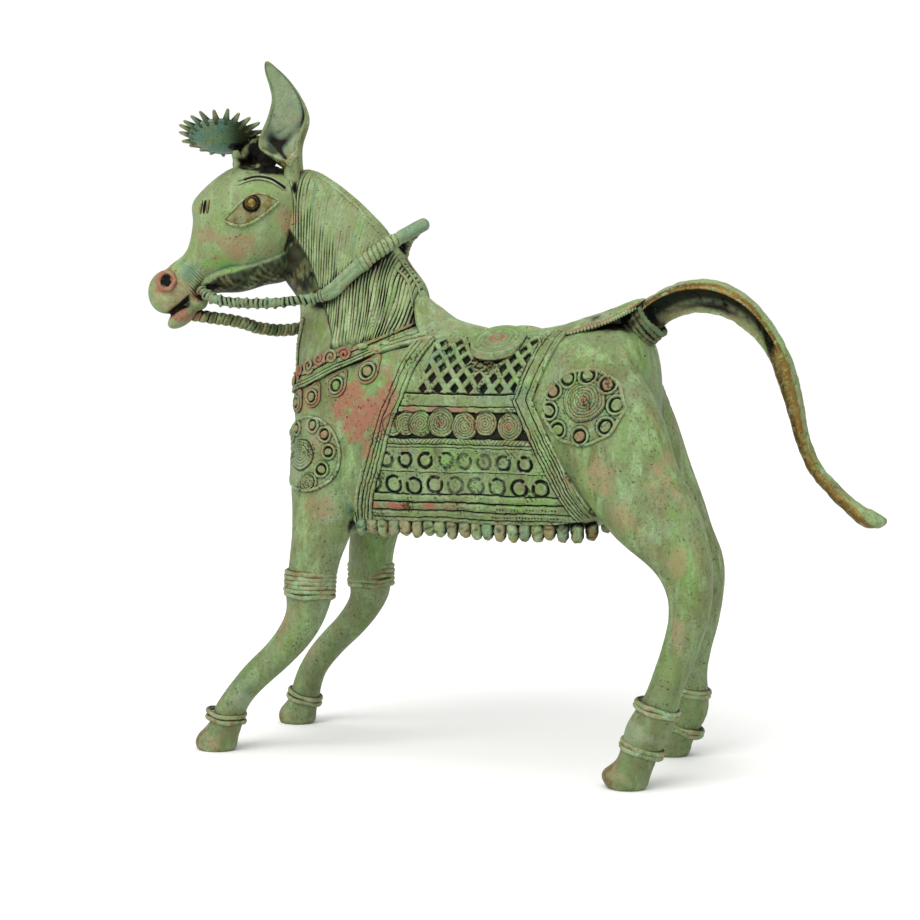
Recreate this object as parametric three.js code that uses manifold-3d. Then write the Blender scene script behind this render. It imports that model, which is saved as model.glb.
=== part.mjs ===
// A lost-wax cast brass horse with a saddle, a patterned cloth, reins and a spiked crown.
//
// Lengths are millimetres. The horse looks along -X, its near side is -Y and +Z is up.
// The whole casting is one solid: bodies are lofts through named stations, and what lies
// on the body is cut from the same lofts made a little fatter, so it follows their curve.

import * as THREE from "three";
import { mergeVertices } from "three/addons/utils/BufferGeometryUtils.js";
import Module from "manifold-3d";

const wasm = await Module();
wasm.setup();

const WELD = 1e-3;
const NEAR = -1;
const FAR = 1;
const SIDES = [NEAR, FAR];

// Driving dimensions
const STANCE = 32.5; // half the distance between the left and right hooves
const HEAD_TURN = THREE.MathUtils.degToRad(24); // the head looks a little to the near side
const POLL = new THREE.Vector3(-82, -2, 0); // the upright line that the head turns about

// How finely each body is faceted
const FACETS = {
  barrel: { rings: 10, sides: 12 },
  neck: { rings: 7, sides: 20 },
  plainNeck: { rings: 7, sides: 12 },
  skull: { rings: 12, sides: 12 },
  jaw: { rings: 5, sides: 8 },
  leg: { rings: 12, sides: 8 },
  tail: { rings: 15, sides: 6 },
  saddle: { rings: 10, sides: 8 },
  ear: { rings: 8, sides: 6 },
};

// Barrel: the middle of each oval, its half height and half width
const BARREL_CORNERS = { top: 2.15, belly: 3.2 }; // 2 is an oval, more is squarer
const BARREL = [
  { at: [-84.5, 0, 122], tall: 0, wide: 0 },
  { at: [-82.5, 0, 122], tall: 22, wide: 12 },
  { at: [-76, 0, 125], tall: 33, wide: 22 },
  { at: [-64, 0, 130], tall: 40, wide: 28.5 },
  { at: [-42, 0, 132.8], tall: 41.8, wide: 32 },
  { at: [-15, 0, 133], tall: 41, wide: 32.5 },
  { at: [12, 0, 132.8], tall: 40.3, wide: 32.5 },
  { at: [35, 0, 134.3], tall: 40.3, wide: 33 },
  { at: [52, 0, 137.3], tall: 39.3, wide: 31.5 },
  { at: [62, 0, 143], tall: 33, wide: 26 },
  { at: [68.3, 0, 148], tall: 24, wide: 18 },
  { at: [72.2, 0, 150], tall: 0, wide: 0 },
];

// Neck: from inside the chest up to the poll; its mane is fluted, crest to cheek
const MANE = { locks: 10, reach: 2.2, from: 0.3, deep: 0.022 };
const NECK = [
  { at: [-58, 0, 122], lean: 4, tall: 0, wide: 0 },
  { at: [-57.5, 0, 140], lean: 8, tall: 27, wide: 27 },
  { at: [-56, 0, 163], lean: 12, tall: 28, wide: 25 },
  { at: [-56.3, 0, 181.4], lean: 16, tall: 28.9, wide: 20 },
  { at: [-60.1, -1, 193.5], lean: 19, tall: 25, wide: 17 },
  { at: [-68.1, -2, 205], lean: 24, tall: 24.2, wide: 15 },
  { at: [-77.5, -3, 217.4], lean: 44, tall: 20.2, wide: 13 },
  { at: [-84.5, -4, 226.3], lean: 63, tall: 15.4, wide: 11 },
  { at: [-91, -5, 234], lean: 75, tall: 0, wide: 0 },
];

// Head: forward of the poll, up
const HEAD = [
  { at: [-3, 230], lean: 84, tall: 0, wide: 0 },
  { at: [2.1, 229.6], lean: 84, tall: 11.3, wide: 12 },
  { at: [10, 226.4], lean: 64, tall: 17.9, wide: 16.5 },
  { at: [19.1, 223.3], lean: 58, tall: 21.6, wide: 18.5 },
  { at: [31.7, 214.7], lean: 47, tall: 19.8, wide: 16.5 },
  { at: [38, 208.9], lean: 51, tall: 14.2, wide: 12 },
  { at: [43.6, 202.8], lean: 60, tall: 9.8, wide: 8.5 },
  { at: [47, 198], lean: 64, tall: 9.2, wide: 8 },
  { at: [51.8, 193.8], lean: 66, tall: 10.1, wide: 8.5 },
  { at: [57, 190.6], lean: 62, tall: 10, wide: 9 },
  { at: [62.5, 189.9], lean: 60, tall: 7.5, wide: 7.4 },
  { at: [66.3, 190.5], lean: 60, tall: 0, wide: 0 },
];
const JAW = [
  { at: [52, 190], lean: 90, tall: 0, wide: 0 },
  { at: [45, 193], lean: 90, tall: 4, wide: 6 },
  { at: [36, 196.5], lean: 90, tall: 6.2, wide: 8.5 },
  { at: [26.6, 198.5], lean: 90, tall: 7.8, wide: 10.5 },
  { at: [16.5, 201.5], lean: 90, tall: 7.9, wide: 11 },
  { at: [8, 204], lean: 90, tall: 8.5, wide: 10 },
  { at: [-4, 207], lean: 90, tall: 0, wide: 0 },
];

// Ear: forward of the poll, up
const EAR = [
  { at: [5, 232], lean: 0, tall: 0, wide: 0 },
  { at: [4.8, 236], lean: 0, tall: 3.6, wide: 2.6 },
  { at: [4.9, 241.7], lean: 0, tall: 3.7, wide: 2.6 },
  { at: [7.3, 245.5], lean: 0, tall: 5.8, wide: 3 },
  { at: [9.8, 249.5], lean: 0, tall: 8.2, wide: 3 },
  { at: [9.6, 254], lean: 0, tall: 8.6, wide: 2.8 },
  { at: [6.6, 262.5], lean: 0, tall: 8.1, wide: 2.4 },
  { at: [6.5, 269.6], lean: 0, tall: 6.4, wide: 2 },
  { at: [8.6, 275], lean: 0, tall: 5.2, wide: 1.7 },
  { at: [11, 279.2], lean: 0, tall: 4.1, wide: 1.5 },
  { at: [13.4, 282.9], lean: 0, tall: 2.4, wide: 1.3 },
  { at: [14.8, 285.6], lean: 0, tall: 0, wide: 0 },
];
const EAR_OFF = 9; // an ear's distance to the side of the head's middle
const EAR_DISH = { at: [7.8, 12.2, 263], half: [6, 2.4, 15] };

// Legs: each row is one level, with half the depth and half the width there
const NEAR_FORE = [
  { at: [-62, 19, 132], tall: 0, wide: 0 },
  { at: [-61.5, 20.5, 116], tall: 16, wide: 10.5 },
  { at: [-62, 23.5, 101], tall: 14, wide: 11 },
  { at: [-62.5, 26, 91], tall: 12.3, wide: 10.8 },
  { at: [-65, 27, 80], tall: 10.5, wide: 10 },
  { at: [-67, 27.5, 68], tall: 9.8, wide: 9.5 },
  { at: [-68, 28, 60], tall: 8.6, wide: 8.5 },
  { at: [-71.1, 29, 52.6], tall: 8.7, wide: 7.8 },
  { at: [-76.7, 30, 44.9], tall: 9, wide: 7.3 },
  { at: [-85.3, 31, 36.4], tall: 9.2, wide: 7 },
  { at: [-95.5, 32, 26], tall: 7.6, wide: 6.4 },
  { at: [-101.3, 32.3, 18.5], tall: 7, wide: 6.4 },
  { at: [-104, STANCE, 11.5], tall: 7.2, wide: 6.6 },
  { at: [-108, STANCE, 5.5], tall: 9, wide: 7.4 },
  { at: [-108.8, STANCE, 0.5], tall: 8.6, wide: 7.2 },
];
const FAR_FORE = [
  { at: [-62, 19, 132], tall: 0, wide: 0 },
  { at: [-61.5, 20.5, 116], tall: 16, wide: 10.5 },
  { at: [-62, 23.5, 101], tall: 14, wide: 11 },
  { at: [-63.5, 26, 89], tall: 11, wide: 10.8 },
  { at: [-65.4, 26.5, 79], tall: 9.8, wide: 10 },
  { at: [-66.4, 27, 68], tall: 9.3, wide: 9.5 },
  { at: [-67.2, 28, 59.5], tall: 8.4, wide: 8.5 },
  { at: [-73.2, 29, 50.4], tall: 8.6, wide: 7.8 },
  { at: [-81.6, 30, 41.8], tall: 9, wide: 7.3 },
  { at: [-89.6, 31, 34], tall: 8.1, wide: 7 },
  { at: [-96.8, 32, 25], tall: 6.8, wide: 6.4 },
  { at: [-100, 32.3, 18], tall: 6.5, wide: 6.4 },
  { at: [-102, STANCE, 11], tall: 6.9, wide: 6.6 },
  { at: [-105, STANCE, 5.5], tall: 8.4, wide: 7.4 },
  { at: [-105.4, STANCE, 0.5], tall: 8.2, wide: 7.2 },
];
const NEAR_HIND = [
  { at: [47, 14, 173], tall: 0, wide: 0 },
  { at: [49, 15.5, 160], tall: 19, wide: 12 },
  { at: [55, 19, 142], tall: 25, wide: 14.5 },
  { at: [64.4, 22.5, 122], tall: 23.2, wide: 14 },
  { at: [75.5, 26, 107], tall: 21.5, wide: 12.5 },
  { at: [83.3, 28, 95], tall: 17.9, wide: 11 },
  { at: [91.7, 29.5, 84.5], tall: 11.9, wide: 9.6 },
  { at: [94.9, 30, 75.5], tall: 8.8, wide: 8.6 },
  { at: [94.9, 30.5, 66], tall: 7.7, wide: 8 },
  { at: [92.4, 31, 56], tall: 7.2, wide: 7.4 },
  { at: [88.9, 31.5, 45.6], tall: 7, wide: 7 },
  { at: [85.3, 32, 36], tall: 7, wide: 7 },
  { at: [81.2, STANCE, 26], tall: 8.3, wide: 8 },
  { at: [78.8, STANCE, 19.5], tall: 8.3, wide: 8 },
  { at: [75.5, STANCE, 11.5], tall: 7.6, wide: 7 },
  { at: [71.2, STANCE, 5.5], tall: 9.6, wide: 7.6 },
  { at: [71.3, STANCE, 0.5], tall: 7.8, wide: 7 },
];
const FAR_HIND = [
  { at: [43, 14, 173], tall: 0, wide: 0 },
  { at: [45, 15.5, 160], tall: 19, wide: 12 },
  { at: [50, 19, 142], tall: 22.5, wide: 14.5 },
  { at: [58.5, 22.5, 122], tall: 20, wide: 14 },
  { at: [65.2, 26, 107], tall: 18, wide: 12.5 },
  { at: [72.1, 28, 95], tall: 14.5, wide: 11 },
  { at: [79.4, 29.5, 84.5], tall: 11, wide: 9.6 },
  { at: [83.1, 30, 75.5], tall: 8.3, wide: 8.6 },
  { at: [82.8, 30.5, 66], tall: 7.8, wide: 8 },
  { at: [81.2, 31, 55], tall: 7.3, wide: 7.4 },
  { at: [78.6, 31.5, 44.6], tall: 7, wide: 7 },
  { at: [77, 32, 34], tall: 6.8, wide: 7 },
  { at: [76.6, STANCE, 22.5], tall: 7.9, wide: 7.8 },
  { at: [75.4, STANCE, 16.5], tall: 7.9, wide: 7.8 },
  { at: [73.5, STANCE, 11.5], tall: 7.2, wide: 7 },
  { at: [69, STANCE, 5.5], tall: 8.6, wide: 7.6 },
  { at: [68.5, STANCE, 0.5], tall: 7.8, wide: 7 },
];

const SOLE_DEPTH = 5; // what of each leg's loft lies below the floor, and is cut off flat

// How far out from the middle a leg is at two heights, for the bands wound on it
const LEG_LINE = { high: { z: 72, off: 27.4 }, low: { z: 32, off: STANCE } };

// How far each layer of wax work stands out of the body
const CLOTH = 0.9;
const CORD = 1.9;
const BUTTON = 0.9;
const SINK = 1.6; // how deep a button's foot is in the body

// Cloth on the barrel, in x and z on the side: corners, then rows from the top down
const CLOTH_OUTLINE = [
  [-22, 176],
  [41, 176],
  [39.5, 166],
  [33.5, 153],
  [31.5, 145],
  [40, 127],
  [57.5, 98],
  [-47.5, 98],
];
const CLOTH_FRONT = { top: [-22, 176], foot: [-47.5, 98], width: 8 };
const CLOTH_BACK = { top: [41, 176], knee: [32, 147], foot: [57.5, 98], width: 7.5 };
const BAND_INSET = 6; // what of each band's ends lies under the borders
const BANDS = [
  { z: 146.2, high: 6.6 },
  { z: 129, high: 5 },
  { z: 117.6, high: 2 },
  { z: 102.6, high: 8 },
];
const LATTICE = { from: [-13, 153.5], to: [30, 166], pitch: 10.5, pit: 3.5, deep: 1.8 };
const COILS = { from: [-25.5, 136.8], to: [23.4, 137.4], count: 6, radius: 4.6 };
const RINGS = [
  { from: [-29.5, 123], to: [29.6, 123], count: 8, radius: 2.9 },
  { from: [-36.8, 112.6], to: [36.1, 112.6], count: 9, radius: 3.2 },
];
const FRINGE = { from: -46, to: 56, count: 20, z: 96.4, half: [3.6, 3.6, 4.6], sink: 0.8 };

// Round patterns on the haunch, the breast and the collar
const HAUNCH = { at: [52.6, 144.6], half: [16, 14.6], ring: [13, 11], coil: 7.6, buttons: 8, button: 2.7 };
const BREAST = { at: [-67, 124.5], half: [16.5, 15.5], ring: [11, 10.5], coil: 5.6, buttons: 6, button: 2.6 };
const COLLAR = [
  [-27, 178],
  [-56, 165],
  [-90, 156],
  [-90, 149],
  [-56, 158.5],
  [-30, 171],
];
const PENDANTS = { at: [[-40.6, 157.6], [-54.3, 152.3], [-66.1, 148.1], [-76, 145]], radius: 4.4 };

// Saddle: a thin seat that dips in the middle, with its edges drooping by sag
const SADDLE = [
  { at: [-30.5, 0, 189.5], tall: 0, wide: 0, sag: 0 },
  { at: [-28.5, 0, 188.5], tall: 1.5, wide: 9, sag: 6 },
  { at: [-23, 0, 184], tall: 1.5, wide: 15, sag: 11 },
  { at: [-14, 0, 178], tall: 1.5, wide: 17.5, sag: 10 },
  { at: [-5, 0, 175], tall: 1.5, wide: 17, sag: 7 },
  { at: [6, 0, 173.2], tall: 1.5, wide: 15.5, sag: 5 },
  { at: [18, 0, 173.2], tall: 1.5, wide: 15, sag: 4.5 },
  { at: [30, 0, 174.4], tall: 1.5, wide: 14.5, sag: 4 },
  { at: [42, 0, 177.6], tall: 1.5, wide: 14, sag: 4 },
  { at: [54, 0, 181.2], tall: 1.5, wide: 13, sag: 4 },
  { at: [63, 0, 184.6], tall: 1.5, wide: 11, sag: 3 },
  { at: [68.5, 0, 186], tall: 0, wide: 0, sag: 0 },
];
const SADDLE_DISC = { at: [11, 18.6, 169.6], radius: 11.3, top: 9.6, thick: 2.6, rise: 50 };
const DISC_GROOVE = { radius: 5.1, thread: 0.9, sides: 6 };

// Crown: a shallow bowl, hollow side up and away from the near side, with spikes round its rim
const CROWN = {
  at: [34.6, 0, 256.2],
  radius: 12.9,
  valley: 12.1,
  inner: 10,
  deep: 4.5,
  wall: 2,
  lap: 1,
  tip: 33,
  spikes: 16,
  spike: 5,
  thick: 2.6,
  sides: 8,
};
const CROWN_STEMS = [
  { from: [27, 6, 239], to: [29.5, 5, 252], radius: 2 },
  { from: [17, -5, 240], to: [22, -3, 254.5], radius: 4 },
];

// Face: forward of the poll and up, on the side of the head
const EYE = { back: [10, 228], front: [32.3, 219.4], upper: [23.9, 232.3], lower: [17.9, 216.1], raise: 0.8 };
const IRIS = { at: [20.5, 226.3], ring: 3.3, thread: 0.7 };
const BROW = [
  [36.5, 233.2],
  [29, 236.4],
  [19.5, 237.2],
  [12, 235.4],
  [6.5, 231.5],
];
const BROW_CORD = { radius: 1.1, lift: 0.2 };
const NOSTRIL = { at: [57.5, 195.1], ring: 3.4, thread: 1.1, hole: 1.6, deep: 6 };
const MOUTH = { at: [55, 185.1], long: 15, wide: 30, open: 1.7, slant: -30 };
const LIP = { at: [52.9, 182.2], half: [7.6, 6, 3.3], slant: -34 };
const NOSEBAND = { at: [46.6, 196.8], half: [9.9, 8.9], lean: 64, thick: 3.2 };

// Reins: wound cord from the muzzle round the neck to a loop past the crest
const REIN_RADIUS = 2.6;
const REIN_NEAR = [
  [-119.5, -25.5, 192],
  [-109.9, -29, 187.4],
  [-98.6, -28, 185.7],
  [-85.6, -26, 185.6],
  [-73, -23.5, 186.8],
  [-64.9, -21.5, 188],
  [-58.5, -20.5, 190.8],
  [-54.4, -19.5, 194.8],
  [-46.3, -17.5, 202],
  [-39.2, -13.5, 208.1],
  [-34.6, -9, 211.9],
  [-30.2, -4, 215.7],
  [-26, 0, 218.6],
];
const REIN_FAR = [
  [-128.5, -22, 181.5],
  [-118.2, -15, 179.8],
  [-109, -10, 178.1],
  [-103.3, -3, 175.6],
  [-96.2, 6, 174.8],
  [-88, 14, 177],
  [-78, 18.5, 181.5],
  [-66, 19.5, 187],
  [-56, 19, 193],
  [-46, 16.5, 202],
  [-40, 11.5, 208.5],
  [-34, 5.8, 213.6],
  [-26, 1, 218.6],
];

// Wound bands on the legs: x and z of the middle, half sizes, half thickness, slope in degrees
const LEG_BANDS = {
  near: [
    { at: [-66.8, 71.2], half: [10.3, 10.1], thick: 5.4, slope: 3 },
    { at: [-104.3, 14.6], half: [9, 8.3], thick: 3, slope: 8 },
    { at: [83.8, 31.4], half: [9.1, 8.7], thick: 1.6, slope: 16 },
    { at: [77.7, 15.9], half: [8.9, 8.5], thick: 1.6, slope: 18 },
  ],
  far: [
    { at: [-66.2, 69], half: [9.9, 9.7], thick: 5, slope: 0 },
    { at: [-102, 12], half: [8.5, 8.1], thick: 2.8, slope: 17 },
    { at: [76.9, 27.2], half: [8.6, 8.7], thick: 1.6, slope: 9 },
    { at: [73.8, 11.8], half: [8.4, 8.3], thick: 1.6, slope: 18 },
  ],
};
const TAIL_WRAP = { at: [66, 176.5], half: [8, 8.4], thick: 3.6, slope: 35 };

// Tail: arched up from the rump, down behind, and out to a flat tip
const TAIL = [
  { at: [60, 0, 165], lean: 130, tall: 0, wide: 0 },
  { at: [63, 0, 172], lean: 112, tall: 6.6, wide: 7 },
  { at: [69.1, 0, 179.5], lean: 112, tall: 6.3, wide: 6.5 },
  { at: [75.5, 0, 184], lean: 112, tall: 6, wide: 6.2 },
  { at: [83.5, 0, 186.9], lean: 108, tall: 6.2, wide: 6 },
  { at: [92, 0, 187.4], lean: 94, tall: 6.4, wide: 6 },
  { at: [99.5, 0, 185.6], lean: 78, tall: 6.2, wide: 5.8 },
  { at: [107.5, 0, 181], lean: 62, tall: 5.4, wide: 5.5 },
  { at: [114.5, 0, 174], lean: 45, tall: 4.4, wide: 5 },
  { at: [120.5, 0, 164.5], lean: 32, tall: 3.9, wide: 4.6 },
  { at: [124.4, 0, 154.5], lean: 22, tall: 3.9, wide: 4.2 },
  { at: [127.6, 0, 143.5], lean: 18, tall: 3.3, wide: 3.8 },
  { at: [130.2, 0, 132.5], lean: 25, tall: 2.8, wide: 3.5 },
  { at: [134.8, 0, 122], lean: 38, tall: 2.8, wide: 3.3 },
  { at: [142, 0, 113.8], lean: 50, tall: 2.8, wide: 3.3 },
  { at: [149.5, 0, 107], lean: 54, tall: 3, wide: 3.8 },
  { at: [155.5, 0, 103.2], lean: 60, tall: 3.6, wide: 5 },
  { at: [160, 0, 101.9], lean: 66, tall: 2.4, wide: 4.5 },
  { at: [162.3, 0, 101.9], lean: 70, tall: 0, wide: 0 },
];

/** A closed three.js geometry as a solid that can be joined and cut. */
function solidOf(geometry) {
  const bare = geometry.clone();
  bare.deleteAttribute("normal");
  bare.deleteAttribute("uv");
  const welded = facingOut(mergeVertices(bare, WELD));
  return new wasm.Manifold(
    new wasm.Mesh({
      numProp: 3,
      vertProperties: new Float32Array(welded.attributes.position.array),
      triVerts: new Uint32Array(welded.index.array),
    }),
  );
}

/** A joined solid back as a three.js geometry. */
function geometryOf(solid) {
  const mesh = solid.getMesh();
  const geometry = new THREE.BufferGeometry();
  geometry.setAttribute("position", new THREE.BufferAttribute(mesh.vertProperties, mesh.numProp));
  geometry.setIndex(new THREE.BufferAttribute(mesh.triVerts, 1));
  geometry.computeVertexNormals();
  return geometry;
}

function joined(solids) {
  return solids.reduce((whole, next) => whole.add(next));
}

/** The value at a share of the way through a row of values, on a Catmull-Rom curve. */
function blend(values, share) {
  const place = share * (values.length - 1);
  const first = Math.min(Math.floor(place), values.length - 2);
  const [before, from, to, after] = [-1, 0, 1, 2].map(
    (step) => values[THREE.MathUtils.clamp(first + step, 0, values.length - 1)],
  );
  const t = place - first;
  const slopeFrom = (to - before) / 2;
  const slopeTo = (after - from) / 2;
  const rise = to - from;
  const bend = 3 * rise - 2 * slopeFrom - slopeTo;
  const twist = slopeFrom + slopeTo - 2 * rise;
  return from + t * (slopeFrom + t * (bend + t * twist));
}

/**
 * A closed body through stations, with poles at its ends. Each station is an oval: its middle, the
 * lean of its first axis out of the level in degrees, and its half sizes along that axis and aside.
 * @param {object[]} stations the ovals in order, with a size of nothing at both ends
 * @param {object} shape rings along it, sides round it, turn of its upright plane in radians,
 *   fat added all round, square for the corners (2 is an oval), ripple(angle, share) as a factor
 */
function loft(stations, { rings, sides, turn = 0, fat = 0, square = 2, ripple = () => 1 }) {
  const column = (pick) => stations.map(pick);
  const sags = column((station) => station.sag ?? 0);
  const [xs, ys, zs] = [0, 1, 2].map((axis) => column((station) => station.at[axis]));
  const leans = column((station) => THREE.MathUtils.degToRad(station.lean ?? 0));
  const talls = column((station) => station.tall);
  const wides = column((station) => station.wide);
  const aside = new THREE.Vector3(-Math.sin(turn), Math.cos(turn), 0);
  const forward = new THREE.Vector3(Math.cos(turn), Math.sin(turn), 0);
  const geometry = new THREE.SphereGeometry(1, sides, rings);
  const position = geometry.attributes.position;
  const point = new THREE.Vector3();
  const corner = (angle) => (typeof square === "number" ? square : square(angle));
  const rounded = (value, angle) => Math.sign(value) * Math.abs(value) ** (2 / corner(angle));
  for (let row = 0; row <= rings; row += 1) {
    const share = row / rings;
    const lean = blend(leans, share);
    const isPole = row === 0 || row === rings;
    const tall = isPole ? 0 : Math.max(blend(talls, share), 0) + fat;
    const wide = isPole ? 0 : Math.max(blend(wides, share), 0) + fat;
    for (let col = 0; col <= sides; col += 1) {
      const angle = ((col % sides) / sides) * Math.PI * 2;
      const swell = ripple(angle, share);
      const along = rounded(Math.cos(angle), angle) * tall * swell;
      const across = rounded(Math.sin(angle), angle) * wide * swell;
      point
        .set(blend(xs, share), blend(ys, share), blend(zs, share))
        .addScaledVector(forward, along * Math.cos(lean))
        .addScaledVector(aside, across);
      point.z += along * Math.sin(lean) - blend(sags, share) * Math.sin(angle) ** 2;
      position.setXYZ(row * (sides + 1) + col, point.x, point.y, point.z);
    }
  }
  return geometry;
}

/** The same closed, indexed geometry with its faces turned outwards. */
function facingOut(geometry) {
  const position = geometry.attributes.position;
  const index = geometry.index;
  const corners = [0, 1, 2].map(() => new THREE.Vector3());
  let volume = 0;
  for (let face = 0; face < index.count; face += 3) {
    corners.forEach((corner, k) => corner.fromBufferAttribute(position, index.getX(face + k)));
    volume += corners[0].dot(corners[1].clone().cross(corners[2]));
  }
  if (volume < 0) {
    for (let face = 0; face < index.count; face += 3) {
      const kept = index.getX(face);
      index.setX(face, index.getX(face + 1));
      index.setX(face + 1, kept);
    }
  }
  return geometry;
}

/** Stations given forward of the poll and up, set into the turned head at a distance to its side. */
function inHead(stations, off = 0) {
  return stations.map((station) => {
    const [forward, up] = station.at;
    const place = headPoint(forward, off, up);
    return { ...station, at: place.toArray() };
  });
}

/** A point of the head: forward of the poll, toward the near side, up. */
function headPoint(forward, off, up) {
  return new THREE.Vector3(
    POLL.x - Math.cos(HEAD_TURN) * forward + Math.sin(HEAD_TURN) * off,
    POLL.y - Math.sin(HEAD_TURN) * forward - Math.cos(HEAD_TURN) * off,
    up,
  );
}

function onSide(stations, side) {
  return stations.map((station) => ({
    ...station,
    at: [station.at[0], station.at[1] * side, station.at[2]],
  }));
}

function upright(stations) {
  return stations.map((station) => ({ ...station, lean: 90 }));
}

const HEAD_PLANE = HEAD_TURN + Math.PI;

function barrel(fat = 0) {
  const square = (angle) => (Math.cos(angle) > 0 ? BARREL_CORNERS.top : BARREL_CORNERS.belly);
  return solidOf(loft(upright(BARREL), { ...FACETS.barrel, fat, square }));
}

/** The neck, with the locks of its mane as flutes that run from the cheek to the shoulder. */
function neck() {
  const ripple = (angle, share) => {
    const fromCrest = Math.min(angle, Math.PI * 2 - angle);
    const isMane = fromCrest < MANE.reach && share > MANE.from;
    return isMane ? 1 + MANE.deep * Math.cos(MANE.locks * angle) : 1;
  };
  return solidOf(loft(NECK, { ...FACETS.neck, ripple }));
}

function plainNeck(fat) {
  return solidOf(loft(NECK, { ...FACETS.plainNeck, fat }));
}

function skull(fat = 0) {
  return solidOf(loft(inHead(HEAD), { ...FACETS.skull, turn: HEAD_PLANE, fat }));
}

function jaw() {
  return solidOf(loft(inHead(JAW), { ...FACETS.jaw, turn: HEAD_PLANE }));
}

function leg(stations, side, fat = 0) {
  const sole = stations[stations.length - 1];
  const end = { at: [sole.at[0], sole.at[1], -SOLE_DEPTH], tall: 0, wide: 0 };
  return solidOf(loft(onSide([...stations, end], side), { ...FACETS.leg, fat }));
}

function tail() {
  return solidOf(loft(TAIL, FACETS.tail));
}

/** The parts of the body that carry wax work, made fatter all round. */
function flesh(fat) {
  return joined([
    barrel(fat),
    fat === 0 ? neck() : plainNeck(fat),
    leg(NEAR_FORE, NEAR, fat),
    leg(FAR_FORE, FAR, fat),
    leg(NEAR_HIND, NEAR, fat),
    leg(FAR_HIND, FAR, fat),
  ]);
}

/** A bar across the horse with an outline in x and z, on one side of its middle. */
function sideBar(shape, side) {
  const middleGap = 2;
  const depth = 48;
  const geometry = new THREE.ExtrudeGeometry(shape, { depth, bevelEnabled: false });
  geometry.rotateX(Math.PI / 2);
  geometry.translate(0, side === NEAR ? -middleGap : depth + middleGap, 0);
  return solidOf(geometry);
}

function polygon(corners) {
  return new THREE.Shape(corners.map(([x, z]) => new THREE.Vector2(x, z)));
}

function oval([x, z], [halfX, halfZ], sides) {
  const corners = Array.from({ length: sides }, (_, k) => {
    const angle = ((k + 0.5) / sides) * Math.PI * 2;
    return [x + halfX * Math.cos(angle), z + halfZ * Math.sin(angle)];
  });
  return polygon(corners);
}

/** Points spread evenly from one place to another. */
function row({ from, to, count }) {
  return Array.from({ length: count }, (_, k) => {
    const share = k / (count - 1);
    return from.map((start, axis) => start + share * (to[axis] - start));
  });
}

/** Where the side of the body is at x and z, and which way it faces. */
function sidePlace(skin, x, z, side) {
  const outside = 90;
  const ray = new THREE.Raycaster(new THREE.Vector3(x, side * outside, z), new THREE.Vector3(0, -side, 0));
  const [hit] = ray.intersectObject(skin);
  return { point: hit.point, normal: hit.face.normal };
}

function sidePlaceOn(skin, [x, z], side, height) {
  return lifted(sidePlace(skin, x, z, side), height);
}

/** A geometry whose own Z axis is set along a direction at a point. */
function setOn(geometry, point, normal) {
  const turn = new THREE.Quaternion().setFromUnitVectors(new THREE.Vector3(0, 0, 1), normal);
  geometry.applyQuaternion(turn);
  geometry.translate(point.x, point.y, point.z);
  return solidOf(geometry);
}

/** A ring with a four-sided section: it cuts a V-shaped groove or makes a sharp thread. */
function ring(radius, thread, { point, normal }, sides = 8) {
  return setOn(new THREE.TorusGeometry(radius, thread, 4, sides), point, normal);
}

function lifted({ point, normal }, height) {
  return { point: point.clone().addScaledVector(normal, height), normal };
}

/** A round cord along points. */
function cord(points, radius, sides, steps) {
  const path = new THREE.CatmullRomCurve3(points.map((point) => new THREE.Vector3(...point)));
  const shape = oval([0, 0], [radius, radius], sides);
  return solidOf(new THREE.ExtrudeGeometry(shape, { extrudePath: path, steps }));
}

/** The front edge of the cloth at a height. */
function clothFrontAt(z) {
  const { top, foot } = CLOTH_FRONT;
  return foot[0] + ((z - foot[1]) / (top[1] - foot[1])) * (top[0] - foot[0]);
}

/** The back edge of the cloth at a height: it leans in down to the knee of the edge, then out. */
function clothBackAt(z) {
  const { top, knee, foot } = CLOTH_BACK;
  const [low, high] = z > knee[1] ? [knee, top] : [foot, knee];
  return low[0] + ((z - low[1]) / (high[1] - low[1])) * (high[0] - low[0]);
}

function clothBand({ z, high }) {
  const [low, up] = [z - high / 2, z + high / 2];
  return polygon([
    [clothFrontAt(low) + BAND_INSET, low],
    [clothBackAt(low) - BAND_INSET, low],
    [clothBackAt(up) - BAND_INSET, up],
    [clothFrontAt(up) + BAND_INSET, up],
  ]);
}

/** The raised borders at the front and the back of the cloth. */
function clothBorders() {
  const { top, foot, width } = CLOTH_FRONT;
  const front = polygon([top, foot, [foot[0] + width, foot[1]], [top[0] + width, top[1]]]);
  const outer = [CLOTH_BACK.top, CLOTH_BACK.knee, CLOTH_BACK.foot];
  const inner = outer.map(([x, z]) => [x - CLOTH_BACK.width, z]).reverse();
  return [front, polygon([...outer, ...inner])];
}

/** Where the pits between the crossed cords of the cloth's top field are. */
function latticePits() {
  const { from, to, pitch } = LATTICE;
  const places = [];
  const rows = Math.round((to[1] - from[1]) / (pitch / 2));
  for (let level = 0; level <= rows; level += 1) {
    const z = from[1] + (level * pitch) / 2;
    const start = from[0] + ((level % 2) * pitch) / 2;
    for (let x = start; x <= to[0]; x += pitch) {
      places.push([x, z]);
    }
  }
  return places;
}

/** A pit with four sloping walls, cut into the side. */
function pit(place) {
  const pyramid = new THREE.ConeGeometry(LATTICE.pit * 2, LATTICE.deep * 2, 4);
  pyramid.rotateX(-Math.PI / 2);
  return setOn(pyramid, place.point, place.normal);
}

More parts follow.
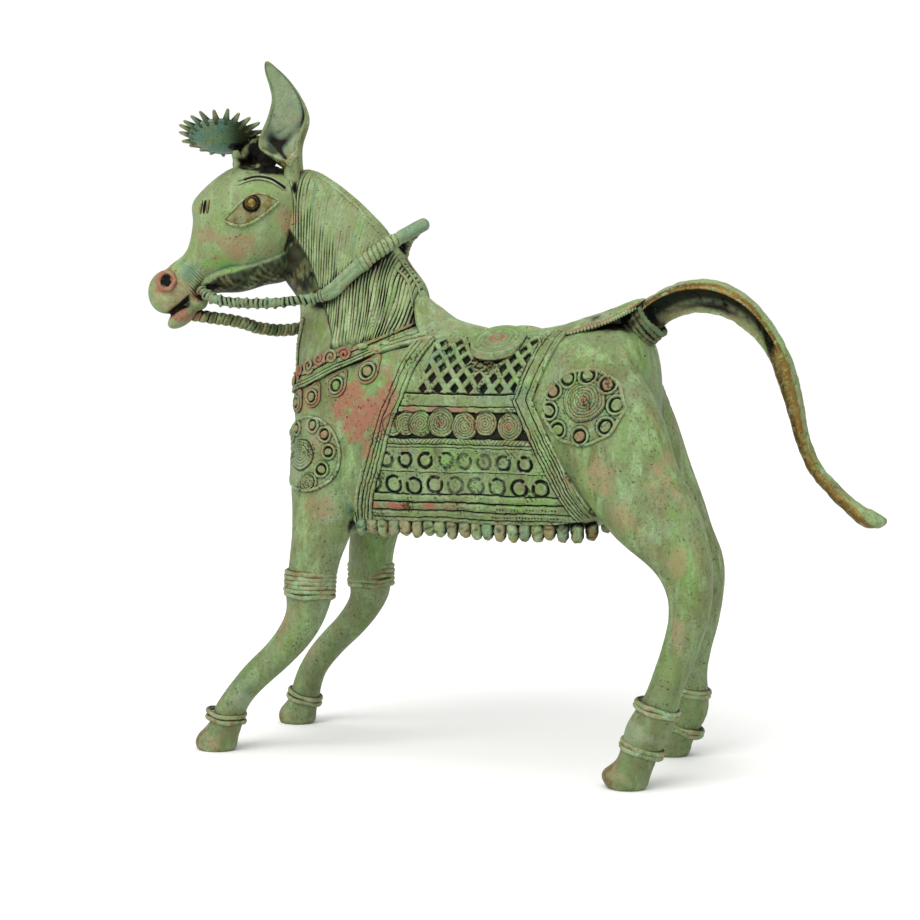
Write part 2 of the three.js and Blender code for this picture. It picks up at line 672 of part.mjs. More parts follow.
/** The wax work of the cloth on one side: bars that cut its layers from the flesh, solids, and pits. */
function cloth(skin, side) {
  const isNear = side === NEAR;
  const coils = row(COILS).map((place) => oval(place, [COILS.radius, COILS.radius], 6));
  const shapes = isNear ? [...BANDS.map(clothBand), ...clothBorders(), ...coils] : [...clothBorders(), hem()];
  const lines = isNear ? RINGS : [];
  const buttons = lines.flatMap((line) => row(line).map((place) => button(skin, place, line.radius, side)));
  return {
    thin: [sideBar(polygon(CLOTH_OUTLINE), side)],
    thick: shapes.map((shape) => sideBar(shape, side)),
    added: isNear ? [...buttons, ...fringe(skin, side)] : [],
    cut: isNear ? latticePits().map((place) => pit(sidePlaceOn(skin, place, side, CLOTH))) : [],
  };
}

/** A round button standing out of the side, with its foot sunk into the body. */
function button(skin, [x, z], radius, side) {
  const taper = 0.8;
  const isBoss = radius > PENDANTS.radius;
  const stud = new THREE.CylinderGeometry(radius * taper, radius, CLOTH + BUTTON + SINK, isBoss ? 8 : 5);
  stud.rotateX(Math.PI / 2);
  const { point, normal } = sidePlaceOn(skin, [x, z], side, (CLOTH + BUTTON - SINK) / 2);
  return setOn(stud, point, normal);
}

/** The plainer far side's hem: the same row of beads as one pointed edge. */
function hem() {
  const { from, to, count, z, half } = FRINGE;
  const points = row({ from: [from, z - half[2]], to: [to, z - half[2]], count: count / 2 });
  const gaps = points.map(([x]) => [x + (to - from) / count, z]);
  const edge = points.flatMap((point, k) => [point, gaps[k]]);
  return polygon([[to, z + half[2]], [from, z + half[2]], ...edge]);
}

/** Beads hanging in a row under the cloth. */
function fringe(skin, side) {
  const { from, to, count, z, half, sink } = FRINGE;
  return row({ from: [from], to: [to], count }).map(([x]) => {
    const { point } = sidePlace(skin, x, z + half[2], side);
    const bead = new THREE.ConeGeometry(half[0], half[2] * 2, 4);
    bead.rotateX(-Math.PI / 2);
    bead.translate(x, point.y - side * sink, z);
    return solidOf(bead);
  });
}

/** A disc of wax work with buttons round a boss; the far side's disc is plain. */
function rosette(skin, side, { at, half, ring: round, coil, buttons, button: radius }) {
  const thin = [sideBar(oval(at, half, 10), side)];
  if (side === FAR) {
    return { thin };
  }
  const studs = Array.from({ length: buttons }, (_, k) => {
    const angle = (k / buttons) * Math.PI * 2;
    const place = [at[0] + round[0] * Math.cos(angle), at[1] + round[1] * Math.sin(angle)];
    return button(skin, place, radius, side);
  });
  return { thin, added: [...studs, button(skin, at, coil, side)] };
}

/** The band round the foot of the neck, with round pendants under it. */
function collar(skin, side) {
  const { at, radius } = PENDANTS;
  return {
    thick: [sideBar(polygon(COLLAR), side)],
    added: side === NEAR ? at.map((place) => button(skin, place, radius, side)) : [],
  };
}

/** The seat, with its round pad on each flank; the near one has a ring cut in it. */
function saddle() {
  const { at, radius, top, thick, rise } = SADDLE_DISC;
  const { radius: groove, thread, sides } = DISC_GROOVE;
  const slope = THREE.MathUtils.degToRad(rise);
  const pads = SIDES.map((side) => {
    const normal = new THREE.Vector3(0, side * Math.cos(slope), Math.sin(slope));
    const point = new THREE.Vector3(at[0], side * at[1], at[2]);
    const disc = new THREE.CylinderGeometry(top, radius, thick, side === NEAR ? 10 : 8);
    disc.rotateX(Math.PI / 2);
    const pad = setOn(disc, point, normal);
    const face = lifted({ point, normal }, thick / 2);
    return side === NEAR ? pad.subtract(ring(groove, thread, face, sides)) : pad;
  });
  return joined([solidOf(loft(upright(SADDLE), FACETS.saddle)), ...pads]);
}

/** A bar through the head with an outline forward of the poll and up, on one side of the head. */
function headBar(shape, side) {
  const middleGap = 2;
  const depth = 30;
  const geometry = new THREE.ExtrudeGeometry(shape, { depth, bevelEnabled: false, curveSegments: 3 });
  const origin = headPoint(0, -side * middleGap, 0);
  const forward = headPoint(1, 0, 0).sub(headPoint(0, 0, 0));
  const aside = headPoint(0, -side, 0).sub(headPoint(0, 0, 0));
  const frame = new THREE.Matrix4().makeBasis(forward, new THREE.Vector3(0, 0, 1), aside);
  geometry.applyMatrix4(frame.setPosition(origin));
  return solidOf(geometry);
}

/** An almond between the corners of the eye. */
function eyeShape({ back, front, upper, lower }) {
  const shape = new THREE.Shape();
  shape.moveTo(...back);
  shape.quadraticCurveTo(...upper, ...front);
  shape.quadraticCurveTo(...lower, ...back);
  return shape;
}

/** Where the side of the head is, and which way it faces. */
function headPlace(skin, [forward, up], side) {
  const outside = 60;
  const start = headPoint(forward, -side * outside, up);
  const inward = headPoint(0, side, 0).sub(headPoint(0, 0, 0));
  const [hit] = new THREE.Raycaster(start, inward).intersectObject(skin);
  return { point: hit.point, normal: hit.face.normal };
}

/** The eye and the brow, and on the near side the iris and the nostril too. */
function face(side) {
  const skin = new THREE.Mesh(geometryOf(skull()));
  const lid = skull(EYE.raise).intersect(headBar(eyeShape(EYE), side));
  const browLine = BROW.map((place) => lifted(headPlace(skin, place, side), BROW_CORD.lift).point.toArray());
  const brow = cord(browLine, BROW_CORD.radius, 4, BROW.length);
  if (side === FAR) {
    return { added: [lid, brow] };
  }
  const iris = lifted(headPlace(skin, IRIS.at, side), EYE.raise);
  const nostril = headPlace(skin, NOSTRIL.at, side);
  const hole = new THREE.ConeGeometry(NOSTRIL.hole, NOSTRIL.deep, 5);
  hole.rotateX(-Math.PI / 2);
  return {
    added: [lid, brow, ring(NOSTRIL.ring, NOSTRIL.thread, nostril, 7)],
    cut: [ring(IRIS.ring, IRIS.thread, iris, 6), setOn(hole, nostril.point, nostril.normal)],
  };
}

/** The lower lip, and the slit of the mouth above it. */
function mouth() {
  const tilt = (geometry, { at, slant }) => {
    geometry.rotateY(-THREE.MathUtils.degToRad(slant));
    geometry.rotateZ(HEAD_PLANE);
    const { x, y, z } = headPoint(at[0], 0, at[1]);
    geometry.translate(x, y, z);
    return solidOf(geometry);
  };
  const lobe = new THREE.SphereGeometry(1, 6, 4);
  lobe.scale(...LIP.half);
  const slit = new THREE.BoxGeometry(MOUTH.long, MOUTH.wide, MOUTH.open);
  return { lip: tilt(lobe, LIP), slit: tilt(slit, MOUTH) };
}

/** The band wound round the muzzle. */
function noseband() {
  const { at, half, lean, thick } = NOSEBAND;
  const band = drum(half, thick, 8);
  band.rotateY(THREE.MathUtils.degToRad(90 + lean));
  band.rotateZ(HEAD_PLANE);
  const { x, y, z } = headPoint(at[0], 0, at[1]);
  band.translate(x, y, z);
  return solidOf(band);
}

/** A short oval drum on its own upright axis. */
function drum(half, thick, sides) {
  const geometry = new THREE.CylinderGeometry(1, 1, thick * 2, sides);
  geometry.rotateX(Math.PI / 2);
  geometry.scale(half[0], half[1], 1);
  return geometry;
}

/** A pointed ear, with a hollow on its outer face. */
function ear(side) {
  const blade = solidOf(loft(inHead(EAR, -EAR_OFF * side), { ...FACETS.ear, turn: HEAD_PLANE }));
  const dish = new THREE.SphereGeometry(1, 6, 5);
  dish.scale(...EAR_DISH.half);
  dish.rotateZ(HEAD_PLANE);
  const [forward, off, up] = EAR_DISH.at;
  const { x, y, z } = headPoint(forward, -off * side, up);
  dish.translate(x, y, z);
  return blade.subtract(solidOf(dish));
}

/** A level ring with a pointed spike for each of its teeth. */
function spikedRing({ radius, valley, inner, spikes, spike, thick, sides }) {
  const corners = Array.from({ length: spikes * 2 }, (_, k) => {
    const angle = (k / spikes) * Math.PI;
    const reach = k % 2 === 0 ? radius + spike : valley;
    return [reach * Math.cos(angle), reach * Math.sin(angle)];
  });
  const shape = polygon(corners);
  shape.holes.push(oval([0, 0], [inner, inner], sides));
  return new THREE.ExtrudeGeometry(shape, { depth: thick, bevelEnabled: false }).translate(0, 0, -thick / 2);
}

/** The crown on its stems: a bowl that opens upwards, with the spikes round its rim. */
function crown() {
  const { at, inner, valley, deep, wall, tip, sides } = CROWN;
  const profile = [
    [0, -deep],
    [inner - wall, wall - deep - CROWN.lap],
    [valley - CROWN.lap, 0],
    [inner - CROWN.lap, 0],
    [0, wall - deep],
  ];
  const bowl = new THREE.LatheGeometry(profile.map(([r, h]) => new THREE.Vector2(r, h)), sides);
  bowl.rotateX(Math.PI / 2);
  const place = headPoint(at[0], at[1], at[2]);
  const parts = [bowl, spikedRing(CROWN)].map((geometry) => {
    geometry.rotateX(THREE.MathUtils.degToRad(tip));
    geometry.rotateZ(HEAD_PLANE);
    geometry.translate(place.x, place.y, place.z);
    return solidOf(geometry);
  });
  const stems = CROWN_STEMS.map(({ from, to, radius: stem }) => {
    const ends = [headPoint(...from).toArray(), headPoint(...to).toArray()];
    return cord(ends, stem, 5, 1);
  });
  return joined([...parts, ...stems]);
}

function reins() {
  const [sides, steps] = [5, 10];
  return joined([REIN_NEAR, REIN_FAR].map((path) => cord(path, REIN_RADIUS, sides, steps)));
}

/** A wound band on a leg. */
function legBand(side, { at, half, thick, slope }) {
  const [x, z] = at;
  const { high, low } = LEG_LINE;
  const off = THREE.MathUtils.mapLinear(Math.max(z, low.z), high.z, low.z, high.off, low.off);
  const band = drum(half, thick, 6);
  band.rotateY(THREE.MathUtils.degToRad(slope));
  band.translate(x, side * off, z);
  return solidOf(band);
}

function legBands() {
  const { near, far } = LEG_BANDS;
  return [...near.map((band) => legBand(NEAR, band)), ...far.map((band) => legBand(FAR, band))];
}

/** The cords wound round the root of the tail. */
function tailWrap() {
  const { at, half, thick, slope } = TAIL_WRAP;
  const wrap = drum(half, thick, 8);
  wrap.rotateY(THREE.MathUtils.degToRad(slope));
  wrap.translate(at[0], 0, at[1]);
  return solidOf(wrap);
}

function belowFloor() {
  const [long, wide, deep] = [400, 200, SOLE_DEPTH * 2];
  const floor = new THREE.BoxGeometry(long, wide, deep);
  floor.translate(0, 0, -deep / 2);
  return solidOf(floor);
}

function horse() {
  const bare = flesh(0);
  const skin = new THREE.Mesh(geometryOf(bare));
  const work = SIDES.flatMap((side) => [
    cloth(skin, side),
    rosette(skin, side, HAUNCH),
    rosette(skin, side, BREAST),
    collar(skin, side),
    face(side),
  ]);
  const all = (key) => work.flatMap((feature) => feature[key] ?? []);
  const layers = [flesh(CLOTH).intersect(joined(all("thin"))), flesh(CORD).intersect(joined(all("thick")))];
  const { lip, slit } = mouth();
  const body = joined([bare, skull(), jaw(), tail(), ...SIDES.map(ear), crown(), reins()]);
  const whole = joined([body, ...layers, noseband(), ...legBands(), tailWrap(), ...all("added")]);
  return joined([whole.subtract(joined([slit, belowFloor(), ...all("cut")])), saddle(), lip]);
}

/** What moves a shape so that the origin is the bottom centre of its box. */
function originShift(geometry) {
  geometry.computeBoundingBox();
  const { min, max } = geometry.boundingBox;
  return new THREE.Vector3(-(min.x + max.x) / 2, -(min.y + max.y) / 2, -min.z);
}

const patinatedBrass = new THREE.MeshStandardMaterial({
  color: 0x74895f,
  roughness: 0.7,
  metalness: 0.35,
});

const statue = new THREE.Mesh(geometryOf(horse()), patinatedBrass);
statue.name = "horse";
statue.position.copy(originShift(statue.geometry));

const group = new THREE.Group();
group.add(statue);

export default group;
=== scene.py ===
"""The looks of a small lost-wax cast brass horse with a green patina.

The drawing frame is in millimetres: the horse looks along -X, its near side is -Y and +Z is up.
Shapes are surfaces worked out on grids with numpy. What was a wax thread on the model is a thread
here, or a ridge of the same round section in a fine height field laid on the body.
"""

from __future__ import annotations

import logging
import math
from dataclasses import dataclass, field
from enum import Enum

import bpy
import numpy as np
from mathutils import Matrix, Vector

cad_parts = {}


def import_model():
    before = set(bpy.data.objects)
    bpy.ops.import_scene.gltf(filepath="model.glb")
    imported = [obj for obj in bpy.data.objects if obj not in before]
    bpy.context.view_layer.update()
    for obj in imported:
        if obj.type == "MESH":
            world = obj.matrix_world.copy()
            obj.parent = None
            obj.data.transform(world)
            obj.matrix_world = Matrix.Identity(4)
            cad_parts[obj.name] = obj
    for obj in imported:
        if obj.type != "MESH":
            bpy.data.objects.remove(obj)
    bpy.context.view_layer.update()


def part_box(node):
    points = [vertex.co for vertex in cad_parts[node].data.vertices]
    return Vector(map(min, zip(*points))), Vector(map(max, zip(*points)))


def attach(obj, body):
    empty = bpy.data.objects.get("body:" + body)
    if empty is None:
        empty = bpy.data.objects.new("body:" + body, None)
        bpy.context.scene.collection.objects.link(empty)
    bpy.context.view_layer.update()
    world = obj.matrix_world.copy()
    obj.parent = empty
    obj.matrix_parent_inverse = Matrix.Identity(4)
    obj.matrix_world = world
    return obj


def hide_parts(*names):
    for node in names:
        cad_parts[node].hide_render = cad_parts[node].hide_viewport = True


Array = np.ndarray

MM = 0.001
NODE = "horse"
BODY = "root"
TAIL_TIP_X = 162.3  # where the tail ends in the drawing frame, which the CAD box shows too

STANCE = 32.5  # half the distance between the left and the right hooves
HEAD_TURN = math.radians(24)  # the head looks a little to the near side
POLL = (-82.0, -2.0)  # the upright line that the head turns about

log = logging.getLogger("horse")


class Side(Enum):
    """The two sides of the horse, as the sign of Y."""

    NEAR = -1
    FAR = 1


# Numbers on arrays


def blend(values: Array, share: Array) -> Array:
    """Values between the rows of a table, on a Catmull-Rom curve.

    Args:
        values: the rows, evenly spread over a share from 0 to 1.
        share: where to read the table.

    Returns:
        One row for each share.
    """
    last = len(values) - 1
    place = np.clip(share, 0, 1) * last
    first = np.minimum(place.astype(int), last - 1)
    t = (place - first).reshape(-1, *([1] * (values.ndim - 1)))
    before, start, end, after = (values[np.clip(first + k, 0, last)] for k in (-1, 0, 1, 2))
    slope_in = (end - before) / 2
    slope_out = (after - start) / 2
    rise = end - start
    bend = 3 * rise - 2 * slope_in - slope_out
    twist = slope_in + slope_out - 2 * rise
    return start + t * (slope_in + t * (bend + t * twist))


def ramp(value: Array, low: float, high: float) -> Array:
    """A smooth step from 0 at low to 1 at high; low may be the larger."""
    t = np.clip((value - low) / (high - low), 0, 1)
    return t * t * (3 - 2 * t)


def wander(points: Array, size: float, seed: int) -> Array:
    """A smooth uneven value about 0: the sum of sine waves in random directions.

    Args:
        points: places, any number of axes with the coordinates last.
        size: the length of the waves, in the points' units.
        seed: picks the directions and phases.

    Returns:
        One value for each point, mostly between -1 and 1.
    """
    rng = np.random.default_rng(seed)
    waves = 9
    ways = rng.normal(size=(waves, points.shape[-1]))
    ways /= np.linalg.norm(ways, axis=1, keepdims=True)
    lengths = size * rng.uniform(0.7, 1.7, (waves, 1))
    phases = rng.uniform(0, 2 * math.pi, waves)
    return np.sin(points @ (ways * 2 * math.pi / lengths).T + phases).sum(-1) / waves * 2.0


def cord_height(distance: Array, radius: float) -> Array:
    """The height of a round thread of that radius, half of it proud, at a distance from its line."""
    return np.sqrt(np.clip(radius * radius - distance * distance, 0, None))


def unit(vectors: Array) -> Array:
    """The same directions at length 1."""
    return vectors / np.maximum(np.linalg.norm(vectors, axis=-1, keepdims=True), 1e-9)


def facing(normals: Array, outside: Array) -> Array:
    """The same directions, turned round where they point away from a rough outward direction."""
    sign = np.sign(np.einsum("...i,...i->...", normals, outside))
    return normals * np.where(sign == 0, 1, sign)[..., None]


def plane_of(normal: Array) -> tuple[Array, Array]:
    """Two directions square to a third and to one another, the first of them level."""
    first = unit(np.cross(normal, np.array([0, 0, 1.0])))
    return first, np.cross(normal, first)


def turns(count: int) -> Array:
    """Angles spread evenly over one full turn."""
    return np.linspace(0, 2 * math.pi, count, endpoint=False)


def apart(angle: Array, other: Array | float) -> Array:
    """How far two angles are from one another, between 0 and pi."""
    return np.abs((angle - other + math.pi) % (2 * math.pi) - math.pi)


def crowded(steps: int) -> Array:
    """Shares from 0 to 1 that lie closer together near both ends: (1 - cos) / 2."""
    return (1 - np.cos(np.linspace(0, math.pi, steps + 1))) / 2


def run_of(path: Array) -> Array:
    """The length from the start of a path to each of its points."""
    return np.concatenate([[0], np.cumsum(np.linalg.norm(np.diff(path, axis=0), axis=1))])


def half_round(turn: Array) -> Array:
    """Threads side by side, one to each whole number: sqrt(1 - (2 f - 1)^2) with f the fraction."""
    return np.sqrt(1 - (2 * (turn % 1) - 1) ** 2)


def swelling(count: int, end: float = 0.05) -> Array:
    """The size of a thread that thins out at both ends: the root of a sine along it."""
    return np.sin(math.pi * np.linspace(end, 1 - end, count)) ** 0.5


def columns(table: tuple) -> list[Array]:
    """The columns of a table, each as an array."""
    return [np.array(column, float) for column in zip(*table)]


def half_sizes(table: Array, share: Array) -> Array:
    """Half sizes between a table's rows, blended as squares so that they end round."""
    return np.sqrt(np.clip(np.moveaxis(blend(table**2, share), -1, 0), 0, None))[:, :, None]


def largest_near(table: Array) -> Array:
    """The largest value in and round each cell of a table."""
    return np.max([np.roll(table, (a, b), (0, 1)) for a in (-1, 0, 1) for b in (-1, 0, 1)], axis=0)


def spline_weight(t: Array) -> Array:
    """The cubic B-spline's weight at a distance from its knot.

    Args:
        t: the distance, in cells.

    Returns:
        One weight for each distance.
    """
    t = np.abs(t)
    inner = 2 / 3 - t * t + t**3 / 2
    outer = np.clip(2 - t, 0, None) ** 3 / 6
    return np.where(t < 1, inner, outer)


def read_table(table: Array, x: Array, y: Array, wraps: bool) -> Array:
    """A table read between its cells, on a cubic B-spline surface.

    Args:
        table: a value at the middle of each cell.
        x: how many cells down the table.
        y: how many cells across it.
        wraps: whether its last column lies beside its first.

    Returns:
        One value for each place.
    """
    x, y = x - 0.5, y - 0.5
    i, j = np.floor(x).astype(int), np.floor(y).astype(int)
    rows, cols = table.shape
    total = 0.0
    for di in range(-1, 3):
        for dj in range(-1, 3):
            row = np.clip(i + di, 0, rows - 1)
            col = (j + dj) % cols if wraps else np.clip(j + dj, 0, cols - 1)
            total = total + spline_weight(x - i - di) * spline_weight(y - j - dj) * table[row, col]
    return total


def head_point(forward: Array, off: Array, up: Array) -> Array:
    """Points of the turned head: forward of the poll, toward the near side, and up.

    Args:
        forward: how far forward of the poll.
        off: how far toward the near side.
        up: how high.

    Returns:
        One point for each place.
    """
    forward, off, up = np.broadcast_arrays(*(np.asarray(v, float) for v in (forward, off, up)))
    x = POLL[0] - math.cos(HEAD_TURN) * forward + math.sin(HEAD_TURN) * off
    y = POLL[1] - math.sin(HEAD_TURN) * forward - math.cos(HEAD_TURN) * off
    return np.stack([x, y, up], -1)


def in_head(points: Array) -> Array:
    """The reverse of head_point: forward of the poll, toward the near side, and up.

    Args:
        points: places in the drawing frame.

    Returns:
        Forward, off and up of each point.
    """
    dx, dy = points[..., 0] - POLL[0], points[..., 1] - POLL[1]
    forward = -math.cos(HEAD_TURN) * dx - math.sin(HEAD_TURN) * dy
    off = math.sin(HEAD_TURN) * dx - math.cos(HEAD_TURN) * dy
    return np.stack([forward, off, points[..., 2]], -1)


HEAD_FORWARD = head_point(1, 0, 0) - head_point(0, 0, 0)
HEAD_NEAR = head_point(0, 1, 0) - head_point(0, 0, 0)
UP = np.array([0, 0, 1.0])


# Shapes


@dataclass
class Shape:
    """Points in millimetres and faces, each array of faces with one number of corners."""

    points: Array
    faces: list[Array]
    marks: dict[str, Array] = field(default_factory=dict)

    def triangles(self) -> Array:
        """Every face cut into triangles from its first corner.

        Returns:
            Three point numbers for each triangle.
        """
        parts = []
        for block in self.faces:
            corners = block.shape[1]
            parts += [block[:, [0, k, k + 1]] for k in range(1, corners - 1)]
        return np.concatenate(parts)

    def facing_out(self) -> Shape:
        """The same closed shape, with its faces turned outwards where its volume is negative.

        Returns:
            This shape.
        """
        a, b, c = (self.points[self.triangles()[:, k]] for k in range(3))
        if np.einsum("ij,ij->", a, np.cross(b, c)) < 0:
            self.faces = [block[:, ::-1] for block in self.faces]
        return self


def joined(shapes: list[Shape]) -> Shape:
    """Several shapes as one, with the marks that any of them has, and 0 where one has none.

    Args:
        shapes: the shapes, in the order that their points keep.

    Returns:
        The closed shape.
    """
    starts = np.cumsum([0] + [len(s.points) for s in shapes])
    faces = [block + start for s, start in zip(shapes, starts) for block in s.faces]
    names = sorted({name for s in shapes for name in s.marks})
    marks = {
        name: np.concatenate([s.marks.get(name, np.zeros(len(s.points))) for s in shapes]) for name in names
    }
    return Shape(np.concatenate([s.points for s in shapes]), faces, marks)


def with_ends(values: Array, ends: tuple[float, float] = (0, 0)) -> Array:
    """A mark for each point of a tube: its grid's, row by row, and then those of its two ends."""
    return np.concatenate([values.ravel(), ends])


def grid_faces(rows: int, cols: int, closed: bool) -> Array:
    """The four-cornered faces of a grid whose points are numbered row by row.

    Args:
        rows: how many rows of points.
        cols: how many points in a row.
        closed: whether the last point of a row lies beside its first.

    Returns:
        Four point numbers for each face.
    """
    last = cols if closed else cols - 1
    i, j = np.meshgrid(np.arange(rows - 1), np.arange(last), indexing="ij")
    i, j = i.ravel(), j.ravel()
    k = (j + 1) % cols
    return np.stack([i * cols + j, i * cols + k, (i + 1) * cols + k, (i + 1) * cols + j], -1)


def tube(grid: Array) -> Shape:
    """A closed shape from rings of points, each end drawn together to the middle of its ring.

    Args:
        grid: points, ring by ring.

    Returns:
        The closed shape.
    """
    rows, cols = grid.shape[:2]
    ends = np.stack([grid[0].mean(0), grid[-1].mean(0)])
    points = np.concatenate([grid.reshape(-1, 3), ends])
    ring = np.arange(cols)
    after = (ring + 1) % cols
    first = np.stack([np.full(cols, rows * cols), after, ring], -1)
    base = (rows - 1) * cols
    last = np.stack([np.full(cols, rows * cols + 1), base + ring, base + after], -1)
    return Shape(points, [grid_faces(rows, cols, True), np.concatenate([first, last])]).facing_out()


def ring_tube(grid: Array) -> Shape:
    """A closed ring from sections of points: both the sections and their order run round.

    Args:
        grid: points, ring by ring.

    Returns:
        The closed shape.
    """
    rows, cols = grid.shape[:2]
    faces = grid_faces(rows + 1, cols, True) % (rows * cols)
    return Shape(grid.reshape(-1, 3), [faces]).facing_out()


def slab(top: Array, foot: Array, marks: dict[str, Array]) -> Shape:
    """A closed patch: a fine grid on top, a wall round it, and long strips between the walls below.

    Args:
        top: the upper surface, rows by columns.
        foot: where the wall below each edge point ends, on the same grid.
        marks: values for each point of the top.

    Returns:
        The shape, with the edge's marks carried down the wall.
    """
    rows, cols = top.shape[:2]
    index = np.arange(rows * cols).reshape(rows, cols)
    rim = np.concatenate([index[0, :-1], index[:-1, -1], index[-1, :0:-1], index[:0:-1, 0]])
    low = np.arange(len(rim)) + rows * cols
    points = np.concatenate([top.reshape(-1, 3), foot.reshape(-1, 3)[rim]])
    after = np.roll(np.arange(len(rim)), -1)
    wall = np.stack([rim, low, low[after], rim[after]], -1)
    turn = (cols - 1) + (rows - 1)
    right = low[cols - 1 : cols - 1 + rows]
    left = np.concatenate([low[:1], low[turn + cols - 1 :][::-1]])
    strips = np.stack([left[1:-2], right[1:-2], right[2:-1], left[2:-1]], -1)
    head = np.concatenate([low[:cols], [right[1], left[1]]])[None, :]
    tail = np.concatenate([low[turn : turn + cols], [left[-2], right[-2]]])[None, :]
    faces = [grid_faces(rows, cols, False)[:, ::-1], wall[:, ::-1], strips, head, tail]
    told = {k: np.concatenate([v.ravel(), v.ravel()[rim]]) for k, v in marks.items()}
    return Shape(points, faces, told)


def grid_normals(grid: Array, outside: Array) -> Array:
    """Directions square to a grid's surface, on the side where outside points.

    Args:
        grid: the surface, rows by columns.
        outside: a rough outward direction for each point.

    Returns:
        One unit vector for each point.
    """
    down, across = np.gradient(grid, axis=0), np.gradient(grid, axis=1)
    return facing(unit(np.cross(down, across)), outside)


def thread(path: Array, normals: Array, radius: Array | float, lift: float = 0.0, sides: int = 8,
           twist: float = 0.0, ridge: float = 0.0) -> Shape:
    """A round wax thread laid along a path on a surface.

    The section is a circle in the plane of the surface's normal and the line square to it. With a
    twist, its radius swells with cos(sides turned + length / twist), which winds it like a rope.

    Args:
        path: the line on the surface.
        normals: the surface's directions along it.
        radius: of the thread, one value or one for each point.
        lift: how far the thread's middle stands off the surface.
        sides: how many sides the section has.
        twist: the length of one turn of the winding, or 0 for none.
        ridge: how much the winding swells the radius, as a share.

    Returns:
        A closed shape.
    """
    angle, run = turns(sides), run_of(path)
    size = np.broadcast_to(np.asarray(radius, float), run.shape)[:, None] * np.ones(sides)
    if twist:
        size = size * (1 + ridge * (np.abs(np.cos(angle / 2 - math.pi * run[:, None] / twist)) * 2 - 1))
    return cord(path, size, normals, lift)


def wound(path: Array, radius: float, pitch: float, strand: float, sides: int, loose: float, seed: int,
          ends: tuple[float, float]) -> Shape:
    """A cord closely wound with thread, like a spring over a rod.

    The radius at a place along and an angle round is radius + strand * the half circle of the
    thread that passes there: sqrt(1 - (2 f - 1)^2) with f the fraction of length / pitch - angle.

    Args:
        path: the cord's middle line.
        radius: of the rod under the thread.
        pitch: from one turn of the thread to the next.
        strand: the thread's radius.
        sides: how many sides the section has.
        loose: how unevenly the thread is wound, as a share of the pitch.
        seed: picks the unevenness.
        ends: the shares to which the radius shrinks at the two ends.

    Returns:
        A closed shape.
    """
    turn = np.linspace(0, 1, sides, endpoint=False)
    run = run_of(path)
    rough = np.stack(np.broadcast_arrays(run[:, None] * 0.6, turn[None] * 6), -1)
    shift = loose * wander(rough, 5.0, seed)
    ridge = half_round(run[:, None] / pitch - turn[None] + shift)
    size = radius + strand * ridge
    size *= 1 + 0.6 * loose * wander(rough, 3.0, seed + 1)
    reach = 2.5 * radius
    size *= (ends[0] + (1 - ends[0]) * ramp(run, 0, reach) ** 0.5)[:, None]
    size *= (ends[1] + (1 - ends[1]) * ramp(run[-1] - run, 0, reach) ** 0.5)[:, None]
    shape = cord(path, size)
    shape.marks["grime"] = with_ends(0.85 * ramp(ridge, 0.62, 0.25))
    shape.marks["brass"] = with_ends(0.5 * ramp(ridge, 0.9, 1.0))
    return shape


def cord(path: Array, size: Array, above: Array = UP, lift: float = 0.0) -> Shape:
    """A closed cord on a path: middle + size * (cos(angle) * aside + sin(angle) * up).

    Args:
        path: its line.
        size: its half size for each place along it and each angle round it.
        above: a rough upward direction, one or one for each point.
        lift: how far its middle stands above the line.

    Returns:
        A closed shape.
    """
    along = unit(np.gradient(path, axis=0))
    aside = unit(np.cross(along, above))
    up = np.cross(aside, along)
    angle = turns(size.shape[1])
    middle = path + up * lift
    ring = np.cos(angle)[None, :, None] * aside[:, None] + np.sin(angle)[None, :, None] * up[:, None]
    return tube(middle[:, None] + ring * size[..., None])


def hoop(middle: Array, first: Array, second: Array, radius: float, seed: int, steps: int = 64,
         sides: int = 9, rope: int = 0, ridge: float = 0.0) -> Shape:
    """A thread wound once round: middle + cos(a) * first + sin(a) * second, with its own thickness.

    Args:
        middle: the hoop's middle.
        first: its half size and direction along one axis.
        second: the same along the other.
        radius: the thread's radius.
        seed: picks its unevenness.
        steps: how many sections it has.
        sides: how many sides a section has.
        rope: how many turns of a winding it shows, or 0 for none.
        ridge: how much that winding swells the radius, as a share.

    Returns:
        A closed shape.
    """
    angle = turns(steps)[:, None]
    line = middle + np.cos(angle) * first + np.sin(angle) * second
    outward = unit(line - middle)
    axis = unit(np.cross(first, second))
    rough = np.concatenate([np.cos(angle), np.sin(angle)], 1)
    line = line + axis * 0.35 * radius * wander(rough, 1.4, seed)[:, None]
    turn = turns(sides)[None]
    size = radius * (1 + 0.12 * wander(rough, 0.9, seed + 1)[:, None] * np.ones(sides))
    if rope:
        size = size * (1 + ridge * (2 * np.abs(np.cos(turn / 2 - rope * angle / 2)) - 1.2))
    section = np.cos(turn)[..., None] * outward[:, None] + np.sin(turn)[..., None] * axis
    shape = ring_tube(line[:, None] + section * size[..., None])
    beside = ramp(np.abs(np.sin(turn)), 0.6, 0.95) * np.ones((steps, 1))
    shape.marks["grime"] = beside.ravel() * np.clip(0.9 + 0.4 * wander(shape.points, 5.0, seed + 2), 0, 1)
    return shape


def resample(path: Array, step: float) -> Array:
    """A smooth curve through a few points, with points about one step apart.

    Args:
        path: the points that it passes.
        step: the distance between its points.

    Returns:
        The points of the curve.
    """
    rough = blend(path, np.linspace(0, 1, 40 * len(path)))
    run = run_of(rough)
    even = np.linspace(0, run[-1], max(int(run[-1] / step), 3) + 1)
    return np.stack([np.interp(even, run, rough[:, k]) for k in range(3)], -1)


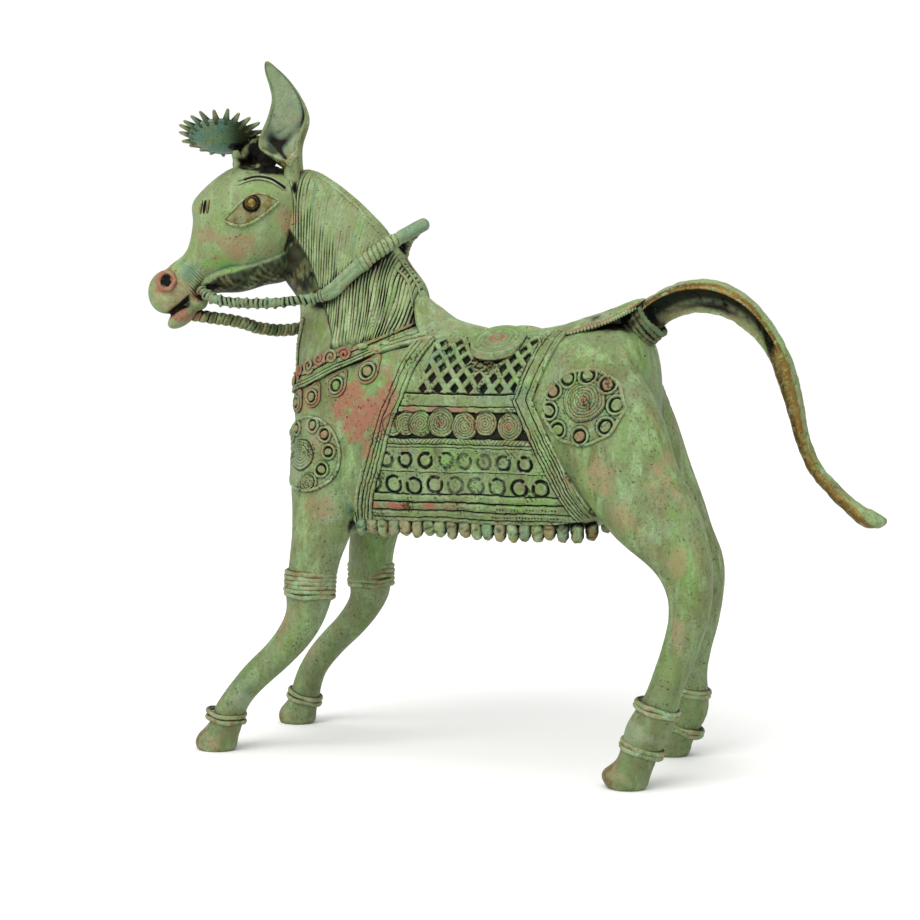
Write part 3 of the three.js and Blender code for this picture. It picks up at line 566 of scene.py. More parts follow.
def neighbour_mean(values: Array, edges: Array, times: int) -> Array:
    """Values on a mesh, each replaced a number of times by the mean of its neighbours and itself.

    Args:
        values: one row for each point.
        edges: the numbers of each edge's two points.
        times: how many times.

    Returns:
        The averaged values.
    """
    count, axes = values.shape
    ends = np.concatenate([edges, edges[:, ::-1]])
    degree = np.bincount(ends[:, 0], minlength=count) + 1
    for _ in range(times):
        sums = np.stack([np.bincount(ends[:, 0], values[ends[:, 1], k], count) for k in range(axes)], -1)
        values = (sums + values) / degree[:, None]
    return values


PUFF = 0.918  # how far the melted skin is pushed back out, of each step that drew it in


def fused(shapes: list[Shape], cell: float, rounds: int) -> Shape:
    """Shapes melted into one skin, as wax pieces are before casting.

    The shapes are joined on a grid of cubes of the cell's size, and the skin is then smoothed by
    averaging each point with its neighbours, one round out for each round in, so it keeps its size.

    Args:
        shapes: closed shapes that run into one another.
        cell: the size of a cube, in millimetres.
        rounds: how many times the skin is averaged.

    Returns:
        The skin.
    """
    rough = mesh_of("rough", joined(shapes), 1.0, np.zeros(3))
    lump = bpy.data.objects.new("rough", rough)
    bpy.context.scene.collection.objects.link(lump)
    melt = lump.modifiers.new("melt", "REMESH")
    melt.mode = "VOXEL"
    melt.voxel_size = cell
    baked = bpy.data.meshes.new_from_object(lump.evaluated_get(bpy.context.evaluated_depsgraph_get()))
    points = np.empty(len(baked.vertices) * 3)
    baked.vertices.foreach_get("co", points)
    corners = np.empty(len(baked.loops), np.int64)
    baked.loops.foreach_get("vertex_index", corners)
    edges = np.empty(len(baked.edges) * 2, np.int64)
    baked.edges.foreach_get("vertices", edges)
    points, edges = points.reshape(-1, 3), edges.reshape(-1, 2)
    for _ in range(rounds):
        points = neighbour_mean(points, edges, 1)
        points = points - PUFF * (neighbour_mean(points, edges, 1) - points)
    bpy.data.objects.remove(lump)
    bpy.data.meshes.remove(baked)
    bpy.data.meshes.remove(rough)
    return Shape(points, [corners.reshape(-1, 4)])


def mesh_of(name: str, shape: Shape, scale: float, shift: Array) -> bpy.types.Mesh:
    """A Blender mesh of a shape, moved and then scaled.

    Args:
        name: the mesh's name.
        shape: the shape, in millimetres.
        scale: what the points are multiplied by, last.
        shift: what is added to the drawing frame's points.

    Returns:
        The mesh.
    """
    mesh = bpy.data.meshes.new(name)
    sizes = np.concatenate([np.full(len(block), block.shape[1]) for block in shape.faces])
    corners = np.concatenate([block.ravel() for block in shape.faces])
    mesh.vertices.add(len(shape.points))
    mesh.vertices.foreach_set("co", ((shape.points + shift) * scale).astype(np.float32).ravel())
    mesh.loops.add(len(corners))
    mesh.loops.foreach_set("vertex_index", corners.astype(np.int32))
    mesh.polygons.add(len(sizes))
    mesh.polygons.foreach_set("loop_start", np.concatenate([[0], np.cumsum(sizes)[:-1]]).astype(np.int32))
    mesh.polygons.foreach_set("use_smooth", np.ones(len(sizes), bool))
    mesh.update(calc_edges=True)
    mesh.validate()
    return mesh


# The body's lofts


@dataclass(frozen=True)
class Loft:
    """A closed body through ovals: x, y, z of the middle, lean in degrees, two half sizes.

    A point at a share of the way along and an angle round is middle + tall * cos(angle) along the
    leaning first axis + wide * sin(angle) aside, with both squared off by the corners' powers.
    """

    rows: tuple[tuple[float, ...], ...]
    turn: float = 0.0
    corner_top: float = 2.0
    corner_foot: float = 2.0

    def at(self, share: Array, angle: Array) -> Array:
        """Points at shares (one for each row) and angles (one for each column, or a full grid).

        Args:
            share: how far along, one for each row.
            angle: how far round, one for each column or each place.

        Returns:
            Points, rows by columns.
        """
        table = np.array(self.rows, float)
        x, y, z, lean = np.moveaxis(blend(table[:, :4], share), -1, 0)[:, :, None]
        tall, wide = half_sizes(table[:, 4:], share)
        lean = np.radians(lean)
        angle = np.broadcast_to(angle, (len(share), np.shape(angle)[-1]))
        cos, sin = np.cos(angle), np.sin(angle)
        power = 2 / np.where(cos > 0, self.corner_top, self.corner_foot)
        along = np.sign(cos) * np.abs(cos) ** power * tall
        aside = np.sign(sin) * np.abs(sin) ** power * wide
        level = along * np.cos(lean)
        return np.stack(
            [
                x + level * math.cos(self.turn) - aside * math.sin(self.turn),
                y + level * math.sin(self.turn) + aside * math.cos(self.turn),
                z + along * np.sin(lean),
            ],
            -1,
        )

    def solid(self, rings: int = 90, sides: int = 48) -> Shape:
        """The whole closed body, with its rings closer together near the ends."""
        return tube(self.at(crowded(rings), turns(sides)))

    def mirrored(self) -> Loft:
        """The same body on the other side of the horse."""
        return Loft(tuple((r[0], -r[1], *r[2:]) for r in self.rows), self.turn, self.corner_top, self.corner_foot)


def upright(rows: tuple[tuple[float, ...], ...], **kind: float) -> Loft:
    """A loft whose ovals all stand upright across the horse: x, z, half height, half width."""
    return Loft(tuple((x, 0, z, 90, tall, wide) for x, z, tall, wide in rows), **kind)


def of_head(rows: tuple[tuple[float, ...], ...], off: float = 0.0) -> Loft:
    """A loft in the turned head: forward of the poll, up, lean, half sizes."""
    placed = tuple((*head_point(u, off, z), lean, tall, wide) for u, z, lean, tall, wide in rows)
    return Loft(placed, HEAD_TURN + math.pi)


def of_leg(rows: tuple[tuple[float, ...], ...]) -> Loft:
    """A leg's loft, its ovals level: x, distance from the middle, z, half depth, half width.

    Args:
        rows: x, distance from the middle, z, half depth and half width of each oval.

    Returns:
        The loft, closed below the sole.
    """
    sole = rows[-1]
    below = (sole[0], sole[1], -5.0, 0, 0)
    return Loft(tuple((x, y, z, 0, tall, wide) for x, y, z, tall, wide in (*rows, below)))


BARREL = upright(
    (
        (-84.5, 122, 0, 0), (-82.5, 122, 22, 12), (-76, 125, 33, 22), (-64, 130, 40, 28.5),
        (-42, 132.8, 41.8, 32), (-15, 133, 41, 32.5), (12, 132.8, 40.3, 32.5), (35, 134.3, 40.3, 33),
        (52, 137.3, 39.3, 31.5), (62, 143, 33, 26), (68.3, 148, 24, 18), (72.2, 150, 0, 0),
    ),
    corner_top=2.15,
    corner_foot=3.2,
)
NECK = Loft(
    (
        (-58, 0, 122, 4, 0, 0), (-57.5, 0, 140, 8, 27, 27), (-56, 0, 163, 12, 28, 25),
        (-56.3, 0, 181.4, 16, 28.9, 20), (-60.1, -1, 193.5, 19, 25, 17), (-68.1, -2, 205, 24, 24.2, 15),
        (-77.5, -3, 217.4, 44, 20.2, 13), (-84.5, -4, 226.3, 63, 15.4, 11), (-91, -5, 234, 75, 0, 0),
    )
)
SKULL = of_head(
    (
        (-3, 230, 84, 0, 0), (2.1, 229.6, 84, 11.3, 12), (10, 226.4, 64, 17.9, 16.5),
        (19.1, 223.1, 58, 22.5, 18.5),
        (31.7, 214.4, 47, 20.9, 16.5), (38, 208.9, 51, 14.2, 12), (43.6, 202.8, 60, 9.8, 8.5),
        (47, 198, 64, 9.2, 8),
        (51.8, 194.2, 62, 9.2, 8.2), (56, 191.8, 60, 7.8, 7.4), (60.5, 190.8, 60, 5.6, 6),
        (63.6, 190.6, 60, 0, 0),
    )
)
JAW = of_head(
    (
        (52, 190, 90, 0, 0), (45, 193, 90, 4, 6), (36, 196.5, 90, 6.2, 8.5), (26.6, 198.5, 90, 7.8, 10.5),
        (16.5, 201.5, 90, 7.9, 11), (8, 204, 90, 8.5, 10), (-4, 207, 90, 0, 0),
    )
)
NEAR_FORE = of_leg(
    (
        (-62, 19, 132, 0, 0), (-61.5, 20.5, 116, 16, 10.5), (-62, 23.5, 101, 14, 11),
        (-62.5, 26, 91, 12.3, 10.8),
        (-65, 27, 80, 10.5, 10), (-67, 27.5, 68, 9.8, 9.5), (-68, 28, 60, 8.6, 8.5),
        (-71.1, 29, 52.6, 8.7, 7.8),
        (-76.7, 30, 44.9, 9, 7.3), (-85.3, 31, 36.4, 9.2, 7), (-95.5, 32, 26, 7.6, 6.4),
        (-101.3, 32.3, 18.5, 7, 6.4),
        (-104, STANCE, 11.5, 7.2, 6.6), (-108, STANCE, 5.5, 9, 7.4), (-108.8, STANCE, 0.5, 8.6, 7.2),
    )
).mirrored()
FAR_FORE = of_leg(
    (
        (-62, 19, 132, 0, 0), (-61.5, 20.5, 116, 16, 10.5), (-62, 23.5, 101, 14, 11),
        (-63.5, 26, 89, 11, 10.8),
        (-65.4, 26.5, 79, 9.8, 10), (-66.4, 27, 68, 9.3, 9.5), (-67.2, 28, 59.5, 8.4, 8.5),
        (-73.2, 29, 50.4, 8.6, 7.8),
        (-81.6, 30, 41.8, 9, 7.3), (-89.6, 31, 34, 8.1, 7), (-96.8, 32, 25, 6.8, 6.4),
        (-100, 32.3, 18, 6.5, 6.4),
        (-102, STANCE, 11, 6.9, 6.6), (-105, STANCE, 5.5, 8.4, 7.4), (-105.4, STANCE, 0.5, 8.2, 7.2),
    )
)
NEAR_HIND = of_leg(
    (
        (47, 14, 173, 0, 0), (49, 15.5, 160, 19, 12), (55, 19, 142, 25, 14.5), (64.4, 22.5, 122, 23.2, 14),
        (75.5, 26, 107, 21.5, 12.5), (83.3, 28, 95, 17.9, 11), (91.7, 29.5, 84.5, 11.9, 9.6),
        (94.9, 30, 75.5, 8.8, 8.6), (94.9, 30.5, 66, 7.7, 8), (92.4, 31, 56, 7.2, 7.4),
        (88.9, 31.5, 45.6, 7, 7), (85.3, 32, 36, 7, 7),
        (81.2, STANCE, 26, 9.0, 8.2), (79.2, STANCE, 20.5, 8.9, 8.1), (75.5, STANCE, 11.5, 7.6, 7),
        (71.2, STANCE, 5.5, 9.6, 7.6), (71.3, STANCE, 0.5, 7.8, 7),
    )
).mirrored()
FAR_HIND = of_leg(
    (
        (43, 14, 173, 0, 0), (45, 15.5, 160, 19, 12), (50, 19, 142, 22.5, 14.5), (58.5, 22.5, 122, 20, 14),
        (65.2, 26, 107, 18, 12.5), (72.1, 28, 95, 14.5, 11), (79.4, 29.5, 84.5, 11, 9.6),
        (83.1, 30, 75.5, 8.3, 8.6),
        (82.8, 30.5, 66, 7.8, 8), (81.2, 31, 55, 7.3, 7.4), (78.6, 31.5, 44.6, 7, 7), (77, 32, 34, 6.8, 7),
        (76.6, STANCE, 22.5, 7.9, 7.8), (75.4, STANCE, 16.5, 7.9, 7.8), (73.5, STANCE, 11.5, 7.2, 7),
        (69, STANCE, 5.5, 8.6, 7.6), (68.5, STANCE, 0.5, 7.8, 7),
    )
)

EAR_OFF = 9.0  # an ear's distance to the side of the head's middle
EAR = (
    (5, 232, 0, 0, 0), (4.8, 236, 0, 3.6, 2.6), (4.9, 241.7, 0, 3.7, 2.6), (7.3, 245.5, 0, 5.8, 3),
    (9.8, 249.5, 0, 8.2, 3), (9.6, 254, 0, 8.6, 2.8), (6.6, 262.5, 0, 8.1, 2.4), (6.5, 269.6, 0, 6.4, 2),
    (8.6, 275, 0, 5.2, 1.7), (11, 279.2, 0, 4.1, 1.5), (13.4, 282.9, 0, 2.4, 1.3), (14.8, 285.6, 0, 0, 0),
)
TAIL = Loft(
    (
        (60, 0, 165, 130, 0, 0), (63, 0, 172, 112, 6.6, 7), (69.1, 0, 179.5, 112, 6.3, 6.5),
        (75.5, 0, 184, 112, 6, 6.2), (83.5, 0, 186.9, 108, 6.2, 6), (92, 0, 187.4, 94, 6.4, 6),
        (99.5, 0, 185.6, 78, 6.2, 5.8),
        (107.5, 0, 181, 62, 5.4, 5.5), (114.5, 0, 174, 45, 4.4, 5), (120.5, 0, 164.5, 32, 3.9, 4.6),
        (124.4, 0, 154.5, 22, 3.9, 4.2), (127.6, 0, 143.5, 18, 3.3, 3.8), (130.2, 0, 132.5, 25, 2.8, 3.5),
        (134.8, 0, 122, 38, 2.8, 3.3), (142, 0, 113.8, 50, 2.8, 3.3), (149.5, 0, 107, 54, 3, 3.8),
        (155.5, 0, 103.2, 60, 3.6, 5), (160, 0, 101.9, 66, 2.4, 4.5), (162.3, 0, 101.9, 70, 0, 0),
    )
)
SADDLE = (  # x, z of the middle, half thickness, half width, how far its edges droop
    (-30.5, 189.5, 0, 0, 0), (-28.5, 188.5, 1.5, 9, 6), (-23, 184, 1.5, 15, 11), (-14, 178, 1.5, 17.5, 10),
    (-5, 175, 1.5, 17, 7), (6, 173.2, 1.5, 15.5, 5), (18, 173.2, 1.5, 15, 4.5), (30, 174.4, 1.5, 14.5, 4),
    (42, 177.6, 1.5, 14, 4), (54, 181.2, 1.5, 13, 4), (63, 184.6, 1.5, 11, 3), (68.5, 186, 0, 0, 0),
)
REIN_NEAR = (
    (-119.5, -25.5, 192), (-109.9, -29, 187.4), (-98.6, -28, 185.7), (-85.6, -26, 185.6), (-73, -23.5, 186.8),
    (-64.9, -21.5, 188), (-58.5, -20.5, 190.8), (-54.4, -19.5, 194.8), (-46.3, -17.5, 202), (-39.2, -13.5, 208.1),
    (-34.6, -9, 211.9), (-30.2, -4, 215.7), (-26, 0, 218.6),
)
REIN_FAR = (
    (-128.5, -22, 181.5), (-118.2, -15, 179.8), (-109, -10, 178.1), (-103.3, -3, 175.6), (-96.2, 6, 174.8),
    (-88, 14, 177), (-78, 18.5, 181.5), (-66, 19.5, 187), (-56, 19, 193), (-47, 16.5, 202), (-42.5, 11.5, 208.8),
    (-36.5, 4, 213.2), (-30, -1, 216),
)


# Maps of the skin


@dataclass
class RoundMap:
    """The skin as seen from a straight axis: its distance at each place along and each angle round.

    A point is axis start + along * axis + distance * (cos(angle) * zero + sin(angle) * quarter).
    """

    start: Array
    axis: Array
    zero: Array
    quarter: Array
    span: tuple[float, float]
    reach: float
    cell: float = 1.5
    steps: int = 200
    table: Array = field(default_factory=lambda: np.zeros((0, 0)))

    def measure(self, points: Array) -> RoundMap:
        """Fills the table with the largest distance in each cell, then its gaps, then smooths it.

        Args:
            points: the points of the skin.

        Returns:
            This map.
        """
        local = points - self.start
        along, a, b = local @ self.axis, local @ self.zero, local @ self.quarter
        far = np.hypot(a, b)
        keep = (far < self.reach) & (along > self.span[0]) & (along < self.span[1])
        rows = int((self.span[1] - self.span[0]) / self.cell) + 1
        table = np.zeros((rows, self.steps))
        i = ((along[keep] - self.span[0]) / self.cell).astype(int)
        j = ((np.arctan2(b, a)[keep] / (2 * math.pi)) % 1 * self.steps).astype(int) % self.steps
        np.maximum.at(table, (i, j), far[keep])
        for _ in range(6):
            table = np.where(table > 0, table, largest_near(table))
        for _ in range(2):
            table = sum(np.roll(table, d, 1) for d in (-1, 0, 1)) / 3
            table[1:-1] = (table[:-2] + table[1:-1] + table[2:]) / 3
        self.table = table
        return self

    def distance(self, along: Array, angle: Array) -> Array:
        """The skin's distance from the axis, on a smooth surface through the table."""
        turn = (angle / (2 * math.pi)) % 1 * self.steps
        return read_table(self.table, (along - self.span[0]) / self.cell, turn, True)

    def spoke(self, angle: Array) -> Array:
        """The directions away from the axis at angles."""
        return np.cos(angle)[..., None] * self.zero + np.sin(angle)[..., None] * self.quarter

    def point(self, along: Array, angle: Array) -> Array:
        """Points on the skin."""
        far = self.distance(along, angle)
        return self.start + np.asarray(along)[..., None] * self.axis + far[..., None] * self.spoke(angle)

    def normal(self, along: Array, angle: Array) -> Array:
        """The skin's outward direction, from small steps along and round.

        Args:
            along: how far along the axis.
            angle: how far round it.

        Returns:
            One unit vector for each place.
        """
        step = 0.5
        turn = step / 40
        d_along = self.point(along + step, angle) - self.point(along - step, angle)
        d_round = self.point(along, angle + turn) - self.point(along, angle - turn)
        return facing(unit(np.cross(d_along, d_round)), self.spoke(angle))

    def angle(self, along: Array, rise: Array, side: Side) -> Array:
        """The angle at which the skin has risen so far in the zero direction, by repeated correction.

        Args:
            along: how far along the axis.
            rise: how far out the skin is in the zero direction.
            side: which side of the horse.

        Returns:
            The angles, negative on the near side.
        """
        angle = np.full(np.broadcast(along, rise).shape, math.pi / 2)
        for _ in range(12):
            far = self.distance(along, side.value * angle)
            angle = 0.5 * angle + 0.5 * np.arccos(np.clip(rise / far, -1, 1))
        return side.value * angle

    def both(self, along: Array, angle: Array) -> tuple[Array, Array]:
        """The skin's points and outward directions."""
        return self.point(along, angle), self.normal(along, angle)


class Flank:
    """The trunk's skin about a level axis through the barrel, read by x and z on one side."""

    AXIS_Z = 133.0

    def __init__(self, skin: Array) -> None:
        """Measures the skin's points round the axis.

        Args:
            skin: the points of the skin.
        """
        self.map = RoundMap(
            np.array([0, 0, self.AXIS_Z]), np.array([1.0, 0, 0]), UP, np.array([0, 1.0, 0]),
            (-90.0, 76.0), 52.0,
        ).measure(skin)

    def angle(self, x: Array, z: Array, side: Side) -> Array:
        """The angle at which the skin is at a height."""
        return self.map.angle(x, z - self.AXIS_Z, side)

    def at(self, x: Array, z: Array, side: Side) -> tuple[Array, Array]:
        """The skin's points and outward directions at x and z."""
        x, z = np.broadcast_arrays(np.asarray(x, float), np.asarray(z, float))
        return self.map.both(x, self.angle(x, z, side))


class Chest:
    """The chest and the foot of the neck, about an upright axis."""

    AXIS_X = -50.0

    def __init__(self, skin: Array) -> None:
        """Measures the skin's points round the axis.

        Args:
            skin: the points of the skin.
        """
        self.map = RoundMap(
            np.array([self.AXIS_X, 0, 0]), UP, np.array([-1.0, 0, 0]), np.array([0, 1.0, 0]),
            (90.0, 200.0), 48.0,
        ).measure(skin)

    def at(self, x: Array, z: Array, side: Side) -> tuple[Array, Array]:
        """The skin's points and outward directions at x and z."""
        x, z = np.broadcast_arrays(np.asarray(x, float), np.asarray(z, float))
        return self.map.both(z, self.map.angle(z, self.AXIS_X - x, side))


# The finish


def linear(colour: str) -> tuple[float, float, float, float]:
    """An sRGB hex colour as linear values with full alpha."""
    parts = [int(colour[k : k + 2], 16) / 255 for k in (1, 3, 5)]
    return (*(c / 12.92 if c <= 0.04045 else ((c + 0.055) / 1.055) ** 2.4 for c in parts), 1.0)


def add(tree: bpy.types.NodeTree, kind: str, inputs: dict | None = None, **settings: object) -> bpy.types.Node:
    """A new node with its settings, and its inputs set to values or linked to other nodes' outputs.

    Args:
        tree: the material's node tree.
        kind: the node's type.
        inputs: input name or number to a value or to an output socket.
        settings: the node's own properties.

    Returns:
        The node.
    """
    made = tree.nodes.new(kind)
    for name, value in settings.items():
        setattr(made, name, value)
    for name, value in (inputs or {}).items():
        if isinstance(value, bpy.types.NodeSocket):
            tree.links.new(value, made.inputs[name])
        else:
            made.inputs[name].default_value = value
    return made


@dataclass(frozen=True)
class PatinatedBrass:
    """Lost-wax cast brass with a painted-on green patina, rubbed back on the high edges.

    The patina is matt and cloudy: sage green with olive, leaf green and mint, blue-green beside the
    recesses and near black in them, where it pooled, and worn to brown and to yellow metal. The near
    black is also painted shade where the surface is shut in, the upper part is painted lighter and the
    lower part darker as painted light and shade, and the high edges are lightened as wear and painted
    highlight.
    """

    sage: str = "#667A4C"
    olive: str = "#59602F"
    leaf: str = "#5F8535"
    mint: str = "#86A36F"
    grey: str = "#7A866A"
    teal: str = "#2C6557"
    brown: str = "#735A35"
    tan: str = "#8A7150"
    copper: str = "#84543B"
    # Near black of the pooled patina, also used for the painted shade.
    soot: str = "#0A0D0D"
    umber: str = "#2A2012"
    brass: str = "#705A2E"
    frost: str = "#93B59B"
    # Painted light, also the pale streaks of the mane's threads.
    light: str = "#9AA878"
    fresh: str = "#68923C"
    shadow: str = "#4A5530"
    casting_mm: float = 0.7  # the grain left by the clay mould
    casting_deep_mm: float = 0.3
    hand_mm: float = 3.2  # the unevenness left by the hand that modelled the wax
    hand_deep_mm: float = 0.8
    matt: float = 0.62  # roughness of the patina
    rubbed: float = 0.36  # roughness of the bare metal
    shine: float = 0.5  # specular level of the patina
    shine_in_dirt_and_shade: float = 0.08
    marks: tuple = ("hollow", "shade", "copper", "brass", "teal", "tan", "pale", "leaf", "light")
    zones: tuple = (  # a name, the height in metres or the mark that it is read from, where it is 0 and where 1
        # upper and below_poll bound the painted light on the upper part, lower the painted shade on the lower part, and
        # ridge the edges lightened as wear and painted highlight.
        ("upper", "height", 0.17, 0.2), ("below_poll", "height", 0.242, 0.236),
        ("lower", "height", 0.095, 0.03),
        ("recess", "hollow", 0.5, 0.72), ("ridge", "hollow", 0.42, 0.2), ("deep", "hollow", 0.55, 0.7),
    )
    noise_rough: float = 0.62
    noise_warp: float = 0.6

    def build(self) -> bpy.types.Material:
        """The material, which reads each piece's marks as attributes.

        Returns:
            The material.
        """
        material = bpy.data.materials.new("Brass, lost-wax cast, green patina")
        material.use_nodes = True
        tree = material.node_tree
        tree.nodes.clear()
        place = add(tree, "ShaderNodeTexCoord").outputs["Object"]
        run = add(tree, "ShaderNodeMapping", {"Vector": place, "Scale": (1.5, 1.5, 0.55)}).outputs[0]
        at = {name: add(tree, "ShaderNodeAttribute", attribute_name=name).outputs["Fac"] for name in self.marks}
        at["height"] = add(tree, "ShaderNodeSeparateXYZ", {0: place}).outputs["Z"]
        for name, source, low, high in self.zones:
            at[name] = add(
                tree, "ShaderNodeMapRange", {"Value": at[source], "From Min": low, "From Max": high}
            ).outputs[0]

        def cloud(size_mm: float, low: float, high: float, detail: float = 4.0,
                  where: bpy.types.NodeSocket = place) -> bpy.types.NodeSocket:
            """A soft-edged cloud pattern of a size in millimetres, between two noise levels.

            Args:
                size_mm: the size of the pattern.
                low: the noise level where it begins.
                high: the level where it is whole.
                detail: how finely it is broken up.
                where: the coordinates that it reads.

            Returns:
                Its output, from 0 to 1.
            """
            noise = add(tree, "ShaderNodeTexNoise", {
                "Vector": where, "Scale": 1 / (size_mm * MM), "Detail": detail, "Roughness": self.noise_rough,
                "Distortion": self.noise_warp,
            }).outputs["Fac"]
            return add(tree, "ShaderNodeMapRange", {"Value": noise, "From Min": low, "From Max": high}).outputs[0]

        def share(*limits: bpy.types.NodeSocket | float) -> bpy.types.NodeSocket:
            """How much of a layer shows: its limits multiplied, each product kept between 0 and 1.

            Args:
                limits: what each limit lets through; the first is an output.

            Returns:
                The share's output.
            """
            product = limits[0]
            for limit in limits[1:]:
                product = add(
                    tree, "ShaderNodeMath", {0: product, 1: limit}, operation="MULTIPLY", use_clamp=True
                ).outputs[0]
            return product

        bluish = add(tree, "ShaderNodeMath", {0: share(at["teal"], 0.85), 1: share(at["recess"], cloud(5, 0.42, 0.6))},
                     operation="MAXIMUM").outputs[0]
        metal = share(at["brass"], cloud(2.4, 0.32, 0.54, 6))
        layers = (  # from the lowest: a colour, and how much of it shows
            (self.olive, share(cloud(24, 0.4, 0.6), 0.9)),
            (self.leaf, share(cloud(17, 0.47, 0.66, 5, run), 0.8)),
            (self.mint, share(cloud(9, 0.48, 0.7, 6, run), 0.85)),
            (self.grey, share(cloud(13, 0.5, 0.72, 5), 0.65)),
            (self.brown, share(cloud(8, 0.53, 0.73, 7, run), 0.65)),
            (self.olive, share(cloud(1.3, 0.47, 0.64, 4), 0.55)),
            (self.umber, share(cloud(2.6, 0.55, 0.73, 8, run), 0.6)),
            (self.frost, share(cloud(4.4, 0.56, 0.76, 8, run), 0.35)),
            # Painted light: the upper part, below the poll, is lightened.
            (self.light, share(at["upper"], at["below_poll"], 0.2)),
            (self.shadow, share(at["lower"], 0.36)),
            (self.grey, share(at["pale"], 0.7)),
            (self.fresh, share(at["leaf"], cloud(5, 0.25, 0.65, 6))),
            # On the ridges: mint and frost as rubbed patina and painted highlight, tan as wear.
            (self.mint, share(at["ridge"], cloud(4, 0.35, 0.6), 0.5)),
            (self.tan, share(at["ridge"], cloud(6, 0.45, 0.62), 0.6)),
            (self.frost, share(at["ridge"], cloud(3.5, 0.5, 0.66, 6), 0.45)),
            (self.teal, bluish),
            (self.tan, share(at["tan"], cloud(4, 0.2, 0.6, 6))),
            # Painted light, and the mane's pale streaks, where their mark is set.
            (self.light, share(at["light"], cloud(3.5, 0.25, 0.6, 6))),
            (self.copper, share(at["copper"], cloud(3, 0.2, 0.5, 7))),
            (self.brass, metal),
        )
        colour = linear(self.sage)
        for upper, shows in layers:
            mixed = add(tree, "ShaderNodeMix", {0: shows, 6: colour, 7: linear(upper)}, data_type="RGBA")
            colour = mixed.outputs[2]
        # The near-black layer: patina pooled in hollows (deep), painted shade where the surface is shut in (shade), and
        # random pits.
        pooled_and_shade = add(tree, "ShaderNodeMath", {0: at["deep"], 1: at["shade"]}, operation="MAXIMUM").outputs[0]
        pooled_and_shade = share(pooled_and_shade, cloud(1.7, 0.05, 0.36, 6))
        pits = share(cloud(0.9, 0.6, 0.68, 2), cloud(9, 0.37, 0.58), 0.85)
        dirt_and_shade = add(tree, "ShaderNodeMath", {0: pooled_and_shade, 1: pits}, operation="MAXIMUM").outputs[0]
        soot = {0: cloud(6, 0.45, 0.75), 6: linear(self.soot), 7: linear(self.umber)}
        soot = add(tree, "ShaderNodeMix", soot, data_type="RGBA").outputs[2]
        colour = add(tree, "ShaderNodeMix", {0: dirt_and_shade, 6: colour, 7: soot}, data_type="RGBA").outputs[2]
        shine = {"Value": dirt_and_shade, "To Min": self.shine, "To Max": self.shine_in_dirt_and_shade}
        rough = {"Value": metal, "To Min": self.matt, "To Max": self.rubbed}

        bump = {}
        for size, deep, detail, noise_rough, strength in (
            (self.casting_mm, self.casting_deep_mm, 4.0, 0.65, 0.9),
            (self.hand_mm, self.hand_deep_mm, 3.0, 0.5, 0.6),
        ):
            height = add(tree, "ShaderNodeTexNoise", {
                "Vector": place, "Scale": 1 / (size * MM), "Detail": detail, "Roughness": noise_rough,
            }).outputs["Fac"]
            raised = {"Height": height, "Strength": strength, "Distance": deep * MM, **bump}
            bump = {"Normal": add(tree, "ShaderNodeBump", raised).outputs["Normal"]}
        shader = add(tree, "ShaderNodeBsdfPrincipled", {
            "Base Color": colour, "Metallic": metal, **bump,
            "Roughness": add(tree, "ShaderNodeMapRange", rough).outputs[0],
            "Specular IOR Level": add(tree, "ShaderNodeMapRange", shine).outputs[0],
        })
        add(tree, "ShaderNodeOutputMaterial", {"Surface": shader.outputs[0]})
        return material


class Stain(Enum):
    """What a patch on the horse shows: metal and colours through its patina, painted light, and dark grime that in
    places is painted shade.
    """

    COPPER = "copper"
    BRASS = "brass"
    TAN = "tan"
    # Dark grime, in places painted shade.
    SOOT = "grime"
    TEAL = "teal"
    PALE = "pale"
    LEAF = "leaf"
    # Painted light.
    LIGHT = "light"


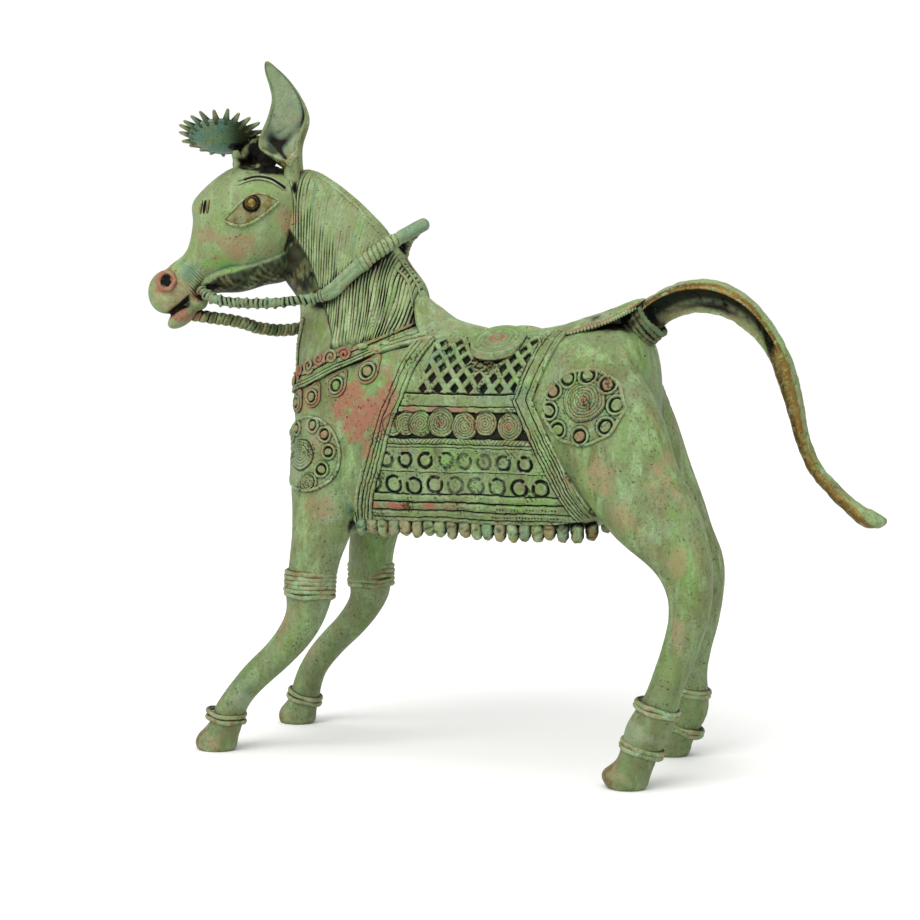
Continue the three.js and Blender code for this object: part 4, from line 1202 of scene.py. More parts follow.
PATCHES = (  # what shows, the middle in the drawing frame, half sizes, strength
    (Stain.COPPER, (-43, -28, 141), (11, 14, 12), 1.0),
    (Stain.COPPER, (-31, -30, 147), (5, 12, 9), 0.9),
    (Stain.COPPER, (-31, -26, 158), (4, 12, 6), 0.6),
    (Stain.COPPER, (-38, -30, 128), (4, 10, 8), 0.7),
    (Stain.TAN, (-60, -30, 104), (7, 12, 7), 0.45),
    (Stain.TAN, (62, -36, 118), (7, 12, 9), 0.75),
    (Stain.TAN, (86, -36, 122), (6, 14, 12), 0.7),
    (Stain.TAN, (70, -36, 104), (6, 12, 7), 0.6),
    (Stain.TAN, (92, -36, 86), (5, 10, 7), 0.6),
    (Stain.TAN, (93, -36, 60), (3, 10, 9), 0.6),
    (Stain.TAN, (66, -28, 166), (5, 12, 6), 0.5),
    (Stain.PALE, (78, -34, 22), (8, 12, 6), 0.9),
    (Stain.COPPER, (82, 34, 68), (5, 9, 8), 0.8),
    (Stain.BRASS, (-114, -33, 5), (7, 9, 7), 1.3),
    (Stain.BRASS, (-110, 32, 5), (7, 9, 5), 1.3),
    (Stain.BRASS, (64, -33, 4), (7, 9, 4.5), 1.3),
    (Stain.BRASS, (62, 32, 4), (7, 9, 4.5), 1.2),
    (Stain.TAN, (-110, -33, 6), (11, 9, 9), 0.6),
    (Stain.TAN, (66, -33, 6), (10, 9, 8), 0.6),
    (Stain.PALE, (-97, -33, 22), (7, 10, 6), 0.9),
    (Stain.LEAF, (30, -33, 107), (14, 9, 5), 0.7),
    (Stain.LEAF, (-3.4, -33, 123.5), (5, 9, 4), 0.55),
    (Stain.LEAF, (-40, -22, 167), (7, 12, 4), 0.8),
    (Stain.LEAF, (88, -33, 50), (8, 9, 12), 0.3),
    (Stain.LEAF, (10, 0, 176), (22, 22, 6), 0.4),
    (Stain.LEAF, (60, -30, 112), (12, 12, 12), 0.35),
    (Stain.TAN, (-66, -30, 146), (8, 12, 6), 0.5),
    (Stain.TAN, (-60, -30, 130), (8, 14, 10), 0.5),
    (Stain.TEAL, (-75, -26, 128), (7, 14, 8), 0.25),
    (Stain.PALE, (-74, -26, 117), (8, 14, 8), 0.6),
    (Stain.TEAL, (-10, -30, 165), (12, 12, 6), 0.3),
    (Stain.TEAL, (20, -30, 150), (16, 12, 4), 0.25),
    (Stain.TAN, (14, -30, 137), (26, 12, 5), 0.35),
    (Stain.BRASS, (-62, 36, 78), (2.5, 12, 2.2), 1.0),
    (Stain.TAN, (-74, -30, 56), (6, 9, 9), 0.55),
    (Stain.TAN, (-92, 32, 34), (7, 9, 9), 0.6),
    (Stain.TEAL, (-94, -32, 30), (6, 9, 6), 0.35),
    (Stain.BRASS, (-81, -9, 194), (5, 8, 6), 0.8),
    (Stain.SOOT, (-84, 0, 188), (7, 9, 12), 0.95),
    # Painted shade under the rear of the seat.
    (Stain.SOOT, (60, 0, 176), (16, 16, 6), 0.95),
    (Stain.SOOT, (66, 0, 176), (9, 11, 7), 0.8),
)
HEAD_PATCHES = (  # the same, with the middle as forward of the poll, toward the near side, and up
    (Stain.TAN, (6.5, 14, 218.5), (4.5, 10, 7), 1.0),
    (Stain.TAN, (27, 14, 208.5), (11, 12, 6), 0.85),
    (Stain.TAN, (39, 8, 214), (6, 10, 5), 0.75),
    (Stain.COPPER, (36, 10, 204.5), (3, 8, 1.6), 0.6),
    (Stain.SOOT, (3.4, 11, 233.5), (1.8, 9, 3.2), 1.1),
    (Stain.TAN, (55, 8, 188), (10, 9, 9), 0.9),
    # Painted light on the muzzle and on the foot of the neck.
    (Stain.LIGHT, (57, 9, 190), (9, 7, 9), 0.55),
    (Stain.LIGHT, (-8, 12, 186), (12, 12, 9), 0.4),
    (Stain.LEAF, (33, 12, 203), (9, 12, 5.5), 1.0),
    (Stain.LEAF, (17.5, 12, 233), (7, 10, 3), 0.6),
    (Stain.TEAL, (48, 8, 199.5), (5, 12, 5), 0.55),
    (Stain.TEAL, (35, 5, 259), (14, 14, 8), 0.5),
    (Stain.BRASS, (36, 6, 192.5), (2.5, 8, 2), 0.9),
    (Stain.COPPER, (57.3, 8, 194.5), (6.5, 6, 6.5), 0.9),
    (Stain.COPPER, (44, 8, 188), (3, 8, 3.5), 0.8),
    (Stain.COPPER, (50, 3, 180.5), (8, 9, 4.5), 0.9),
    (Stain.BRASS, (8, 8, 243.5), (3.5, 7, 4.5), 1.0),
    (Stain.SOOT, (12, 9, 248), (5, 4, 5), 0.8),
    (Stain.SOOT, (18.5, -1, 247), (9.5, 13, 9), 1.4),
    (Stain.SOOT, (16, 2, 241), (8, 12, 3.5), 1.0),
)


@dataclass
class Relief:
    """Wax work as heights over the body on a grid whose places are known in millimetres.

    Each kind of work is a formula of the distance to its line or its middle. A thread adds half of
    a circle, a groove takes the height down to a floor, and both can be found again as grime.
    """

    across: Array
    down: Array
    height: Array
    grime: Array = field(default_factory=lambda: np.zeros(0))
    copper: Array = field(default_factory=lambda: np.zeros(0))

    def __post_init__(self) -> None:
        """Starts with clean wax."""
        self.grime = np.zeros_like(self.height)
        self.copper = np.zeros_like(self.height)

    def uneven(self, size: float, seed: int) -> Array:
        """A hand's unevenness at each place, about -1 to 1."""
        return wander(np.stack([self.across, self.down], -1), size, seed)

    def thread(self, distance: Array, radius: float, seat: float) -> None:
        """Lays a round thread on a seat, where its line is near.

        Args:
            distance: how far each place is from its line.
            radius: its radius.
            seat: the height that it lies on.
        """
        on = np.abs(distance) < radius
        self.height = np.where(on, np.maximum(self.height, seat + cord_height(distance, radius)), self.height)
        beside = ramp(np.abs(distance), radius * 1.45, radius * 1.02) * ~on
        self.grime = np.where(on, self.grime * ramp(np.abs(distance), radius * 0.5, radius), self.grime)
        self.grime = np.maximum(self.grime, beside * 0.75)

    def strip(self, distance: Array, half: float, top: float, inside: Array | bool = True) -> None:
        """Lays a flat strip with round edges.

        Args:
            distance: how far each place is from its line.
            half: half its width.
            top: the height of its top.
            inside: where it may lie.
        """
        edge = min(0.45, half * 0.6)
        t = np.clip((np.abs(distance) - (half - edge)) / edge, 0, 1)
        crown = top - edge * (1 - np.sqrt(1 - t * t))
        on = (np.abs(distance) < half) & inside
        self.height = np.where(on, np.maximum(self.height, crown), self.height)

    def groove(self, distance: Array, half: float, floor: float, soot: float = 1.0,
               inside: Array | float = 1.0) -> None:
        """Presses a groove down to a floor.

        Args:
            distance: how far each place is from its line.
            half: half its width.
            floor: the height of its floor.
            soot: how dark it is.
            inside: where it may lie.
        """
        share = ramp(np.abs(distance), half, half * 0.45) * inside
        self.height = self.height * (1 - share) + floor * share
        pooled_and_shade = soot * (0.85 + 0.4 * self.uneven(3.4, 235))
        self.grime = np.maximum(self.grime, ramp(np.abs(distance), half * 1.05, half * 0.5) * pooled_and_shade * inside)

    def button(self, middle: tuple[float, float], radius: float, base: float, seed: int,
               rim: float = 0.5) -> None:
        """A ring of thread with a groove inside it round a flat pat of wax.

        Args:
            middle: its middle, across and down.
            radius: its radius.
            base: the height of the wax under it.
            seed: picks its unevenness.
            rim: the radius of the thread round it.
        """
        a, b = self.across - middle[0], self.down - middle[1]
        far = np.hypot(a, b) * (1 + 0.05 * self.uneven(radius * 2.2, seed))
        turn = np.arctan2(b, a)
        wide = 0.52 + 0.1 * np.sin(turn * 2 + seed)
        groove = radius - rim - wide
        inner = far < groove
        pat = base + 0.55 + 0.12 * np.sqrt(np.clip(1 - (far / groove) ** 2, 0, 1))
        self.height = np.where(inner, pat, self.height)
        self.groove(far - groove, wide, base - 0.35, 0.9 + 0.3 * np.sin(turn + 2.4 * seed))
        on = np.abs(far - radius) < rim
        self.height = np.where(on, np.maximum(self.height, base + 0.25 + cord_height(far - radius, rim)), self.height)
        self.grime = np.where(on, self.grime * 0.2, self.grime)
        self.grime = np.maximum(self.grime, 0.6 * ramp(np.abs(far - radius - rim - 0.12), 0.3, 0.05))
        self.copper = np.maximum(self.copper, inner * ramp(np.sin(seed * 2.1), -0.2, 0.8) * 0.55)

    def coil(self, middle: tuple[float, float], radius: float, pitch: float, base: float, seed: int) -> None:
        """A pat of thread wound from its middle out: half round ridges on r = pitch * turns.

        Args:
            middle: its middle, across and down.
            radius: its radius.
            pitch: from one turn of the thread to the next.
            base: the height of the wax under it.
            seed: picks its unevenness.
        """
        a, b = self.across - middle[0], self.down - middle[1]
        far = np.hypot(a, b) * (1 + 0.04 * self.uneven(radius, seed))
        turn = far / pitch - np.arctan2(b, a) / (2 * math.pi) + 0.31 * seed
        ridge = half_round(turn)
        crown = base + 0.55 * pitch * ridge + 0.5 * np.clip(1 - (far / radius) ** 2, 0, 1)
        on = far < radius
        self.height = np.where(on, crown, self.height)
        self.grime = np.where(on, ramp(ridge, 0.66, 0.2), self.grime)
        self.grime = np.maximum(self.grime, ramp(np.abs(far - radius - 0.25), 0.4, 0.1) * 0.8)
        rubbed = 0.9 * ramp(far, pitch * 1.4, pitch * 0.7) * (seed % 3 == 0)
        rubbed = rubbed + 0.35 * ramp(self.uneven(3.5, seed), 0.1, 0.6)
        self.copper = np.where(on, rubbed, self.copper)


SINK = 1.2  # how deep the wall round a laid-on piece goes into the body


def cast_skin(relief: Relief) -> None:
    """Adds the lumps and pits that clay leaves in cast wax work, a tenth of a millimetre high.

    Args:
        relief: the wax work.
    """
    relief.height = relief.height + (0.08 * relief.uneven(1.3, 231) + 0.06 * relief.uneven(2.6, 232))
    pits = ramp(relief.uneven(1.5, 233) + relief.uneven(9, 234), 0.95, 1.3)
    relief.grime = np.maximum(relief.grime, 0.8 * pits)


def lay(relief: Relief, points: Array, normals: Array, sink: float = SINK, **others: Array) -> Shape:
    """The relief's grid set on the body, closed with a wall that goes into it.

    Args:
        relief: the heights.
        points: the body's surface on the same grid.
        normals: its outward directions.
        sink: how deep the wall goes.
        others: marks besides the relief's own.

    Returns:
        The closed piece.
    """
    top = points + relief.height[..., None] * normals
    foot = points - sink * normals
    shape = slab(top, foot, {"grime": relief.grime, "copper": relief.copper, **others})
    return shape.facing_out()


def lay_round(relief: Relief, points: Array, normals: Array) -> Shape:
    """The same for a grid of rings round a middle.

    Args:
        relief: the wax work.
        points: the body's surface on the same grid.
        normals: the body's outward directions.

    Returns:
        The closed shape.
    """
    top = points + relief.height[..., None] * normals
    foot = (points - SINK * normals)[-1:]
    shape = tube(np.concatenate([top, foot]))
    for name, values in (("grime", relief.grime), ("copper", relief.copper)):
        rings = np.concatenate([values, values[-1:]])
        shape.marks[name] = with_ends(rings, (values[0].mean(), 0.0))
    return shape


@dataclass
class Cloth:
    """The patterned cloth on one flank, in x and z of the side."""

    side: Side
    rows: int = 284
    cols: int = 316
    angle_top: float = math.radians(15)
    foot_z: float = 98.6
    base: float = 0.95
    front: tuple = ((-22.0, 176.0), (-47.5, 98.0))
    back: tuple = ((41.0, 176.0), (32.5, 147.0), (57.5, 98.0))
    lattice_pitch: tuple[float, float] = (6.5, 8.4)
    lattice_from: tuple[float, float] = (-17.5, 151.0)
    strand: float = 1.08
    coils: tuple = ((-26.2, 136.9, 4.2), (-20.6, 137.6, 4.6), (-14.2, 137.5, 4.9), (-5.4, 138.0, 5.5),
                    (4.6, 136.8, 5.3), (13.4, 138.0, 4.6), (23.6, 137.0, 5.2))
    rings_high: tuple = ((-29.5, 123.0), (-21.1, 123.2), (-12.4, 123.1), (-3.4, 123.4), (4.4, 123), (12.8, 122.8),
                         (21, 122.6), (30, 122.5))
    rings_low: tuple = ((-35.4, 113.8), (-26.6, 113.5), (-17.6, 113.1), (-8.6, 114), (0.2, 113.7), (9, 113.3),
                        (18, 113.3), (27.2, 113.2), (36, 113.2))
    rough: tuple[float, float, float, float] = (9.5, 161.0, 8.0, 4.5)  # a miscast place: x, z, half sizes
    border_front: float = 7.9  # widths of the borders
    border_back: float = 7.3

    def edge(self, line: tuple, z: Array) -> Array:
        """The x of an edge at a height, straight between its corners."""
        xs, zs = zip(*reversed(line))
        return np.interp(z, zs, xs)

    def __post_init__(self) -> None:
        """The far side is plainer and needs fewer points."""
        if self.side is Side.FAR:
            self.rows, self.cols = 110, 120

    def grid(self, flank: Flank) -> tuple[Array, Array, Array, Array]:
        """The angle round and the x of each place of the grid, its z, and the way down from the top.

        Args:
            flank: the skin of the trunk.

        Returns:
            The angles, x, z and the way down, rows by columns.
        """
        low = flank.angle(np.array([0.0]), np.array([self.foot_z]), Side.FAR)[0]
        angle = np.linspace(self.angle_top, low, self.rows)
        level = Flank.AXIS_Z + flank.map.distance(np.zeros(self.rows), angle) * np.cos(angle)
        share = np.linspace(0, 1, self.cols)
        start, end = self.edge(self.front, level), self.edge(self.back, level)
        x = start[:, None] + share * (end - start)[:, None]
        angles = np.broadcast_to(angle[:, None] * self.side.value, x.shape)
        far = flank.map.distance(x, angles)
        z = Flank.AXIS_Z + far * np.cos(angles)
        middle = self.cols // 2
        steps = np.hypot(*(np.gradient(v[:, middle]) for v in (z, far * np.sin(angles))))
        way = np.cumsum(steps)
        return angles, x, z, np.broadcast_to(way[:, None], x.shape)

    def lattice(self, work: Relief, way: Array, inside: Array) -> None:
        """Crossed strands over dark pits: lines where x / pitch + way / pitch is whole, both ways.

        Args:
            work: the relief that is worked on.
            way: the length down the flank at each place.
            inside: where it may lie.
        """
        pitch_x, pitch_way = self.lattice_pitch
        level = np.interp(-self.lattice_from[1], -work.down[:, work.down.shape[1] // 2], way[:, 0])
        a = (work.across - self.lattice_from[0] + 0.35 * work.uneven(14, 31)) / pitch_x
        b = (way - level + 0.35 * work.uneven(14, 32)) / pitch_way
        crossing = 1 / math.hypot(1 / pitch_x, 1 / pitch_way)
        nearest = np.full(a.shape, 9.0)
        for line in (a + b, a - b):
            nearest = np.minimum(nearest, np.minimum(line % 1, 1 - line % 1) * crossing)
        t = np.clip(nearest / self.strand, 0, 1)
        strand = self.base + 0.75 - 0.6 * (1 - np.sqrt(1 - t**3))
        pit = ramp(nearest, self.strand * 0.92, self.strand * 1.25)
        low = 0.2 + 0.08 * work.uneven(5, 33)
        work.height = np.where(inside, strand * (1 - pit) + low * pit, work.height)
        dark = ramp(work.down, 168, 151) * 0.5 + 0.62 + 0.3 * work.uneven(9, 34)
        rim = ramp(nearest, self.strand * 0.9, self.strand * 1.3) * ramp(nearest, crossing * 0.5, self.strand * 1.25)
        work.grime = np.where(inside, np.clip(np.maximum(pit * dark, 0.6 * rim), 0, 1), work.grime)

    def inward(self, work: Relief) -> tuple[Array, Array, Array]:
        """How far each place is from the front and the back edge, and whether it is between the borders.

        Args:
            work: the relief that is worked on.

        Returns:
            The way in from the front, the same from the back, and whether a place is inside.
        """
        from_front = (work.across - self.edge(self.front, work.down)) * 0.95
        upper = work.down > self.back[1][1]
        from_back = (self.edge(self.back, work.down) - work.across) * np.where(upper, 0.955, 0.887)
        return from_front, from_back, (from_front > self.border_front) & (from_back > self.border_back)

    def pattern(self, work: Relief, way: Array) -> None:
        """All rows of the near side's pattern, from the top down.

        Args:
            work: the relief that is worked on.
            way: the length down the flank at each place.
        """
        x, z = work.across, work.down
        z = z + (0.35 * work.uneven(26, 41) + 0.17 * work.uneven(5, 43))
        from_front, from_back, inner = self.inward(work)
        top_field = (from_front > 12.2 - 3 * ramp(z, 160, 170)) & (from_back > 8.2) & (z > 149.3)
        self.lattice(work, way, top_field & (work.down < 170.5))

        bright = 142.9  # the level of the strip that is worn to copper
        work.strip(z - 146.3, 2.4, 1.5, inner)
        work.groove(z - 149.1, 0.45, 0.3, 0.8, inner * 1.0)
        work.strip(z - bright, 1.0, 1.75, inner)
        work.groove(z - 144.0, 0.3, 0.9, 0.6, inner * 1.0)
        rubbed = ramp(np.abs(z - bright), 1.1, 0.8) * ramp(x, 14, 4) * 0.8 * ramp(work.uneven(9, 85), -0.4, 0.4)
        work.copper = np.maximum(work.copper, inner * rubbed)

        pit_field = inner & (z > 131.7) & (z < 141.9)
        work.height = np.where(pit_field, 0.1, work.height)
        work.grime = np.where(pit_field, 0.95, work.grime)
        for k, (cx, cz, radius) in enumerate(self.coils):
            work.coil((cx, cz - 0.2), radius, 1.05, 0.75, 51 + k)

        rope = z - 130.6
        phase = (x + rope * np.sign(np.sin(x * 0.2)) * 0.9) / 1.7
        ply = 0.55 + 0.45 * np.abs(np.sin(math.pi * phase))
        on = inner & (np.abs(rope) < 1.05)
        work.height = np.where(on, self.base + cord_height(rope, 1.05) * ply, work.height)
        work.grime = np.where(on, 0.9 * ramp(ply, 0.78, 0.58), work.grime)
        for level, radius in ((128.8, 0.5), (127.6, 0.45), (119.4, 0.6), (118.2, 0.4)):
            work.thread(np.where(inner, z - level, 9), radius, self.base)
        work.strip(z - 126.7, 0.7, 1.45, inner)

        self.ringed(work, self.rings_high, 3.15, 61, x, z, inner & (z < 126.5) & (z > 119.6))
        self.ringed(work, self.rings_low, 3.55, 71, x, z, inner & (z < 118) & (z > 110.1))
        for level, half in ((110.0, 0.4), (106.7, 0.4), (103.3, 0.35), (100.5, 0.35)):
            work.groove(z - level, half, 0.45, 0.85, inner * (0.75 + 0.25 * work.uneven(9, 81)))
        for level, half in ((108.4, 1.3), (105.0, 1.35), (101.9, 1.15), (99.6, 0.7)):
            work.strip(z - level, half, 1.55, inner)
        for level in (107.6, 104.2):
            work.groove(z - level, 0.18, 1.2, 0.35, inner * ramp(work.uneven(11, 82), -0.3, 0.3))
        for level in (104.9, 101.8):
            stitch = np.hypot((x / 1.25) % 1 - 0.5, (z - level) / 1.25) * 1.25
            at = inner & (x > 14) & (x < 41)
            work.groove(stitch, 0.42, 0.9, 0.8, at * ramp(work.uneven(5, 83), -0.6, 0.1))
        left = ramp(x, 6, -6) * (z > 103.4) * (z < 106.3) * ramp(work.uneven(8, 84), -0.7, 0.3)
        work.copper = np.maximum(work.copper, inner * left)
        self.borders(work, from_front, from_back, z)

    def ringed(self, work: Relief, places: tuple, radius: float, seed: int, x: Array, z: Array, inside: Array) -> None:
        """Ring grooves pressed round flat pats, each open at a place of its own.

        Args:
            work: the relief that is worked on.
            places: the middles of the rings, across and down.
            radius: the radius of a ring.
            seed: picks its unevenness.
            x: how far back each place is.
            z: how high each place is.
            inside: where it may lie.
        """
        kept = work.height, work.grime
        flat = np.full(x.shape, self.base + 0.25)
        work.height, work.grime = flat, np.zeros_like(flat)
        for k, (cx, cz) in enumerate(places):
            a, b = x - cx, z - cz
            far = np.hypot(a, b) * (1 + 0.05 * work.uneven(4, seed + k))
            turn = np.arctan2(b, a)
            opening = math.pi / 2 + 0.9 * math.sin(3.1 * k + seed)
            gap = ramp(apart(turn, opening), 0.0, 0.3) * (0.8 + 0.2 * np.sin(k))
            soot = 0.9 + 0.35 * gap
            if radius < 3.3 and k == 3:
                soot = soot * 0.25
            work.groove(far - (radius - 0.45), 0.84, self.base - 0.55 * gap, soot, gap)
        work.height = np.where(inside, work.height, kept[0])
        work.grime = np.where(inside, work.grime, kept[1])

    def borders(self, work: Relief, from_front: Array, from_back: Array, z: Array) -> None:
        """The threads along the front and the back edges.

        Args:
            work: the relief that is worked on.
            from_front: the way in from the front edge.
            from_back: the way in from the back edge.
            z: how high each place is.
        """
        sway = 0.32 * work.uneven(17, 91) + 0.18 * work.uneven(4.5, 89)
        low = ramp(z, 140, 128)
        for middle, radius in ((0.85, 0.85), (2.5, 0.8), (6.9, 0.75)):
            work.strip(from_front + sway - middle, radius + 0.35, 1.75)
        work.strip(from_front + sway - 4.7, 1.5, 1.6)
        for line, half, soot in ((1.68, 0.3, 0.9), (3.35, 0.32, 0.95), (6.15, 0.3, 0.8), (7.95, 0.35, 0.9)):
            work.groove(from_front + sway - line, half, 0.6, soot, 0.65 + 0.35 * work.uneven(12, 92 + int(line)))
        work.groove(from_front + sway - 4.7, 0.22, 0.8, 0.8, low * 0.9)
        for middle, half in ((1.2, 1.15), (4.3, 1.75), (6.9, 0.7)):
            work.strip(from_back + sway - middle, half, 1.75)
        for line, half, soot in ((2.42, 0.33, 0.95), (6.12, 0.3, 0.8), (7.6, 0.35, 0.95)):
            work.groove(from_back + sway - line, half, 0.6, soot, 0.7 + 0.3 * work.uneven(12, 96 + int(line)))
        for line in (1.25, 3.7, 4.9):
            work.groove(from_back + sway - line, 0.2, 0.8, 0.85, low * (0.8 + 0.2 * work.uneven(8, 99)))
        tinted = ramp(z, 152, 146) * ramp(z, 128, 136) * ramp(from_front, 7.5, 5)
        work.copper = np.maximum(work.copper, tinted * 0.85)

    def plain_pattern(self, work: Relief) -> None:
        """The far side: the same borders, seven single threads and one row of rings.

        Args:
            work: the relief that is worked on.
        """
        x, z = work.across, work.down + 0.3 * work.uneven(26, 42)
        from_front, from_back, inner = self.inward(work)
        for level in (149, 142.5, 131, 119, 110, 103.5, 100.4):
            work.thread(np.where(inner, z - level, 9), 0.7, self.base)
        self.ringed(work, self.rings_low, 3.55, 71, x, z, inner & (z < 118) & (z > 110.8))
        self.borders(work, from_front, from_back, z)

    def shape(self, flank: Flank) -> Shape:
        """The cloth's relief laid on the flank.

        Args:
            flank: the skin of the trunk.

        Returns:
            The closed shape.
        """
        angles, x, z, way = self.grid(flank)
        work = Relief(x, z, np.full(x.shape, self.base))
        gold = np.zeros_like(x)
        if self.side is Side.NEAR:
            self.pattern(work, way)
            cx, cz, hx, hz = self.rough
            worn = ramp(np.hypot((x - cx) / hx, (z - cz) / hz) + 0.25 * work.uneven(4, 101), 1.0, 0.65)
            lumps = 0.9 + 0.55 * work.uneven(1.7, 102) + 0.25 * work.uneven(0.9, 103)
            work.height = work.height * (1 - worn) + lumps * worn
            work.grime = np.maximum(work.grime * (1 - worn), worn * ramp(work.uneven(1.7, 102), 0.15, -0.5))
            gold = worn * ramp(work.uneven(1.4, 106), 0.1, 0.5)
        else:
            self.plain_pattern(work)
        work.height = work.height + 0.07 * work.uneven(6, 105)
        cast_skin(work)
        return lay(work, *flank.map.both(x, angles), brass=gold)

    def fringe(self, flank: Flank) -> Shape:
        """The beads under the hem: grains of rice that hang side by side.

        Args:
            flank: the skin of the trunk.

        Returns:
            The closed shape.
        """
        rng = np.random.default_rng(5)
        count = 21 if self.side is Side.NEAR else 17
        x = np.linspace(-44.5, 56.5, count) + rng.uniform(-0.35, 0.35, count)
        top = flank.at(x, np.full(count, self.foot_z + 0.6), self.side)[0]
        half = np.stack([rng.uniform(2.5, 2.85, count), rng.uniform(2.0, 2.4, count), rng.uniform(3.6, 4.6, count)], -1)
        middles = top + np.stack([0 * x, np.full(count, self.side.value * -0.4), -half[:, 2] * 0.82], -1)
        shape = beads(middles, half, *((20, 14) if self.side is Side.NEAR else (12, 9)))
        place = np.repeat(np.arange(count), len(shape.points) // count)
        middle, half = middles[place], half[place]
        hang = np.clip((middle[:, 2] - shape.points[:, 2]) / half[:, 2], -1, 1)
        shape.points[:, 0] += 0.5 * wander(middle, 7.0, 7) * hang
        shape.points[:, 0] = middle[:, 0] + (shape.points[:, 0] - middle[:, 0]) * (1 - 0.12 * hang)
        local = (shape.points - middle) / half
        up = local[:, 2]
        full = (1 - np.abs(up) ** 3) ** 0.5 / np.maximum(np.sqrt(1 - np.clip(up, -0.99, 0.99) ** 2), 0.14)
        full = np.where(np.hypot(local[:, 0], local[:, 1]) > 0.05, full, 1)
        shape.points[:, :2] = middle[:, :2] + (shape.points - middle)[:, :2] * full[:, None]
        wrinkle = wander(shape.points * np.array([0.5, 0.8, 1.3]), 1.5, 9)
        shape.points += unit(shape.points - middle) * (0.2 * wander(shape.points, 2.2, 8) + 0.2 * wrinkle)[:, None]
        last = ramp(middle[:, 0], 42, 53)
        # Dark where the beads touch their neighbours: painted shade between them.
        touching = np.abs(shape.points[:, 0] - middle[:, 0]) / half[:, 0]
        folds = np.maximum(ramp(hang, -0.45, -0.8), 0.75 * ramp(wrinkle, -0.15, -0.8))
        shape.marks = {
            "grime": np.maximum(ramp(touching, 0.68, 0.98), folds),
            "tan": 0.6 * ramp(np.sin(place * 1.7), 0.1, 0.8),
            "teal": 0.4 * ramp(np.sin(place * 4.1 + 1), 0.3, 0.9),
            "brass": np.maximum(last * ramp(hang, -0.4, 0.6) * 0.9, 0.5 * ramp(wrinkle, 0.4, 0.9)),
            "copper": ramp(hang, 0.1, 0.9) * 0.35 * ramp(np.sin(place * 2.3), -0.3, 0.6),
        }
        return shape


@dataclass
class Rosette:
    """A round plate of wax work on the haunch: ringed pats round a coil, in a wavy rim."""

    side: Side
    middle: tuple[float, float] = (52.8, 144.6)
    half: tuple[float, float] = (16.4, 14.8)
    coil_at: tuple[float, float] = (53.6, 147.1)
    coil: float = 8.0
    pats: tuple = ((46.1, 155.4), (53.9, 156.4), (61.6, 153), (65.9, 145.6), (62.9, 137.4), (53, 133.7), (43.5, 136.1),
                   (39.5, 143.3), (40.5, 150.7))
    pat: float = 3.35
    rings: int = 60
    steps: int = 340
    base: float = 0.55

    def shape(self, flank: Flank) -> Shape:
        """The plate's relief on a grid of rings.

        Args:
            flank: the skin of the trunk.

        Returns:
            The closed shape.
        """
        coarse = 1 if self.side is Side.NEAR else 3
        share = np.linspace(0.004, 1, self.rings // coarse)[:, None]
        turn = turns(self.steps // coarse)[None]
        lobes = 1 + 0.02 * np.cos(9 * turn + 0.6)
        x = self.middle[0] + share * self.half[0] * lobes * np.cos(turn)
        z = self.middle[1] + share * self.half[1] * lobes * np.sin(turn)
        work = Relief(x, z, np.full(x.shape, self.base))
        out = (1 - share) * min(self.half) + 0 * turn
        if self.side is Side.NEAR:
            work.coil(self.coil_at, self.coil, 1.12, 0.7, 3)
            for k, place in enumerate(self.pats):
                work.button(place, self.pat, self.base, 5 + k)
        else:
            work.coil(self.middle, 5.2, 1.3, 0.6, 3)
            work.thread(out - 5.0, 0.6, self.base)
        work.thread(out - 0.75, 0.75, self.base * 0.6)
        work.height = work.height + 0.04 * work.uneven(2.1, 9)
        work.height[-1] = 0.1
        cast_skin(work)
        return lay_round(work, *flank.at(x, z, self.side))


